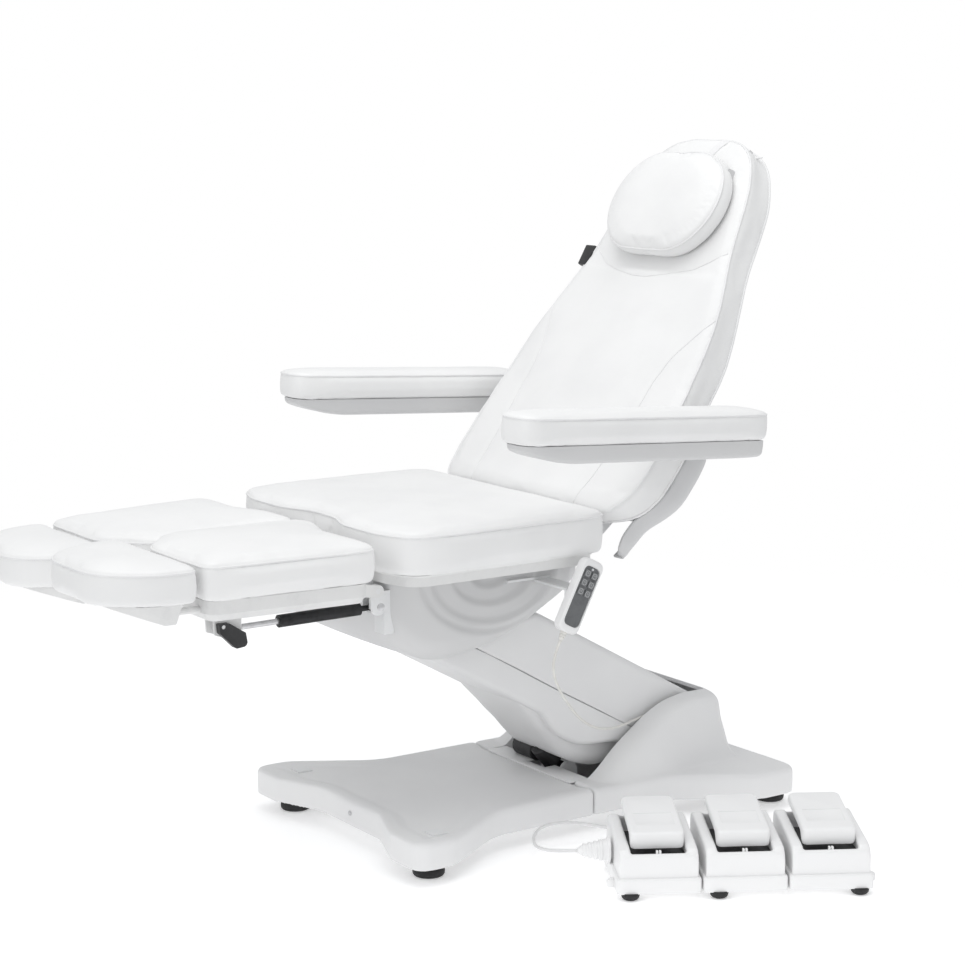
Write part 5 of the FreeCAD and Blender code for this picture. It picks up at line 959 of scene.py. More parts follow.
@dataclass
class Pad:
    """A boxed pad: sides between two seams, a crowned top and piping along the top seam."""

    name: str
    body: str
    node: str
    place: Matrix
    outline: Outline
    spine: Spine
    base: float
    seam: float
    top: float
    shoulder: float = 0.012
    belly: float = 0.0022
    voxel: float = 0.0045
    piping: float = 0.0021
    lumps: float = 9.0
    unevenness: float = 0.0011
    pressure: float = 0.0
    cap: float = 0.006
    fill: float = 0.75
    seed: float = 1.0
    spacing: float = 0.007

    def _ring(self, inset: float, height: float) -> list[Point3]:
        """One ring of the pad at an inset from its outline."""
        return [(*self.spine.inset(point, inset), height) for point in self.outline.points(self.spacing)]

    def _inner(self, share: float, height: float) -> list[Point3]:
        """One ring of the crown, a share of the way from the shoulder to the spine."""
        return [(*self.spine.inset(point, self.shoulder).lerp(self.spine.nearest(point), share), height)
                for point in self.outline.points(self.spacing)]

    def build(self) -> None:
        """Make the pad and its piping, and set both on their body."""
        surface = Surface(self.place)
        foot = self.base + 0.003
        rings = [self._ring(0.03, self.base), self._ring(0.007, self.base), self._ring(0.0015, foot)]
        for share in (0.12, 0.3, 0.5, 0.7, 0.88):
            bulge = self.belly * math.sin(math.pi * share)
            rings.append(self._ring(-bulge, foot + (self.seam - foot) * share))
        rings.append(self._ring(0.0, self.seam))
        rise = min(self.shoulder * 0.6, (self.top - self.seam) * 0.6)
        for inward, up in rounding(20, 42, 66, 90):
            rings.append(self._ring(self.shoulder * inward, self.seam + rise * up))
        left = self.top - self.seam - rise
        for share in (0.1, 0.22, 0.36, 0.52, 0.7, 0.88):
            rings.append(self._inner(share, self.seam + rise + left * (1 - (1 - share) ** 2.4)))
        surface.loft(rings)
        pad = surface.build(self.name, UPHOLSTERY, Shading.SOFT)
        reskin(pad, self.voxel, 4)
        if self.pressure:
            fill_with_air(pad, self.pressure, self.cap)
        unsettle(pad, self.unevenness, self.lumps, self.seed * 11.3)
        mount(pad, self.body, self.node)
        guide = [self.place @ Vector(p) for p in self._ring(0.0, self.seam)]
        piping = Surface()
        piping.tube(laid_on(pad, guide, self.piping * 0.25), self.piping, closed=True, sides=8)
        mount(piping.build(self.name + "_piping", PIPING_VINYL, Shading.SOFT), self.body)


@dataclass
class SeatCushion:
    """The seat's pad: two lobes at the front with a dip between them."""

    half_width: float = 0.3
    front: float = 0.495
    dip: float = 0.027
    rear: float = 0.054
    corner: float = 0.06
    base: float = 0.5524
    seam: float = 0.6215
    top: float = 0.639

    def outline(self) -> Outline:
        """The seat's plan."""
        w, f, d, c = self.half_width, -self.front, -self.front + self.dip, self.corner
        corners = ((w, -self.rear), (-w, -self.rear), (-w, d), (-w * 0.72, f), (-w * 0.36, f), (-w * 0.12, d),
                   (w * 0.12, d), (w * 0.36, f), (w * 0.72, f), (w, d))
        return Outline(corners, (c / 2, c / 2, c, c, c, c, c, c, c, c))

    def build(self) -> None:
        """Make the cushion."""
        Pad("seat_pad", "seat", "seat_cushion", Matrix.Identity(4), self.outline(),
            Spine((-0.12, -0.262), (0.12, -0.262)), self.base, self.seam, self.top, shoulder=0.014,
            voxel=0.005, unevenness=0.0014, seed=2.0, pressure=1.2, cap=0.003, fill=0.8).build()


@dataclass
class BackCushion:
    """The back's long cushion, with side bolsters, a thinner head panel and piping front and rear."""

    crown: float = 0.013
    shoulder: float = 0.01
    sections: Sections = (
        (0.038, 0.24, 0.03, 0.056), (0.05, 0.262, 0.014, 0.064), (0.07, 0.278, -0.005, 0.06),
        (0.095, 0.288, -0.016, 0.052), (0.13, 0.295, -0.025, 0.045), (0.17, 0.295, -0.031, 0.039),
        (0.24, 0.29, -0.039, 0.031), (0.32, 0.281, -0.048, 0.022), (0.4, 0.271, -0.056, 0.014),
        (0.46, 0.257, -0.057, 0.008), (0.52, 0.237, -0.059, 0.004), (0.59, 0.211, -0.064, 0.002),
        (0.65, 0.197, -0.068, 0.003), (0.72, 0.185, -0.067, 0.005), (0.78, 0.162, -0.06, 0.006),
        (0.818, 0.132, -0.056, 0.005), (0.838, 0.098, -0.049, 0.003), (0.847, 0.062, -0.041, -0.002))
    bolster: Line = (
        (0.254, 0.47), (0.234, 0.43), (0.2, 0.372), (0.188, 0.315), (0.188, 0.26), (0.18, 0.165),
        (0.174, 0.09), (0.168, 0.05))
    head_seam: Line = (
        (-0.197, 0.603), (-0.184, 0.588), (-0.136, 0.558), (-0.088, 0.545), (-0.03, 0.536), (0.01, 0.535),
        (0.073, 0.546), (0.132, 0.564), (0.168, 0.584), (0.199, 0.606))

    def front_at(self, x: float, station: float) -> float:
        """The height of the cushion's front at a place across it and along it."""
        width, _, front = smoothed(self.sections, station)
        bow = self.crown * (0.35 if station > 0.55 else 1.0)
        return front + bow * (1 - min(abs(x) / width, 1) ** 2)

    def _section(self, station: float) -> list[Point3]:
        """One closed section across the cushion."""
        width, rear, front = smoothed(self.sections, station)
        deep = front - rear
        soft = min(self.shoulder, deep * 0.3, width * 0.3)
        half: list[Point3] = []
        for i in range(13):
            x = (width - soft) * i / 12
            half.append((x, station, self.front_at(x, station) if i < 12 else front))
        for inward, up in rounding(30, 60, 90):
            half.append((width - soft + soft * up, station, front - soft * inward))
        for share in (0.2, 0.4, 0.6, 0.8):
            drawn = 0.004 * math.sin(math.pi * share)
            half.append((width - drawn, station, front - soft - (deep - 2 * soft) * share))
        for inward, up in rounding(0, 30, 60, 90):
            half.append((width - soft * inward, station, rear + soft - soft * up))
        half += [((width - soft) * (1 - i / 7), station, rear) for i in range(1, 8)]
        return half + [(-x, s, n) for x, s, n in reversed(half[1:-1])]

    def _edge(self, drop: Callable[[float, float, float], float]) -> list[Vector]:
        """A closed path round the cushion's edge, at a height that a function gives from front and rear."""
        low, high = self.sections[0][0] + 0.003, self.sections[-1][0] - 0.003
        stations = [low + (high - low) * i / 110 for i in range(111)]
        right = []
        for station in stations:
            width, rear, front = smoothed(self.sections, station)
            right.append(Vector((width, station, drop(width, rear, front))))
        path = right + [Vector((-p.x, p.y, p.z)) for p in reversed(right)]
        return resampled([BACK_FRAME @ p for p in path], 0.007)

    def build(self) -> None:
        """Make the cushion with its seams and piping."""
        first, last = self.sections[0][0], self.sections[-1][0]
        stations = [first, first + 0.004, first + 0.009]
        stations += [first + 0.015 + (last - first - 0.03) * i / 96 for i in range(97)]
        stations += [last - 0.009, last - 0.004, last]
        surface = Surface(BACK_FRAME)
        surface.loft([self._section(station) for station in stations])
        cushion = surface.build("back_pad", UPHOLSTERY, Shading.SOFT)
        reskin(cushion, 0.0055, 3)
        fill_with_air(cushion, 1.0, 0.003)
        unsettle(cushion, 0.0012, 7.0, 5.1)
        seams = [self._on_front(self.bolster, 1), self._on_front(self.bolster, -1),
                 self._on_front(self.head_seam, 1)]
        for path in seams:
            press_line(cushion, path[::3], 0.0016, 0.0065)
        mount(cushion, "backrest", "back_cushion")
        threads = Surface()
        for path in seams:
            threads.tube(laid_on(cushion, path, 0.0002, closed=False), 0.0009, sides=6)
        mount(threads.build("back_seams", PIPING_VINYL, Shading.SOFT), "backrest")
        piping = Surface()
        for drop in (lambda w, r, f: f - 0.003, lambda w, r, f: r + 0.008):
            piping.tube(laid_on(cushion, self._edge(drop), 0.0006), 0.0022, closed=True, sides=8)
        mount(piping.build("back_piping", PIPING_VINYL, Shading.SOFT), "backrest")
        self._strap(cushion)

    def _on_front(self, line: Sequence[Point2], sign: int) -> list[Vector]:
        """A line of places across and along, carried on to the cushion's front."""
        flat = resampled([Vector((x * sign, s)) for x, s in line], 0.006, closed=False)
        return [BACK_FRAME @ Vector((p.x, p.y, self.front_at(p.x, p.y))) for p in flat]

    @staticmethod
    def _ribbon(surface: Surface, cushion: Piece, route: Sequence[Point3], half: float,
                thickness: float) -> None:
        """Lay a flat band on the cushion along a route of points in the back's frame."""
        raw = resampled([BACK_FRAME @ Vector(p) for p in route], 0.004, closed=False)
        path = laid_on(cushion, raw, 0.0004, closed=False)
        tree = skin_tree(cushion)
        rings = []
        for i, point in enumerate(path):
            along = (path[min(i + 1, len(path) - 1)] - path[max(i - 1, 0)]).normalized()
            out = tree.find_nearest(point)[1]
            across = along.cross(out).normalized()
            out = across.cross(along).normalized()
            rings.append([point + across * w + out * n for w, n in
                          ((-half, -0.001), (-half, thickness * 0.5), (-half * 0.92, thickness),
                           (half * 0.92, thickness), (half, thickness * 0.5), (half, -0.001))])
        surface.loft(rings)

    def _strap(self, cushion: Piece) -> None:
        """The pillow's strap over the top of the back, its loose tail and the black tab at the far edge."""
        surface = Surface()
        over = ((0.03, 0.79, 0.013), (0.038, 0.815, 0.009), (0.046, 0.835, 0.004),
                (0.05, 0.847, -0.004), (0.052, 0.848, -0.016), (0.052, 0.846, -0.03),
                (0.05, 0.834, -0.044), (0.046, 0.805, -0.056))
        along = ((0.056, 0.848, -0.01), (0.07, 0.844, -0.014), (0.084, 0.838, -0.018),
                 (0.1, 0.83, -0.024))
        self._ribbon(surface, cushion, over, 0.01, 0.0014)
        self._ribbon(surface, cushion, along, 0.007, 0.0026)
        tail = [BACK_FRAME @ Vector(p) for p in ((0.098, 0.83, -0.025), (0.11, 0.824, -0.026),
                                                 (0.124, 0.822, -0.026), (0.139, 0.824, -0.026))]
        surface.tube(resampled(tail, 0.003, closed=False), lambda share: 0.0034 * (1 - 0.6 * share * share),
                     sides=8)
        mount(surface.build("pillow_strap", PIPING_VINYL, Shading.PRESSED), "backrest")
        tab = Surface(BACK_FRAME)
        tab.block((-0.24, 0.556, -0.018), (-0.209, 0.6, 0.002), 0.0025)
        mount(tab.build("edge_tab", BLACK_PLASTIC, Shading.PRESSED), "backrest")


@dataclass
class HeadPillow:
    """The round head pillow with piping on its front edge and a soft side band."""

    station: float = 0.688
    half_width: float = 0.164
    half_length: float = 0.107
    base: float = 0.0085
    thickness: float = 0.051

    def build(self) -> None:
        """Make the pillow."""
        w, t, c = self.half_width, self.half_length, self.station
        corners = ((w * 0.62, c - t), (w, c - t * 0.3), (w * 0.94, c + t * 0.55), (w * 0.5, c + t),
                   (-w * 0.5, c + t), (-w * 0.94, c + t * 0.55), (-w, c - t * 0.3), (-w * 0.62, c - t))
        Pad("head_pad", "head_pillow", "head_pillow", BACK_FRAME, Outline(corners, (t * 0.8,) * 8, 24),
            Spine((-0.055, c), (0.055, c)), self.base, self.base + self.thickness * 0.68,
            self.base + self.thickness, shoulder=0.016, belly=0.004, voxel=0.004, unevenness=0.001,
            lumps=12.0, seed=7.0, pressure=3.0, cap=0.004, fill=0.85).build()


@dataclass
class Armrest:
    """One armrest: long pad and narrower moulded shell."""

    side: Side
    centre: float = 0.38
    half_width: float = 0.048
    front: float = 0.51
    rear: float = 0.034
    shell_top: float = 0.01408
    shell_inset: float = 0.009
    pad_height: float = 0.0465
    level: float = 1.8
    middle: float = -0.23
    shell_depth: Line = (
        (0.0, 0.007), (0.01, 0.013), (0.035, 0.021), (0.075, 0.029), (0.115, 0.032), (0.46, 0.032),
        (0.515, 0.031), (0.53, 0.027), (0.538, 0.019))
    shell_width: Line = (
        (0.0, 0.45), (0.004, 0.66), (0.012, 0.84), (0.026, 0.95), (0.045, 1.0), (0.505, 1.0), (0.522, 0.95),
        (0.532, 0.86), (0.538, 0.76))

    @property
    def place(self) -> Matrix:
        """The armrest's frame, turned a little about the armrest's middle."""
        middle = Matrix.Translation((0, self.middle, 0))
        return ARMREST_FRAME @ middle @ Matrix.Rotation(math.radians(self.level), 4, "X") @ middle.inverted()

    def build(self) -> None:
        """Make the pad and the shell."""
        sign = self.side.value
        word = self.side.word
        mid, h = self.centre * sign, self.half_width
        outline = Outline(((mid + h, self.rear), (mid - h, self.rear), (mid - h, -self.front),
                           (mid + h, -self.front)), (h * 0.62, h * 0.62, h * 0.85, h * 0.85))
        base = self.shell_top + 0.0006
        Pad(f"{word}_armrest_pad", f"{word}_armrest", f"{word}_armrest_cushion", self.place, outline,
            Spine((mid, self.rear - h), (mid, h - self.front)), base, base + self.pad_height,
            base + self.pad_height + 0.0095,
            shoulder=0.011, belly=0.0016, voxel=0.004, unevenness=0.0007, seed=3.0 + sign, pressure=1.5,
            cap=0.002, fill=0.85).build()
        self._shell(mid, word)

    def _shell(self, mid: float, word: str) -> None:
        """The moulded shell under the pad: flat sides, rounded belly, rising to the front."""
        half = self.half_width - self.shell_inset
        top = self.shell_top
        first, last = -(self.front - self.shell_inset), self.rear - self.shell_inset
        surface = Surface(self.place)
        rings = []
        for i in range(61):
            along = (last - first) * (0.5 - 0.5 * math.cos(math.pi * i / 60))
            depth = smoothed(self.shell_depth, along)[0]
            wide = half * smoothed(self.shell_width, along)[0]
            curve = min(0.009, depth * 0.45)
            points = [(mid + wide, first + along, top), (mid + wide, first + along, top - depth * 0.35)]
            points += [(mid + wide - 0.0012 - curve * inward, first + along, top - depth + curve * (1 - up))
                       for inward, up in rounding(0, 22, 45, 68, 90)]
            points += [(2 * mid - x, y, z) for x, y, z in reversed(points)]
            rings.append(points)
        surface.loft(rings)
        # The tray takes the darker cover plastic: painted shade under the pad.
        shell = surface.build(f"{word}_armrest_tray", PAINTED_SHADE_COVER)
        mount(shell, f"{word}_armrest", f"{word}_armrest_shell")


# ---- leg rests


@dataclass
class LegRest:
    """The calf pad and the foot pad of one leg rest."""

    side: Side
    outer: float = 0.3
    inner: float = 0.009
    calf_base: float = 0.0366
    calf_top: float = 0.1153
    foot_base: float = 0.0386
    foot_top: float = 0.1093

    def build(self) -> None:
        """Make both pads."""
        place = LEG_FRAMES[self.side]
        word, sign = self.side.word, self.side.value
        o, n = self.outer, self.inner
        calf = Outline(((o, -0.062), (0.14, -0.062), (0.0556, -0.038), (n, -0.038), (n, -0.318),
                        (0.095, -0.384), (o, -0.384)), (0.022, 0.116, 0.058, 0.022, 0.052, 0.077, 0.022))
        foot = Outline(((o, -0.397), (n, -0.397), (n, -0.4776), (0.067, -0.557), (0.242, -0.557),
                        (o, -0.4776)), (0.018, 0.035, 0.109, 0.109, 0.109, 0.109))
        Pad(f"{word}_calf_pad", f"{word}_leg_rest", f"{word}_calf_cushion", place,
            calf.on_side(sign), Spine((0.185 * sign, -0.175), (0.185 * sign, -0.27)),
            self.calf_base, self.calf_top - 0.021, self.calf_top, shoulder=0.014, belly=0.003, voxel=0.0048,
            unevenness=0.0012, seed=11.0 + sign, pressure=1.5, cap=0.003, fill=0.8).build()
        Pad(f"{word}_foot_pad", f"{word}_foot_rest", f"{word}_foot_cushion", place,
            foot.on_side(sign), Spine((0.115 * sign, -0.466), (0.195 * sign, -0.466)),
            self.foot_base, self.foot_top - 0.018, self.foot_top, shoulder=0.013, belly=0.0024, voxel=0.0045,
            unevenness=0.001, seed=14.0 + sign, pressure=1.5, cap=0.003, fill=0.8).build()


# ---- moulded covers


@dataclass
class BackShell:
    """The light moulding behind the back cushion, deep at the seat and slim at the head."""

    deep: float = 0.12
    half_width: float = 0.288
    length: float = 0.838
    wall: float = 0.0045
    rings: int = 84
    notch: Box = ((-0.21, -0.03, -0.2), (0.21, 0.075, 0.06), 0.012)
    profile: Sections = (
        (-0.007, 0.33, 0.04, 0.88), (0.006, 0.37, -0.06, 0.915), (0.029, 0.41, -0.1, 0.93),
        (0.066, 0.483, -0.06, 0.94), (0.112, 0.667, 0.095, 0.975), (0.142, 0.775, 0.165, 0.99),
        (0.168, 0.833, 0.205, 0.995), (0.212, 0.883, 0.24, 0.995), (0.254, 0.925, 0.28, 0.985),
        (0.277, 0.94, 0.3, 0.97), (0.35, 0.86, 0.4, 0.86), (0.45, 0.7, 0.41, 0.74),
        (0.57, 0.61, 0.42, 0.64), (0.75, 0.56, 0.41, 0.52), (0.93, 0.53, 0.4, 0.42))

    def _half_section(self, share: float) -> list[Point3]:
        """Half a section from the middle of the rear round to the rim."""
        rear, rim, wide = smoothed(self.profile, share)
        station = self.length * share
        n_rear = -self.deep * rear
        n_rim = max(-self.deep * rim - 0.004, n_rear + 0.006)
        half = self.half_width * wide
        corner = min(0.045, (n_rim - n_rear) * 0.85, half * 0.5)
        points = []
        for i in range(14):
            x = (half - corner) * i / 13
            points.append((x, station, n_rear + 0.002 * (x / half) ** 2))
        for inward, up in rounding(*range(12, 91, 13)):
            points.append((half - corner + corner * up, station, n_rear + 0.002 + corner * inward))
        for i in range(1, 5):
            rise = (n_rim - n_rear - corner - 0.002) * i / 4
            points.append((half, station, n_rear + 0.002 + corner + rise))
        return points

    def build(self) -> None:
        """Make the shell as an open dished skin with a wall."""
        first, last = self.profile[0][0], self.profile[-1][0]
        surface = Surface(BACK_FRAME)
        rings = []
        for i in range(self.rings + 1):
            half = self._half_section(first + (last - first) * (i / self.rings))
            rings.append([(-x, s, n) for x, s, n in reversed(half[1:])] + half)
        surface.loft(rings, closed=False, caps=())
        # The moulding takes the darker cover plastic: painted shade on the side turned away from the light.
        shell = surface.build("back_moulding", PAINTED_SHADE_COVER)
        face_outwards(shell, BACK_FRAME @ Vector((0.0, 0.4, 0.0)))
        thicken(shell, self.wall)
        notch = Surface(BACK_FRAME)
        notch.block(*self.notch)
        carve(shell, [notch.cutter()])
        mount(shell, "backrest", "back_shell")


@dataclass
class SeatBowl:
    """The dished cover under the seat, with concentric steps pressed into both sides."""

    top: float = 0.527
    half_width: float = 0.225
    keel: tuple[tuple[float, float, float], ...] = (
        (-0.462, 0.494, 0.7), (-0.457, 0.462, 0.8), (-0.448, 0.436, 0.87), (-0.433, 0.413, 0.92),
        (-0.41, 0.393, 0.96), (-0.375, 0.379, 0.99), (-0.34, 0.376, 1.0), (-0.309, 0.379, 1.0),
        (-0.269, 0.386, 1.0), (-0.228, 0.397, 1.0), (-0.188, 0.412, 1.0), (-0.138, 0.435, 0.99),
        (-0.114, 0.448, 0.985), (-0.079, 0.467, 0.97), (-0.062, 0.48, 0.95))
    wall: float = 0.005
    step_centre: Point2 = (-0.24, 0.528)
    step_stretch: float = 1.45
    step_radii: tuple[float, ...] = (0.036, 0.066, 0.097, 0.116)
    step_depth: float = 0.008
    step_width: float = 0.0125
    rings: int = 130
    arm_slot: Box = ((-0.138, -0.386, 0.3), (0.138, 0.1, 0.522), 0.006)
    bar_slot: Box = ((0.19, -0.1516, 0.4954), (0.26, -0.1144, 0.5006), 0.0004)
    flank: Line = ((0.0, 0.0), (0.07, 0.0), (0.15, 1.0), (0.3, 1.0))

    def _rib(self, along: float) -> list[Point3]:
        """One section across the bowl, from one top edge round the keel to the other."""
        low, wide = smoothed(self.keel, along)
        side = self.half_width * wide
        deep = self.top - low
        corner = min(0.046, deep * 0.9)
        half = [(side, along, self.top - (deep - corner) * k / 10) for k in range(11)]
        for inward, up in rounding(*range(9, 91, 9)):
            half.append((side - corner * 0.75 * inward, along, low + corner * (1 - up)))
        inner = side - corner * 0.75
        half += [(inner * (1 - k / 12), along, low - 0.004 * (1 - (1 - k / 12) ** 2)) for k in range(1, 13)]
        return half + [(-x, y, z) for x, y, z in reversed(half[:-1])]

    def build(self) -> None:
        """Make the bowl, press its steps and open it for the head of the arm."""
        surface = Surface()
        first, last = self.keel[0][0], self.keel[-1][0]
        ribs = [self._rib(first + (last - first) * i / self.rings) for i in range(self.rings + 1)]
        rings = [resampled([Vector(point) for point in rib], 0.0, False, 200) for rib in ribs]
        surface.loft(rings, closed=False, caps=(0,))
        # The bowl takes the darker cover plastic: painted shade under the seat.
        bowl = surface.build("seat_bowl", PAINTED_SHADE_COVER, Shading.SOFT)
        face_outwards(bowl, Vector((0.0, -0.26, self.top)))
        self._press(bowl)
        thicken(bowl, self.wall)
        cutters = []
        for low, high, edge in (self.arm_slot, self.bar_slot):
            tool = Surface()
            tool.block(low, high, edge)
            cutters.append(tool.cutter())
        carve(bowl, cutters)
        shade(bowl)
        mount(bowl, "carriage", "seat_under_cover")

    def _press(self, bowl: Piece) -> None:
        """Set each band between two arcs further in than the band outside it."""
        middle = Vector(self.step_centre)
        for vertex in bowl.data.vertices:
            place = vertex.co
            flank = smoothed(self.flank, abs(place.x))[0]
            if flank <= 0.0:
                continue
            away = math.hypot((place.y - middle.x) / self.step_stretch, place.z - middle.y)
            depth = 0.0
            for radius in self.step_radii:
                low, high = radius - self.step_width, radius + 0.0015
                depth += self.step_depth * (1 - eased((away - low) / (high - low)))
            vertex.co.x -= math.copysign(depth * flank, place.x)


def lay_slab(surface: Surface, points: Sequence[Vector], spine: Spine, low: float, high: float, edge: float,
             turns: Sequence[Point2], inset: float = 0.0, crown: Sequence[float] = ()) -> None:
    """Add a closed body with upright sides and a rounded top edge.

    Args:
        surface: Where it is added.
        points: Its outline.
        spine: The line towards which it is set in.
        low: Its underside.
        high: Its top.
        edge: The size of the top's rounded edge.
        turns: The steps of the rounding.
        inset: How far the whole body is set in from the outline.
        crown: Shares of the way to the spine at which the flat top has another ring.
    """
    levels = [(0.0, low), (0.0, high - edge)]
    levels += [(edge * inward, high - edge + edge * up) for inward, up in turns]
    rings = [[(*spine.inset(p, inset + reach), level) for p in points] for reach, level in levels]
    rings += [[(*spine.inset(p, inset + edge).lerp(spine.nearest(p), share), high) for p in points]
              for share in crown]
    surface.loft(rings)


@dataclass
class BaseCovers:
    """The two wide base covers, the arched hood on the rear one and the rubber feet."""

    floor: float = 0.03
    top: float = 0.08
    edge: float = 0.01
    wall: float = 0.004
    tongue_half: float = 0.1365
    tongue_reach: float = 0.03
    notch: Point2 = (0.028, 0.004)
    slot_half: float = 0.138
    slot_rear: float = 0.3115
    front: Outline = Outline(
        ((0.205, -0.0065), (-0.205, -0.0065), (-0.205, -0.235), (-0.298, -0.385), (-0.298, -0.46),
         (-0.205, -0.46), (-0.1025, -0.418), (0.1025, -0.418), (0.205, -0.46), (0.298, -0.46),
         (0.298, -0.385), (0.205, -0.235)),
        (0.0085, 0.0085, 0.13, 0.068, 0.034, 0.034, 0.068, 0.068, 0.034, 0.034, 0.068, 0.13))
    rear: Outline = Outline(
        ((0.205, -0.005), (0.205, 0.165), (0.305, 0.315), (0.305, 0.414), (-0.305, 0.414), (-0.305, 0.315),
         (-0.205, 0.165), (-0.205, -0.005)),
        (0.0085, 0.13, 0.068, 0.034, 0.034, 0.068, 0.13, 0.0085))
    hood: Sections = (
        (0.0, 0.0, 1.06, 1.06), (0.2, 0.11, 0.98, 0.985), (0.44, 0.22, 0.955, 0.95),
        (0.66, 0.345, 0.935, 0.925), (0.84, 0.46, 0.93, 0.9), (0.95, 0.57, 0.9, 0.87),
        (1.0, 0.68, 0.86, 0.79))
    front_spine: Spine = Spine((0.0, -0.06), (0.0, -0.35))
    rear_spine: Spine = Spine((0.0, 0.06), (0.0, 0.31))
    hood_steps: int = 24
    hood_front: float = 0.008
    hood_length: float = 0.358
    hood_half: float = 0.192
    hood_foot: float = 0.066
    hood_rise: float = 0.215
    feet: Line = ((0.236, 0.399), (-0.236, 0.399), (0.236, -0.399), (-0.236, -0.399), (0.0, 0.0))
    foot_profile: Line = (
        (0.0, 0.022), (0.0012, 0.0262), (0.004, 0.0285), (0.009, 0.0292), (0.014, 0.0285), (0.0178, 0.026),
        (0.0202, 0.021), (0.0212, 0.014))

    def _slab(self, surface: Surface, outline: Outline, spine: Spine, inset: float, low: float,
              high: float) -> None:
        """One closed low body with a rounded top edge."""
        lay_slab(surface, outline.points(0.006), spine, low, high, self.edge,
                 rounding(18, 36, 54, 72, 90), inset, (0.25, 0.5, 0.75))

    def _hood_at(self, step: int) -> tuple[float, float, float, float]:
        """The hood's front, rear, half width and share of its height at one of its steps."""
        share = math.sin(math.pi / 2 * step / self.hood_steps)
        front, rear, wide = smoothed(self.hood, share)
        return (self.hood_front + self.hood_length * front, self.hood_front + self.hood_length * rear,
                self.hood_half * wide, share)

    def _hood(self, surface: Surface, inset: float, rise: float) -> None:
        """The arched hood as one closed body."""
        rings = []
        for step in range(self.hood_steps + 1):
            near, far, side, share = self._hood_at(step)
            near, far, side = near + inset, far - inset, side - inset
            corner = min(0.046, (far - near) * 0.45)
            outline = box_outline(side, -side, near, far, corner)
            flat = resampled(outline.points(0.004), 0.0, True, 160)
            rings.append([(*p, self.hood_foot + (rise - self.hood_foot) * share) for p in flat])
        surface.loft(rings)

    def build(self) -> None:
        """Make both covers and the feet."""
        self._front_cover()
        self._rear_cover()
        self._feet()

    def _front_cover(self) -> None:
        """The two-lobed front cover with its dished top, and the tongue that runs under the arm."""
        surface = Surface()
        self._slab(surface, self.front, self.front_spine, 0.0, self.floor, self.top)
        cover = surface.build("front_cover", COVER)
        reskin(cover, 0.0035, 2)
        for vertex in cover.data.vertices:
            if vertex.co.z > self.top - self.edge * 0.6:
                vertex.co.z -= self._dish(vertex.co.x, vertex.co.y)
        hollow = Surface()
        self._slab(hollow, self.front, self.front_spine, self.wall, self.floor - 0.02, self.top - 0.0125)
        carve(cover, [hollow.cutter()])
        shade(cover)
        mount(cover, "base", "front_base_cover")
        tongue = Surface()
        half, reach = self.tongue_half, self.tongue_reach
        side, start = self.notch
        low = self.top - self.wall
        spans = ((-half, -side, reach), (-side - 0.002, side + 0.002, start), (side, half, reach))
        for first, last, rear in spans:
            tongue.block((first, -0.016, low), (last, rear, self.top - 0.0002), 0.0012)
        mount(tongue.build("front_tongue", COVER, Shading.PRESSED), "base")

    def _dish(self, x: float, y: float) -> float:
        """How far the front cover's top lies under its highest level."""
        waist = 0.205 + 0.093 * eased((-y - 0.235) / 0.15)
        rim = min(waist - abs(x), y + 0.452 - 0.03 * eased((0.2 - abs(x)) / 0.1))
        inner = eased((rim - 0.018) / 0.03)
        middle = eased((0.24 - math.hypot(x * 0.55, y + 0.17)) / 0.15)
        return 0.0065 * inner * (1 - 0.75 * middle)

    def _rear_cover(self) -> None:
        """The rear cover with its hood, hollow and open to the front and above for the arm."""
        surface = Surface()
        self._slab(surface, self.rear, self.rear_spine, 0.0, self.floor, self.top)
        self._hood(surface, 0.0, self.hood_rise)
        cover = surface.build("rear_cover", COVER)
        reskin(cover, 0.0038, 4)
        hollow = Surface()
        self._slab(hollow, self.rear, self.rear_spine, self.wall, self.floor - 0.02, self.top - 0.006)
        self._hood(hollow, self.wall, self.hood_rise - 0.006)
        inside = hollow.cutter()
        reskin(inside, 0.006, 1)
        slot = Surface()
        slot.block((-self.slot_half, -0.06, 0.0), (self.slot_half, self.slot_rear, 0.3), 0.004)
        carve(cover, [inside, slot.cutter()])
        shade(cover)
        mount(cover, "base", "rear_base_cover")
        self._cheeks()

    def _cheeks(self) -> None:
        """The thin plates that close the hood's sides beside the arm."""
        cheeks = Surface()
        for inner, outer in ((self.slot_half + 0.0004, self.slot_half + 0.0024),
                             (-self.slot_half - 0.0024, -self.slot_half - 0.0004)):
            rings = []
            for step in range(self.hood_steps + 1):
                near, far, _, share = self._hood_at(step)
                near, far = near + self.wall * 0.8, far - self.wall * 0.8
                height = self.hood_foot + (self.hood_rise - 0.003 - self.hood_foot) * share
                rings.append([(inner, near, height), (outer, near, height), (outer, far, height),
                              (inner, far, height)])
            cheeks.loft(rings)
        mount(cheeks.build("hood_cheeks", COVER, Shading.PRESSED), "base")

    def _feet(self) -> None:
        """Domed black feet under the covers' corners."""
        surface = Surface()
        for x, y in self.feet:
            surface.lathe(self.foot_profile, (x, y, 0), UP, 40)
        mount(surface.build("domed_feet", RUBBER, Shading.SOFT), "base", "rubber_feet")


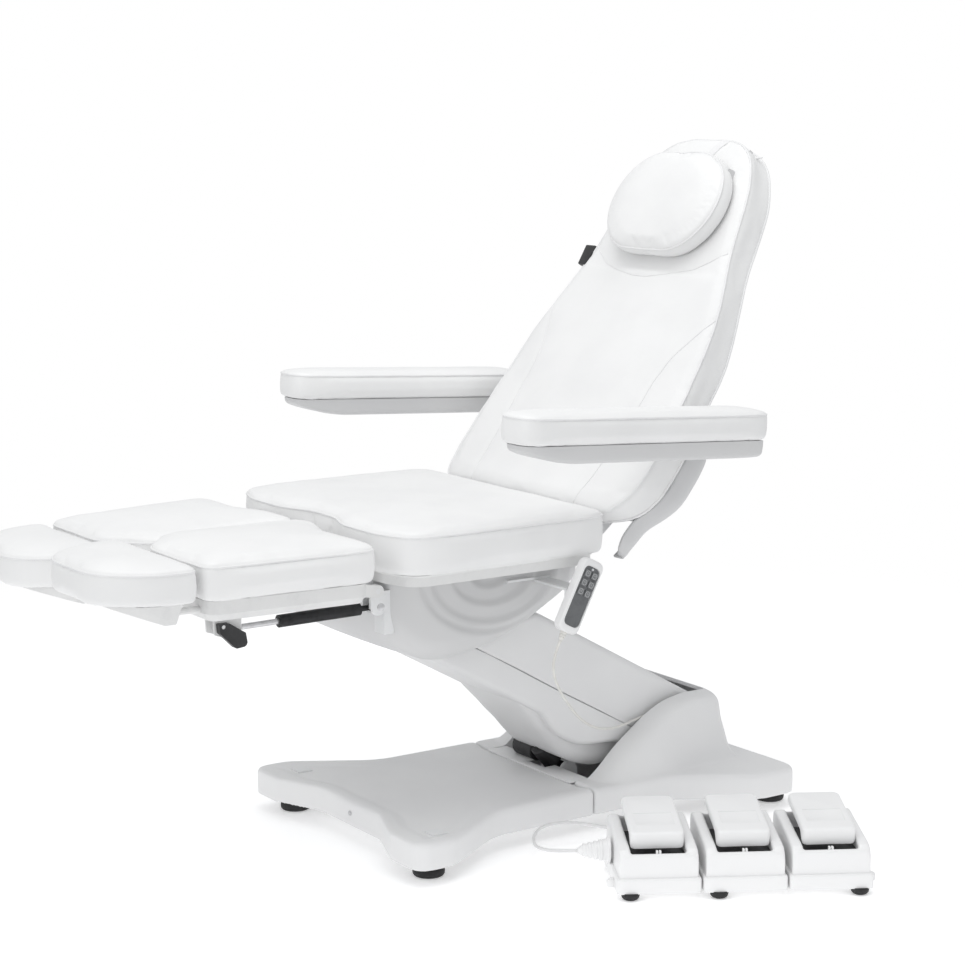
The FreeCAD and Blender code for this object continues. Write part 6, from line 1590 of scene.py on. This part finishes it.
@dataclass
class ArmCovers:
    """The lift arm's two covers: broad flat top, and a deeper rounded belly under a seam."""

    half_width: float = 0.126
    corner: float = 0.014
    wall: float = 0.004
    top_line: Line = (
        (-0.508, -0.022), (-0.5, -0.013), (-0.47, 0.021), (-0.436, 0.056), (-0.421, 0.0695),
        (-0.408, 0.0772), (-0.392, 0.0799), (-0.37, 0.0792), (-0.2, 0.0732), (0.0, 0.0658), (0.03, 0.0645),
        (0.042, 0.0615), (0.048, 0.056), (0.05, 0.05))
    seam_line: Line = (
        (-0.508, -0.0265), (-0.4, -0.0305), (-0.294, -0.036), (-0.18, -0.04), (-0.075, -0.044),
        (0.05, -0.044))
    lower_line: Line = (
        (-0.582, -0.079), (-0.5, -0.0825), (-0.395, -0.086), (-0.303, -0.09), (-0.283, -0.099),
        (-0.265, -0.108), (-0.235, -0.116), (-0.205, -0.118), (-0.175, -0.112), (-0.144, -0.099),
        (-0.11, -0.085), (-0.076, -0.075))
    nose_line: Line = (
        (-0.582, -0.052), (-0.574, -0.0475), (-0.54, -0.0365), (-0.508, -0.0265), (-0.4, -0.0305),
        (-0.294, -0.036), (-0.18, -0.04), (-0.076, -0.044))
    belly_line: Line = (
        (-0.366, -0.082), (-0.345, -0.09), (-0.324, -0.098), (-0.302, -0.106), (-0.278, -0.116),
        (-0.243, -0.1285), (-0.222, -0.137), (-0.205, -0.143), (-0.19, -0.148), (-0.175, -0.15),
        (-0.155, -0.15), (-0.13, -0.1465), (-0.104, -0.138), (-0.086, -0.12), (-0.076, -0.098))
    belly_half: float = 0.104
    rings: int = 110
    seam_gap: float = 0.0009
    mouth: Box = ((-0.076, -0.54, -0.06), (0.076, -0.385, 0.054), 0.008)
    inside: Box = ((-0.1, -0.56, -0.078), (0.1, 0.0, 0.04), 0.004)
    belly_slot: Box = ((-0.017, -0.18, -0.2), (0.017, -0.06, 0.04), 0.004)
    under_belly: Box = ((-0.1035, -0.326, -0.16), (0.1035, -0.08, -0.06), 0.004)
    turns: Line = tuple(rounding(0, 18, 36, 54, 72, 90))

    def _strip(self, surface: Surface, upper: Sequence[Point2], lower: Sequence[Point2], half: float,
               top_corner: float, low_corner: float, inset: float = 0.0) -> None:
        """A closed body between two lines of the arm's side, drawn across the arm."""
        first = max(upper[0][0], lower[0][0]) + inset
        last = min(upper[-1][0], lower[-1][0]) - inset
        rings = []
        for step in range(self.rings + 1):
            along = first + (last - first) * step / self.rings
            high = smoothed(upper, along)[0] - inset
            deep = max(high - smoothed(lower, along)[0] - inset, 0.0016)
            low = high - deep
            wide = half - inset
            right = [((wide - top_corner) * k / 6, along, high) for k in range(6)]
            for size, level, sign in ((top_corner, high, 1), (low_corner, low, -1)):
                size = min(size, deep * 0.46)
                right += [(wide - size + size * up, along, level - sign * size * inward)
                          for inward, up in self.turns[::sign]]
            right += [((wide - low_corner) * k / 6, along, low) for k in range(5, 0, -1)]
            rings.append(right + [(0.0, along, low)] + [(-x, y, z) for x, y, z in reversed(right[1:])])
        surface.loft(rings)

    def build(self) -> None:
        """Make both covers, with the shadow gap between them."""
        self._top_cover()
        self._lower_cover()

    def _top_cover(self) -> None:
        """The upper cover, hollow and open at its head for the carriage."""
        top, hollow, mouth = (Surface(ARM_FRAME) for _ in range(3))
        self._strip(top, self.top_line, self.seam_line, self.half_width, self.corner, 0.002)
        self._strip(hollow, self.top_line, [(a, n - 0.02) for a, n in self.seam_line], self.half_width,
                    self.corner, 0.002, self.wall)
        mouth.block(*self.mouth, 3)
        cover = top.build("arm_top", COVER)
        carve(cover, [hollow.cutter(), mouth.cutter()])
        shade(cover)
        mount(cover, "lift_arm", "arm_top_cover")

    def _lower_cover(self) -> None:
        """The lower cover: a lip under the seam and the belly between the arm's sides."""
        lip, belly, hollow, inner, slot, under = (Surface(ARM_FRAME) for _ in range(6))
        line, half = self.belly_line, self.belly_half
        seam = [(a, n - self.seam_gap) for a, n in self.nose_line]
        self._strip(lip, seam, self.lower_line, self.half_width, 0.003, 0.012)
        self._strip(belly, [(a, -0.06) for a, _ in line], line, half, 0.002, 0.03)
        self._strip(hollow, [(a, 0.01) for a, _ in line], line, half, 0.002, 0.026, self.wall)
        inner.block(*self.inside)
        slot.block(*self.belly_slot)
        under.block(*self.under_belly)
        cover = lip.build("arm_lower", COVER)
        deep = belly.build("arm_belly", COVER)
        carve(deep, [hollow.cutter(), slot.cutter()])
        carve(cover, [inner.cutter(), under.cutter()])
        for piece in (cover, deep):
            shade(piece)
        mount(cover, "lift_arm", "arm_bottom_cover")
        mount(deep, "lift_arm")


@dataclass
class LiftActuator:
    """The slim tube and motor that lift the arm, from the pin in the base to the rod."""

    foot: Point2 = (0.06, 0.064)
    crank: Point2 = (-0.426, -0.045)
    length: float = 0.15
    radius: float = 0.009
    motor_radius: float = 0.022
    motor_length: float = 0.06
    motor_reach: float = 0.085

    def build(self) -> None:
        """Make the tube with its end ring, the eye on the pin, the gearbox and the motor beside it."""
        start = Vector((0.0, *self.foot))
        along = (ARM_FRAME @ Vector((0.0, *self.crank)) - start).normalized()
        side = Vector((-1, 0, 0))
        long, r = self.length, self.radius
        m, reach = self.motor_radius, self.motor_length
        tube = ((0.0, 0.0), (0.0, r * 0.95), (0.001, r), (long - 0.014, r), (long - 0.012, r + 0.001),
                (long - 0.001, r + 0.001), (long, r * 0.9), (long, 0.0085))
        eye = ((0.0, 0.0), (0.0, 0.013), (0.001, 0.014), (0.015, 0.014), (0.016, 0.013), (0.016, 0.0))
        motor = ((0.0, 0.0), (0.0, m * 0.9), (0.002, m), (reach, m), (reach + 0.003, m * 0.8),
                 (reach + 0.003, 0.0))
        gearbox = ((0.0, 0.0), (0.0, 0.019), (0.002, 0.021), (0.046, 0.021), (0.048, 0.019), (0.048, 0.0))
        surface = Surface()
        surface.lathe(tube, start, along, 36)
        surface.lathe(eye, start - Vector((0.008, 0, 0)), ACROSS, 32)
        surface.lathe(motor, start + along * 0.045 - side * (reach - self.motor_reach), side, 36)
        surface.lathe(gearbox, start + along * 0.021, along, 36)
        made = surface.build("lift_tube", BLACK_PLASTIC, Shading.PRESSED)
        mount(made, "lift_actuator_body", "lift_actuator_body")


# ---- foot control


@dataclass
class FootControl:
    """Three pedals in a row on one housing, with black blocks as painted shade in the gaps under the pedals,
    half-round feet and a ribbed gland.
    """

    pitch: float = 0.15
    gap: float = 0.003
    half_depth: float = 0.095
    floor: float = 0.012
    plinth_top: float = 0.038
    body_top: float = 0.068
    front_wall_top: float = 0.079
    lip: float = 0.031
    cheek_top: float = 0.104
    cheek: float = 0.02
    pedal_front: float = -0.068
    pedal_rear: float = 0.074
    pedal_low: float = 0.112
    pedal_high: float = 0.136
    pedal_thickness: float = 0.016
    # Extent of the black block that paints the shade in the gap under each pedal.
    filler_half: float = 0.0485
    filler_front: float = -0.0755
    filler_rear: float = 0.066
    tab_halves: Line = ((-0.0045, -0.0008), (0.0008, 0.0045))
    tab_front: float = -0.08
    tab_rear: float = -0.073
    foot_profile: Line = ((0.0, 0.0095), (0.0015, 0.0126), (0.0045, 0.0152), (0.009, 0.0162), (0.013, 0.0162))
    step_in: float = 0.005
    gland: Point3 = (-0.2235, 0.01, 0.058)
    feet: Line = (
        (-0.199, -0.084), (-0.045, -0.084), (0.201, -0.084), (-0.196, 0.072), (0.046, 0.072), (0.196, 0.072))

    def build(self) -> None:
        """Make the housing, the pedals, the feet and the gland."""
        for word, step in (("near", -1), ("mid", 0), ("far", 1)):
            self._module(word, step * self.pitch)
        self._trim()
        for side in ("left", "middle", "right"):
            name = f"{side}_pedal"
            low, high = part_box(name)
            middle = PEDAL_FRAME.inverted() @ ((low + high) / 2)
            self._pedal(name, round(middle.x / self.pitch) * self.pitch)

    def _slab(self, surface: Surface, x: float, half: float, depth: float, low: float, high: float,
              corner: float, edge: float) -> None:
        """A closed block with rounded upright corners and a rounded top edge."""
        outline = box_outline(x + half, x - half, -depth, depth, corner)
        spine = Spine((x, -depth + half), (x, depth - half))
        lay_slab(surface, outline.points(0.005), spine, low, high, edge, rounding(22, 45, 68, 90))

    def _cheek(self, surface: Surface, outer: float, sign: int, depth: float) -> None:
        """One upright cheek beside the pedal, from its outer face inwards."""
        top, body, wide = self.cheek_top, self.body_top, self.cheek
        side_view = ((-depth, 0.03), (-depth, body), (-depth + 0.003, body + 0.01),
                     (-depth + 0.012, body + 0.018), (-depth + 0.03, body + 0.0215), (0.06, top - 0.001),
                     (depth - 0.014, top), (depth - 0.004, top - 0.005), (depth, top - 0.016), (depth, 0.03))
        faces = ((0.0, 0.004), (0.0012, 0.0012), (0.004, 0.0), (wide - 0.004, 0.0), (wide - 0.0012, 0.0012),
                 (wide, 0.004))
        surface.loft([[(outer - sign * reach, y * (1 - drop * 3), z - (drop if z > 0.04 else 0.0))
                       for y, z in side_view] for reach, drop in faces])

    def _module(self, word: str, x: float) -> None:
        """One third of the housing: plinth, box, two cheeks beside the pedal, a black block as painted shade
        in the gap under the pedal, and tab.
        """
        half = (self.pitch - self.gap) / 2
        inner = half - self.step_in
        depth = self.half_depth - 0.006
        plinth, body, gap, tab = (Surface(PEDAL_FRAME) for _ in range(4))
        self._slab(plinth, x, half, self.half_depth, self.floor, self.plinth_top, 0.008, 0.004)
        mount(plinth.build(f"pedal_plinth_{word}", PEDAL_PLASTIC), "base")
        self._slab(body, x, inner, depth, self.floor + 0.004, self.body_top, 0.014, 0.003)
        for sign in (-1, 1):
            self._cheek(body, x + sign * inner, sign, depth)
        body.block((x - inner + 0.004, -depth, 0.03),
                   (x + inner - 0.004, -depth + 0.0125, self.front_wall_top), 0.003)
        near, far = x - inner + 0.01, x + inner - 0.01
        body.loft([[(near, y, z), (far, y, z), (far, y, 0.03), (near, y, 0.03)] for y, z in
                   ((depth - 0.016, self.cheek_top - 0.004), (depth - 0.004, self.cheek_top - 0.008))])
        housing = body.build(f"pedal_box_{word}", PEDAL_PLASTIC, Shading.SOFT)
        reskin(housing, 0.0023, 3)
        mount(housing, "base", *(("pedal_housing",) if word == "mid" else ()))
        # A black block under the pedal: painted shade in the gap between the pedal and the housing.
        gap.block((x - self.filler_half, self.filler_front, self.body_top - 0.004),
                  (x + self.filler_half, self.filler_rear, self.body_top + 0.006), 0.002)
        mount(gap.build(f"pedal_gap_{word}", BLACK_PLASTIC, Shading.PRESSED), "base")
        for first, last in self.tab_halves:
            tab.block((x + first, self.tab_front, self.body_top - 0.002),
                      (x + last, self.tab_rear, self.front_wall_top + 0.0045), 0.0008)
        mount(tab.build(f"pedal_tab_{word}", PEDAL_PLASTIC, Shading.PRESSED), "base")

    def _pedal(self, name: str, x: float) -> None:
        """One pedal: sloping plate with a deep front lip and a sunk panel."""
        run = self.pedal_rear - self.pedal_front
        slope = math.atan2(self.pedal_high - self.pedal_low, run)
        length = run / math.cos(slope)
        place = (PEDAL_FRAME @ Matrix.Translation((x, self.pedal_front, self.pedal_low))
                 @ Matrix.Rotation(slope, 4, "X"))
        half = (self.pitch - self.gap) / 2 - self.step_in - self.cheek - 0.0018
        outline = box_outline(half, -half, 0.0, length, 0.01, 0.014, 0.014, 0.01)
        points = outline.points(0.004)
        spine = Spine((0.0, half), (0.0, length - half))
        thick, edge = self.pedal_thickness, self.step_in
        drop = [thick + (self.lip - thick) * eased((0.03 - p.y) / 0.024) for p in points]
        rings = [[(*spine.inset(p, reach), -d + up) for p, d in zip(points, drop)]
                 for reach, up in ((0.004, 0.0), (0.001, 0.001), (0.0, 0.004))]
        rings += [[(*spine.inset(p, edge * inward), -edge + edge * up) for p in points]
                  for inward, up in rounding(0, 22, 45, 68, 90)]
        surface = Surface(place)
        surface.loft(rings)
        pedal = surface.build(f"{name}_plate", PEDAL_PLASTIC)
        panel = Surface(place)
        panel.block((-half + 0.013, length * 0.22, -0.0009), (half - 0.013, length * 0.52, 0.01), 0.0004)
        carve(pedal, [panel.cutter()])
        shade(pedal)
        mount(pedal, name, name)

    def _trim(self) -> None:
        """Feet, screw lugs and the ribbed gland."""
        feet = Surface(PEDAL_FRAME)
        for x, y in self.feet:
            feet.lathe(self.foot_profile, (x, y, 0), UP, 28)
        mount(feet.build("pedal_feet", RUBBER, Shading.SOFT), "base")
        gland = Surface(PEDAL_FRAME)
        ribs = [(0.0, 0.023), (0.004, 0.0228), (0.006, 0.0198), (0.012, 0.0192)]
        for rib in range(4):
            at = 0.013 + rib * 0.0095
            size = 0.0178 - rib * 0.0022
            ribs += [(at, size), (at + 0.0012, size + 0.0012), (at + 0.0052, size + 0.001),
                     (at + 0.0064, size - 0.0018), (at + 0.0082, size - 0.002)]
        ribs += [(0.0525, 0.0072), (0.0565, 0.005)]
        gland.lathe(ribs, self.gland, (-1, 0, 0), 32)
        mount(gland.build("pedal_gland", PEDAL_PLASTIC), "base")
        lugs = Surface(PEDAL_FRAME)
        for x, y in ((-0.2275, -0.05), (0.2275, -0.05)):
            low = self.floor + 0.001
            lugs.lathe(((0.0, 0.0085), (0.011, 0.0085), (0.012, 0.0078)), (x, y, low), UP, 24)
            lugs.lathe(((0.0, 0.0048), (0.0022, 0.0044), (0.003, 0.003)), (x, y, low + 0.0118), UP, 20)
        mount(lugs.build("pedal_lugs", PEDAL_PLASTIC), "base")


# ---- handset and small fittings


@dataclass
class Handset:
    """The handset's housing and sunk panel, the keys' outlines, the lamp and the cable's relief."""

    back: float = 0.3068
    face: float = 0.3288
    half_width: float = 0.0235
    half_length: float = 0.069
    corner: float = 0.016
    panel_half_width: float = 0.0178
    panel_half_length: float = 0.0558
    recess: float = 0.0022
    relief: Point3 = (0.318, 0.0, -0.068)
    relief_profile: Line = (
        (0.0, 0.0066), (0.003, 0.0066), (0.0045, 0.0052), (0.006, 0.0052), (0.007, 0.006), (0.0085, 0.006),
        (0.0095, 0.0046), (0.011, 0.0046), (0.012, 0.0054), (0.0132, 0.0052), (0.0145, 0.0038),
        (0.0172, 0.0031))
    lamp: Point2 = (0.0, 0.0515)
    lamp_profile: Line = ((0.0, 0.0026), (0.0009, 0.0024), (0.0014, 0.0012))
    key_face: float = 0.3299
    ring_radius: float = 0.0047
    dash: Line = ((-0.0018, 0.0), (0.0, 0.0014), (0.0018, 0.0))
    window_gap: float = 0.0007
    edge: float = 0.005

    def _plate(self, surface: Surface, half_width: float, half_length: float, corner: float,
               levels: Sequence[Point2]) -> None:
        """A closed flat form facing out, from levels of height along X and inset."""
        outline = box_outline(half_width, -half_width, -half_length, half_length, corner)
        points = resampled(outline.points(0.001), 0.0, True, 120)
        spine = Spine((0.0, -half_length + half_width), (0.0, half_length - half_width))
        surface.loft([[(height, *spine.inset(p, inset)) for p in points] for height, inset in levels])

    def build(self) -> None:
        """Make the housing, its sunk panel and the small pieces."""
        housing = Surface(HANDSET_FRAME)
        edge = self.edge
        levels = [(self.back, 0.006), (self.back + 0.0012, 0.0022), (self.back + 0.004, 0.0003),
                  (self.back + 0.007, 0.0), (self.face - edge, 0.0)]
        levels += [(self.face - edge + edge * up, edge * inward * 0.8)
                   for inward, up in rounding(18, 36, 54, 72, 90)]
        self._plate(housing, self.half_width, self.half_length, self.corner, levels)
        body = housing.build("handset_housing", HANDSET_WHITE)
        window = Surface(HANDSET_FRAME)
        grown = self.window_gap
        self._plate(window, self.panel_half_width + grown, self.panel_half_length + grown, self.corner * 0.75,
                    ((self.face - self.recess, 0.0), (self.face + 0.01, 0.0)))
        carve(body, [window.cutter()])
        shade(body)
        mount(body, "carriage", "handset_body")
        panel = Surface(HANDSET_FRAME)
        self._plate(panel, self.panel_half_width, self.panel_half_length, self.corner * 0.75,
                    ((self.face - self.recess - 0.001, 0.0), (self.face - 0.0016, 0.0),
                     (self.face - 0.0012, 0.0004)))
        film = panel.build("handset_film", KEYPAD, Shading.PRESSED)
        mount(film, "carriage", "handset_panel")
        for name in ("raise_lift", "lower_lift", "raise_back", "lower_back", "tilt_up", "tilt_down"):
            self._mark(name)
        self._small()

    def _mark(self, name: str) -> None:
        """The light ring and dash printed on one key."""
        low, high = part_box(f"key_{name}")
        middle = HANDSET_FRAME.inverted() @ ((low + high) / 2)
        surface = Surface(HANDSET_FRAME)
        ring, dash = ([Vector((self.key_face, middle.y + y, middle.z + z)) for y, z in line]
                      for line in (circle(self.ring_radius, 28), self.dash))
        surface.tube(ring, 0.00032, closed=True, sides=6)
        surface.tube(dash, 0.00034, sides=6)
        mount(surface.build(f"mark_{name}", KEY_MARK, Shading.SOFT), f"key_{name}")

    def _small(self) -> None:
        """The cable's relief and the lamp."""
        relief = Surface(HANDSET_FRAME)
        relief.lathe(self.relief_profile, self.relief, (0, 0, -1), 24)
        mount(relief.build("handset_relief", BEIGE_CABLE), "carriage")
        lamp = Surface(HANDSET_FRAME)
        lamp.lathe(self.lamp_profile, (self.face - 0.0015, *self.lamp), ACROSS, 20)
        mount(lamp.build("handset_lamp", KEY_MARK, Shading.SOFT), "carriage")


@dataclass
class Fittings:
    """The bolts at the leg rests' hinges, the arm's cable gland and the screw in the front skirt."""

    bolt: Point3 = (0.31, -0.541, 0.516)
    bolt_head: Line = ((0.0, 0.007), (0.0025, 0.0068), (0.0036, 0.005))
    gland: Point3 = (0.1275, 0.268, 0.189)
    gland_profile: Line = (
        (0.0, 0.0085), (0.002, 0.0082), (0.003, 0.006), (0.0072, 0.0052), (0.0085, 0.0036))
    screw: Point3 = (0.0, -0.4185, 0.055)
    screw_head: Line = (
        (0.0, 0.0048), (0.0012, 0.0046), (0.0016, 0.0036), (0.0004, 0.0026), (0.0004, 0.0008))

    def build(self) -> None:
        """Turn each fitting and set it on its body."""
        for side in Side:
            x, y, z = self.bolt
            bolt = Surface()
            bolt.lathe(self.bolt_head, (x * side.value, y, z), (side.value, 0, 0), 20)
            mount(bolt.build(f"{side.word}_seat_bolts", STEEL), "seat")
        gland, screw = Surface(), Surface()
        gland.lathe(self.gland_profile, self.gland, FORWARD, 24)
        mount(gland.build("arm_gland", BLACK_PLASTIC), "lift_arm")
        screw.lathe(self.screw_head, self.screw, FORWARD, 20)
        mount(screw.build("skirt_screw", STEEL), "base")


# ---- cords


@dataclass
class Cord:
    """A cord whose tube follows its route's smooth line."""

    name: str
    node: str
    finish: Finish
    length: float
    diameter: float
    route: tuple[Point3, ...]

    def centreline(self) -> list[Vector]:
        """Points read along the route's own spline."""
        data = bpy.data.curves.new(self.name + "_route", "CURVE")
        data.dimensions = "3D"
        data.resolution_u = 14
        spline = data.splines.new("NURBS")
        spline.points.add(len(self.route) - 1)
        for point, place in zip(spline.points, self.route):
            point.co = (*place, 1.0)
        spline.order_u = 3
        spline.use_endpoint_u = True
        holder = into_scene(self.name + "_route", data)
        bpy.context.view_layer.update()
        line = bpy.data.meshes.new_from_object(holder)
        points = [vertex.co.copy() for vertex in line.vertices]
        bpy.data.meshes.remove(line)
        bpy.data.objects.remove(holder)
        bpy.data.curves.remove(data)
        return points

    def build(self) -> Piece:
        """Make the tube."""
        path = self.centreline()
        surface = Surface()
        surface.tube(path, self.diameter / 2, sides=14)
        piece = surface.build(self.name, self.finish, Shading.SOFT)
        return piece


HANDSET_CORD = Cord(
    "handset_lead", "handset_cable", BEIGE_CABLE, 0.616, 0.005,
    ((0.318, -0.17225, 0.4116), (0.318, -0.1861, 0.38499), (0.311, -0.183, 0.352), (0.297, -0.16, 0.316),
     (0.276, -0.124, 0.279), (0.25, -0.084, 0.245), (0.222, -0.04, 0.216), (0.196, 0.008, 0.194),
     (0.172, 0.054, 0.181), (0.151, 0.098, 0.176), (0.134, 0.142, 0.177), (0.1305, 0.184, 0.182),
     (0.1305, 0.228, 0.189), (0.1305, 0.268, 0.189)))
PEDAL_CORD = Cord(
    "pedal_lead", "pedal_cable", WHITE_CABLE, 0.723, 0.0065,
    ((0.41734, -0.20649, 0.058), (0.40434, -0.229, 0.058), (0.382, -0.246, 0.056), (0.348, -0.246, 0.053),
     (0.312, -0.226, 0.051), (0.28, -0.2, 0.05), (0.257, -0.17, 0.05), (0.247, -0.135, 0.049),
     (0.251, -0.098, 0.046), (0.266, -0.058, 0.038), (0.288, -0.016, 0.026), (0.306, 0.028, 0.014),
     (0.312, 0.074, 0.0055), (0.296, 0.116, 0.004), (0.26, 0.146, 0.004), (0.212, 0.156, 0.004),
     (0.168, 0.15, 0.011), (0.13, 0.14, 0.024), (0.098, 0.14, 0.024)))


def lay_cords() -> None:
    """Lay the handset's lead and the foot control's cable."""
    lead = HANDSET_CORD.build()
    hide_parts(HANDSET_CORD.node)
    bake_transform(lead)
    LOG.info("%s between carriage and lift_arm", lead.name)
    mount(PEDAL_CORD.build(), "base", PEDAL_CORD.node)


# ---- finishes of the solids' nodes


def dress_nodes(frame: dict[str, object]) -> None:
    """Give each node of the solids the finish of its slot, and the keys their own."""
    for part in frame["record"]["subparts"]:
        finish = KEY_TOP if part["node"].startswith("key_") else NODE_FINISHES[part["material_slot"]]
        node = frame["nodes"][part["node"]]
        node.data.materials.clear()
        node.data.materials.append(finish.material())


# ---- studio


@dataclass
class Lamp:
    """A broad soft lamp."""

    name: str
    place: Point3
    aim: Point3
    size: float
    power: float

    def build(self) -> None:
        """Hang the lamp."""
        data = bpy.data.lights.new(self.name, "AREA")
        data.shape = "SQUARE"
        data.size = self.size
        data.energy = self.power
        made = into_scene(self.name, data)
        made.location = self.place
        made.rotation_euler = (Vector(self.aim) - Vector(self.place)).to_track_quat("-Z", "Y").to_euler()


@dataclass
class StudioSet:
    """Camera, white surroundings, floor and soft lamps."""

    camera_place: Point3 = (3.512, -2.529, 1.348)
    camera_turn: Point3 = (80.58, 0.0, 55.57)
    lens: float = 85.33
    around: float = 0.7
    lamps: tuple[Lamp, ...] = (
        Lamp("overhead", (0.3, -0.5, 3.2), (0.1, -0.2, 0.4), 2.6, 35.0),
        Lamp("front", (1.2, -3.4, 1.9), (0.0, -0.3, 0.5), 1.8, 17.0),
        Lamp("side", (3.6, 0.6, 2.0), (0.0, -0.1, 0.5), 1.8, 3.0),
    )

    def camera(self) -> None:
        """Set the camera where the photograph was taken."""
        data = bpy.data.cameras.new("camera")
        data.lens = self.lens
        data.sensor_width = 36.0
        data.sensor_fit = "AUTO"
        made = into_scene("camera", data)
        made.location = self.camera_place
        made.rotation_euler = tuple(math.radians(turn) for turn in self.camera_turn)
        bpy.context.scene.camera = made

    def surroundings(self) -> None:
        """Light the scene from all round, and show plain white to the camera."""
        world = bpy.data.worlds.new("surroundings")
        bpy.context.scene.world = world
        world.use_nodes = True
        tree = world.node_tree
        tree.nodes.clear()
        path = tree.nodes.new("ShaderNodeLightPath")
        mix = tree.nodes.new("ShaderNodeMixShader")
        out = tree.nodes.new("ShaderNodeOutputWorld")
        lights = ((0.95, 0.96, 0.97, 1.0), self.around), ((1.0, 1.0, 1.0, 1.0), 1.0)
        for socket, (colour, strength) in enumerate(lights, 1):
            light = tree.nodes.new("ShaderNodeBackground")
            light.inputs["Color"].default_value = colour
            light.inputs["Strength"].default_value = strength
            tree.links.new(light.outputs["Background"], mix.inputs[socket])
        tree.links.new(path.outputs["Is Camera Ray"], mix.inputs["Fac"])
        tree.links.new(mix.outputs["Shader"], out.inputs["Surface"])
        bpy.context.scene.view_settings.view_transform = "Standard"

    def floor(self) -> None:
        """Lay a wide floor that fades into the white surroundings."""
        surface = Surface()
        surface.loft([[(x, y, -0.0002) for x, y in circle(radius, 64)]
                      for radius in (0.4, 0.8, 1.2, 1.6, 2.0, 2.4, 2.8)], caps=(0,))
        surface.build("studio_floor", Studio(), Shading.SOFT, slotted=False)

    def build(self) -> None:
        """Set the floor, the surroundings and the lamps."""
        self.surroundings()
        self.floor()
        for lamp in self.lamps:
            lamp.build()


# ---- the chair


def main() -> None:
    """Build the chair's looks in order, from the floor up."""
    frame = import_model()
    studio = StudioSet()
    studio.camera()
    lay_cords()
    dress_nodes(frame)
    BaseCovers().build()
    ArmCovers().build()
    LiftActuator().build()
    SeatBowl().build()
    SeatCushion().build()
    BackShell().build()
    BackCushion().build()
    HeadPillow().build()
    for side in Side:
        Armrest(side).build()
        LegRest(side).build()
    FootControl().build()
    Handset().build()
    Fittings().build()
    studio.build()


if __name__ == "__main__":
    logging.basicConfig(level=logging.INFO, format="%(message)s")
    main()
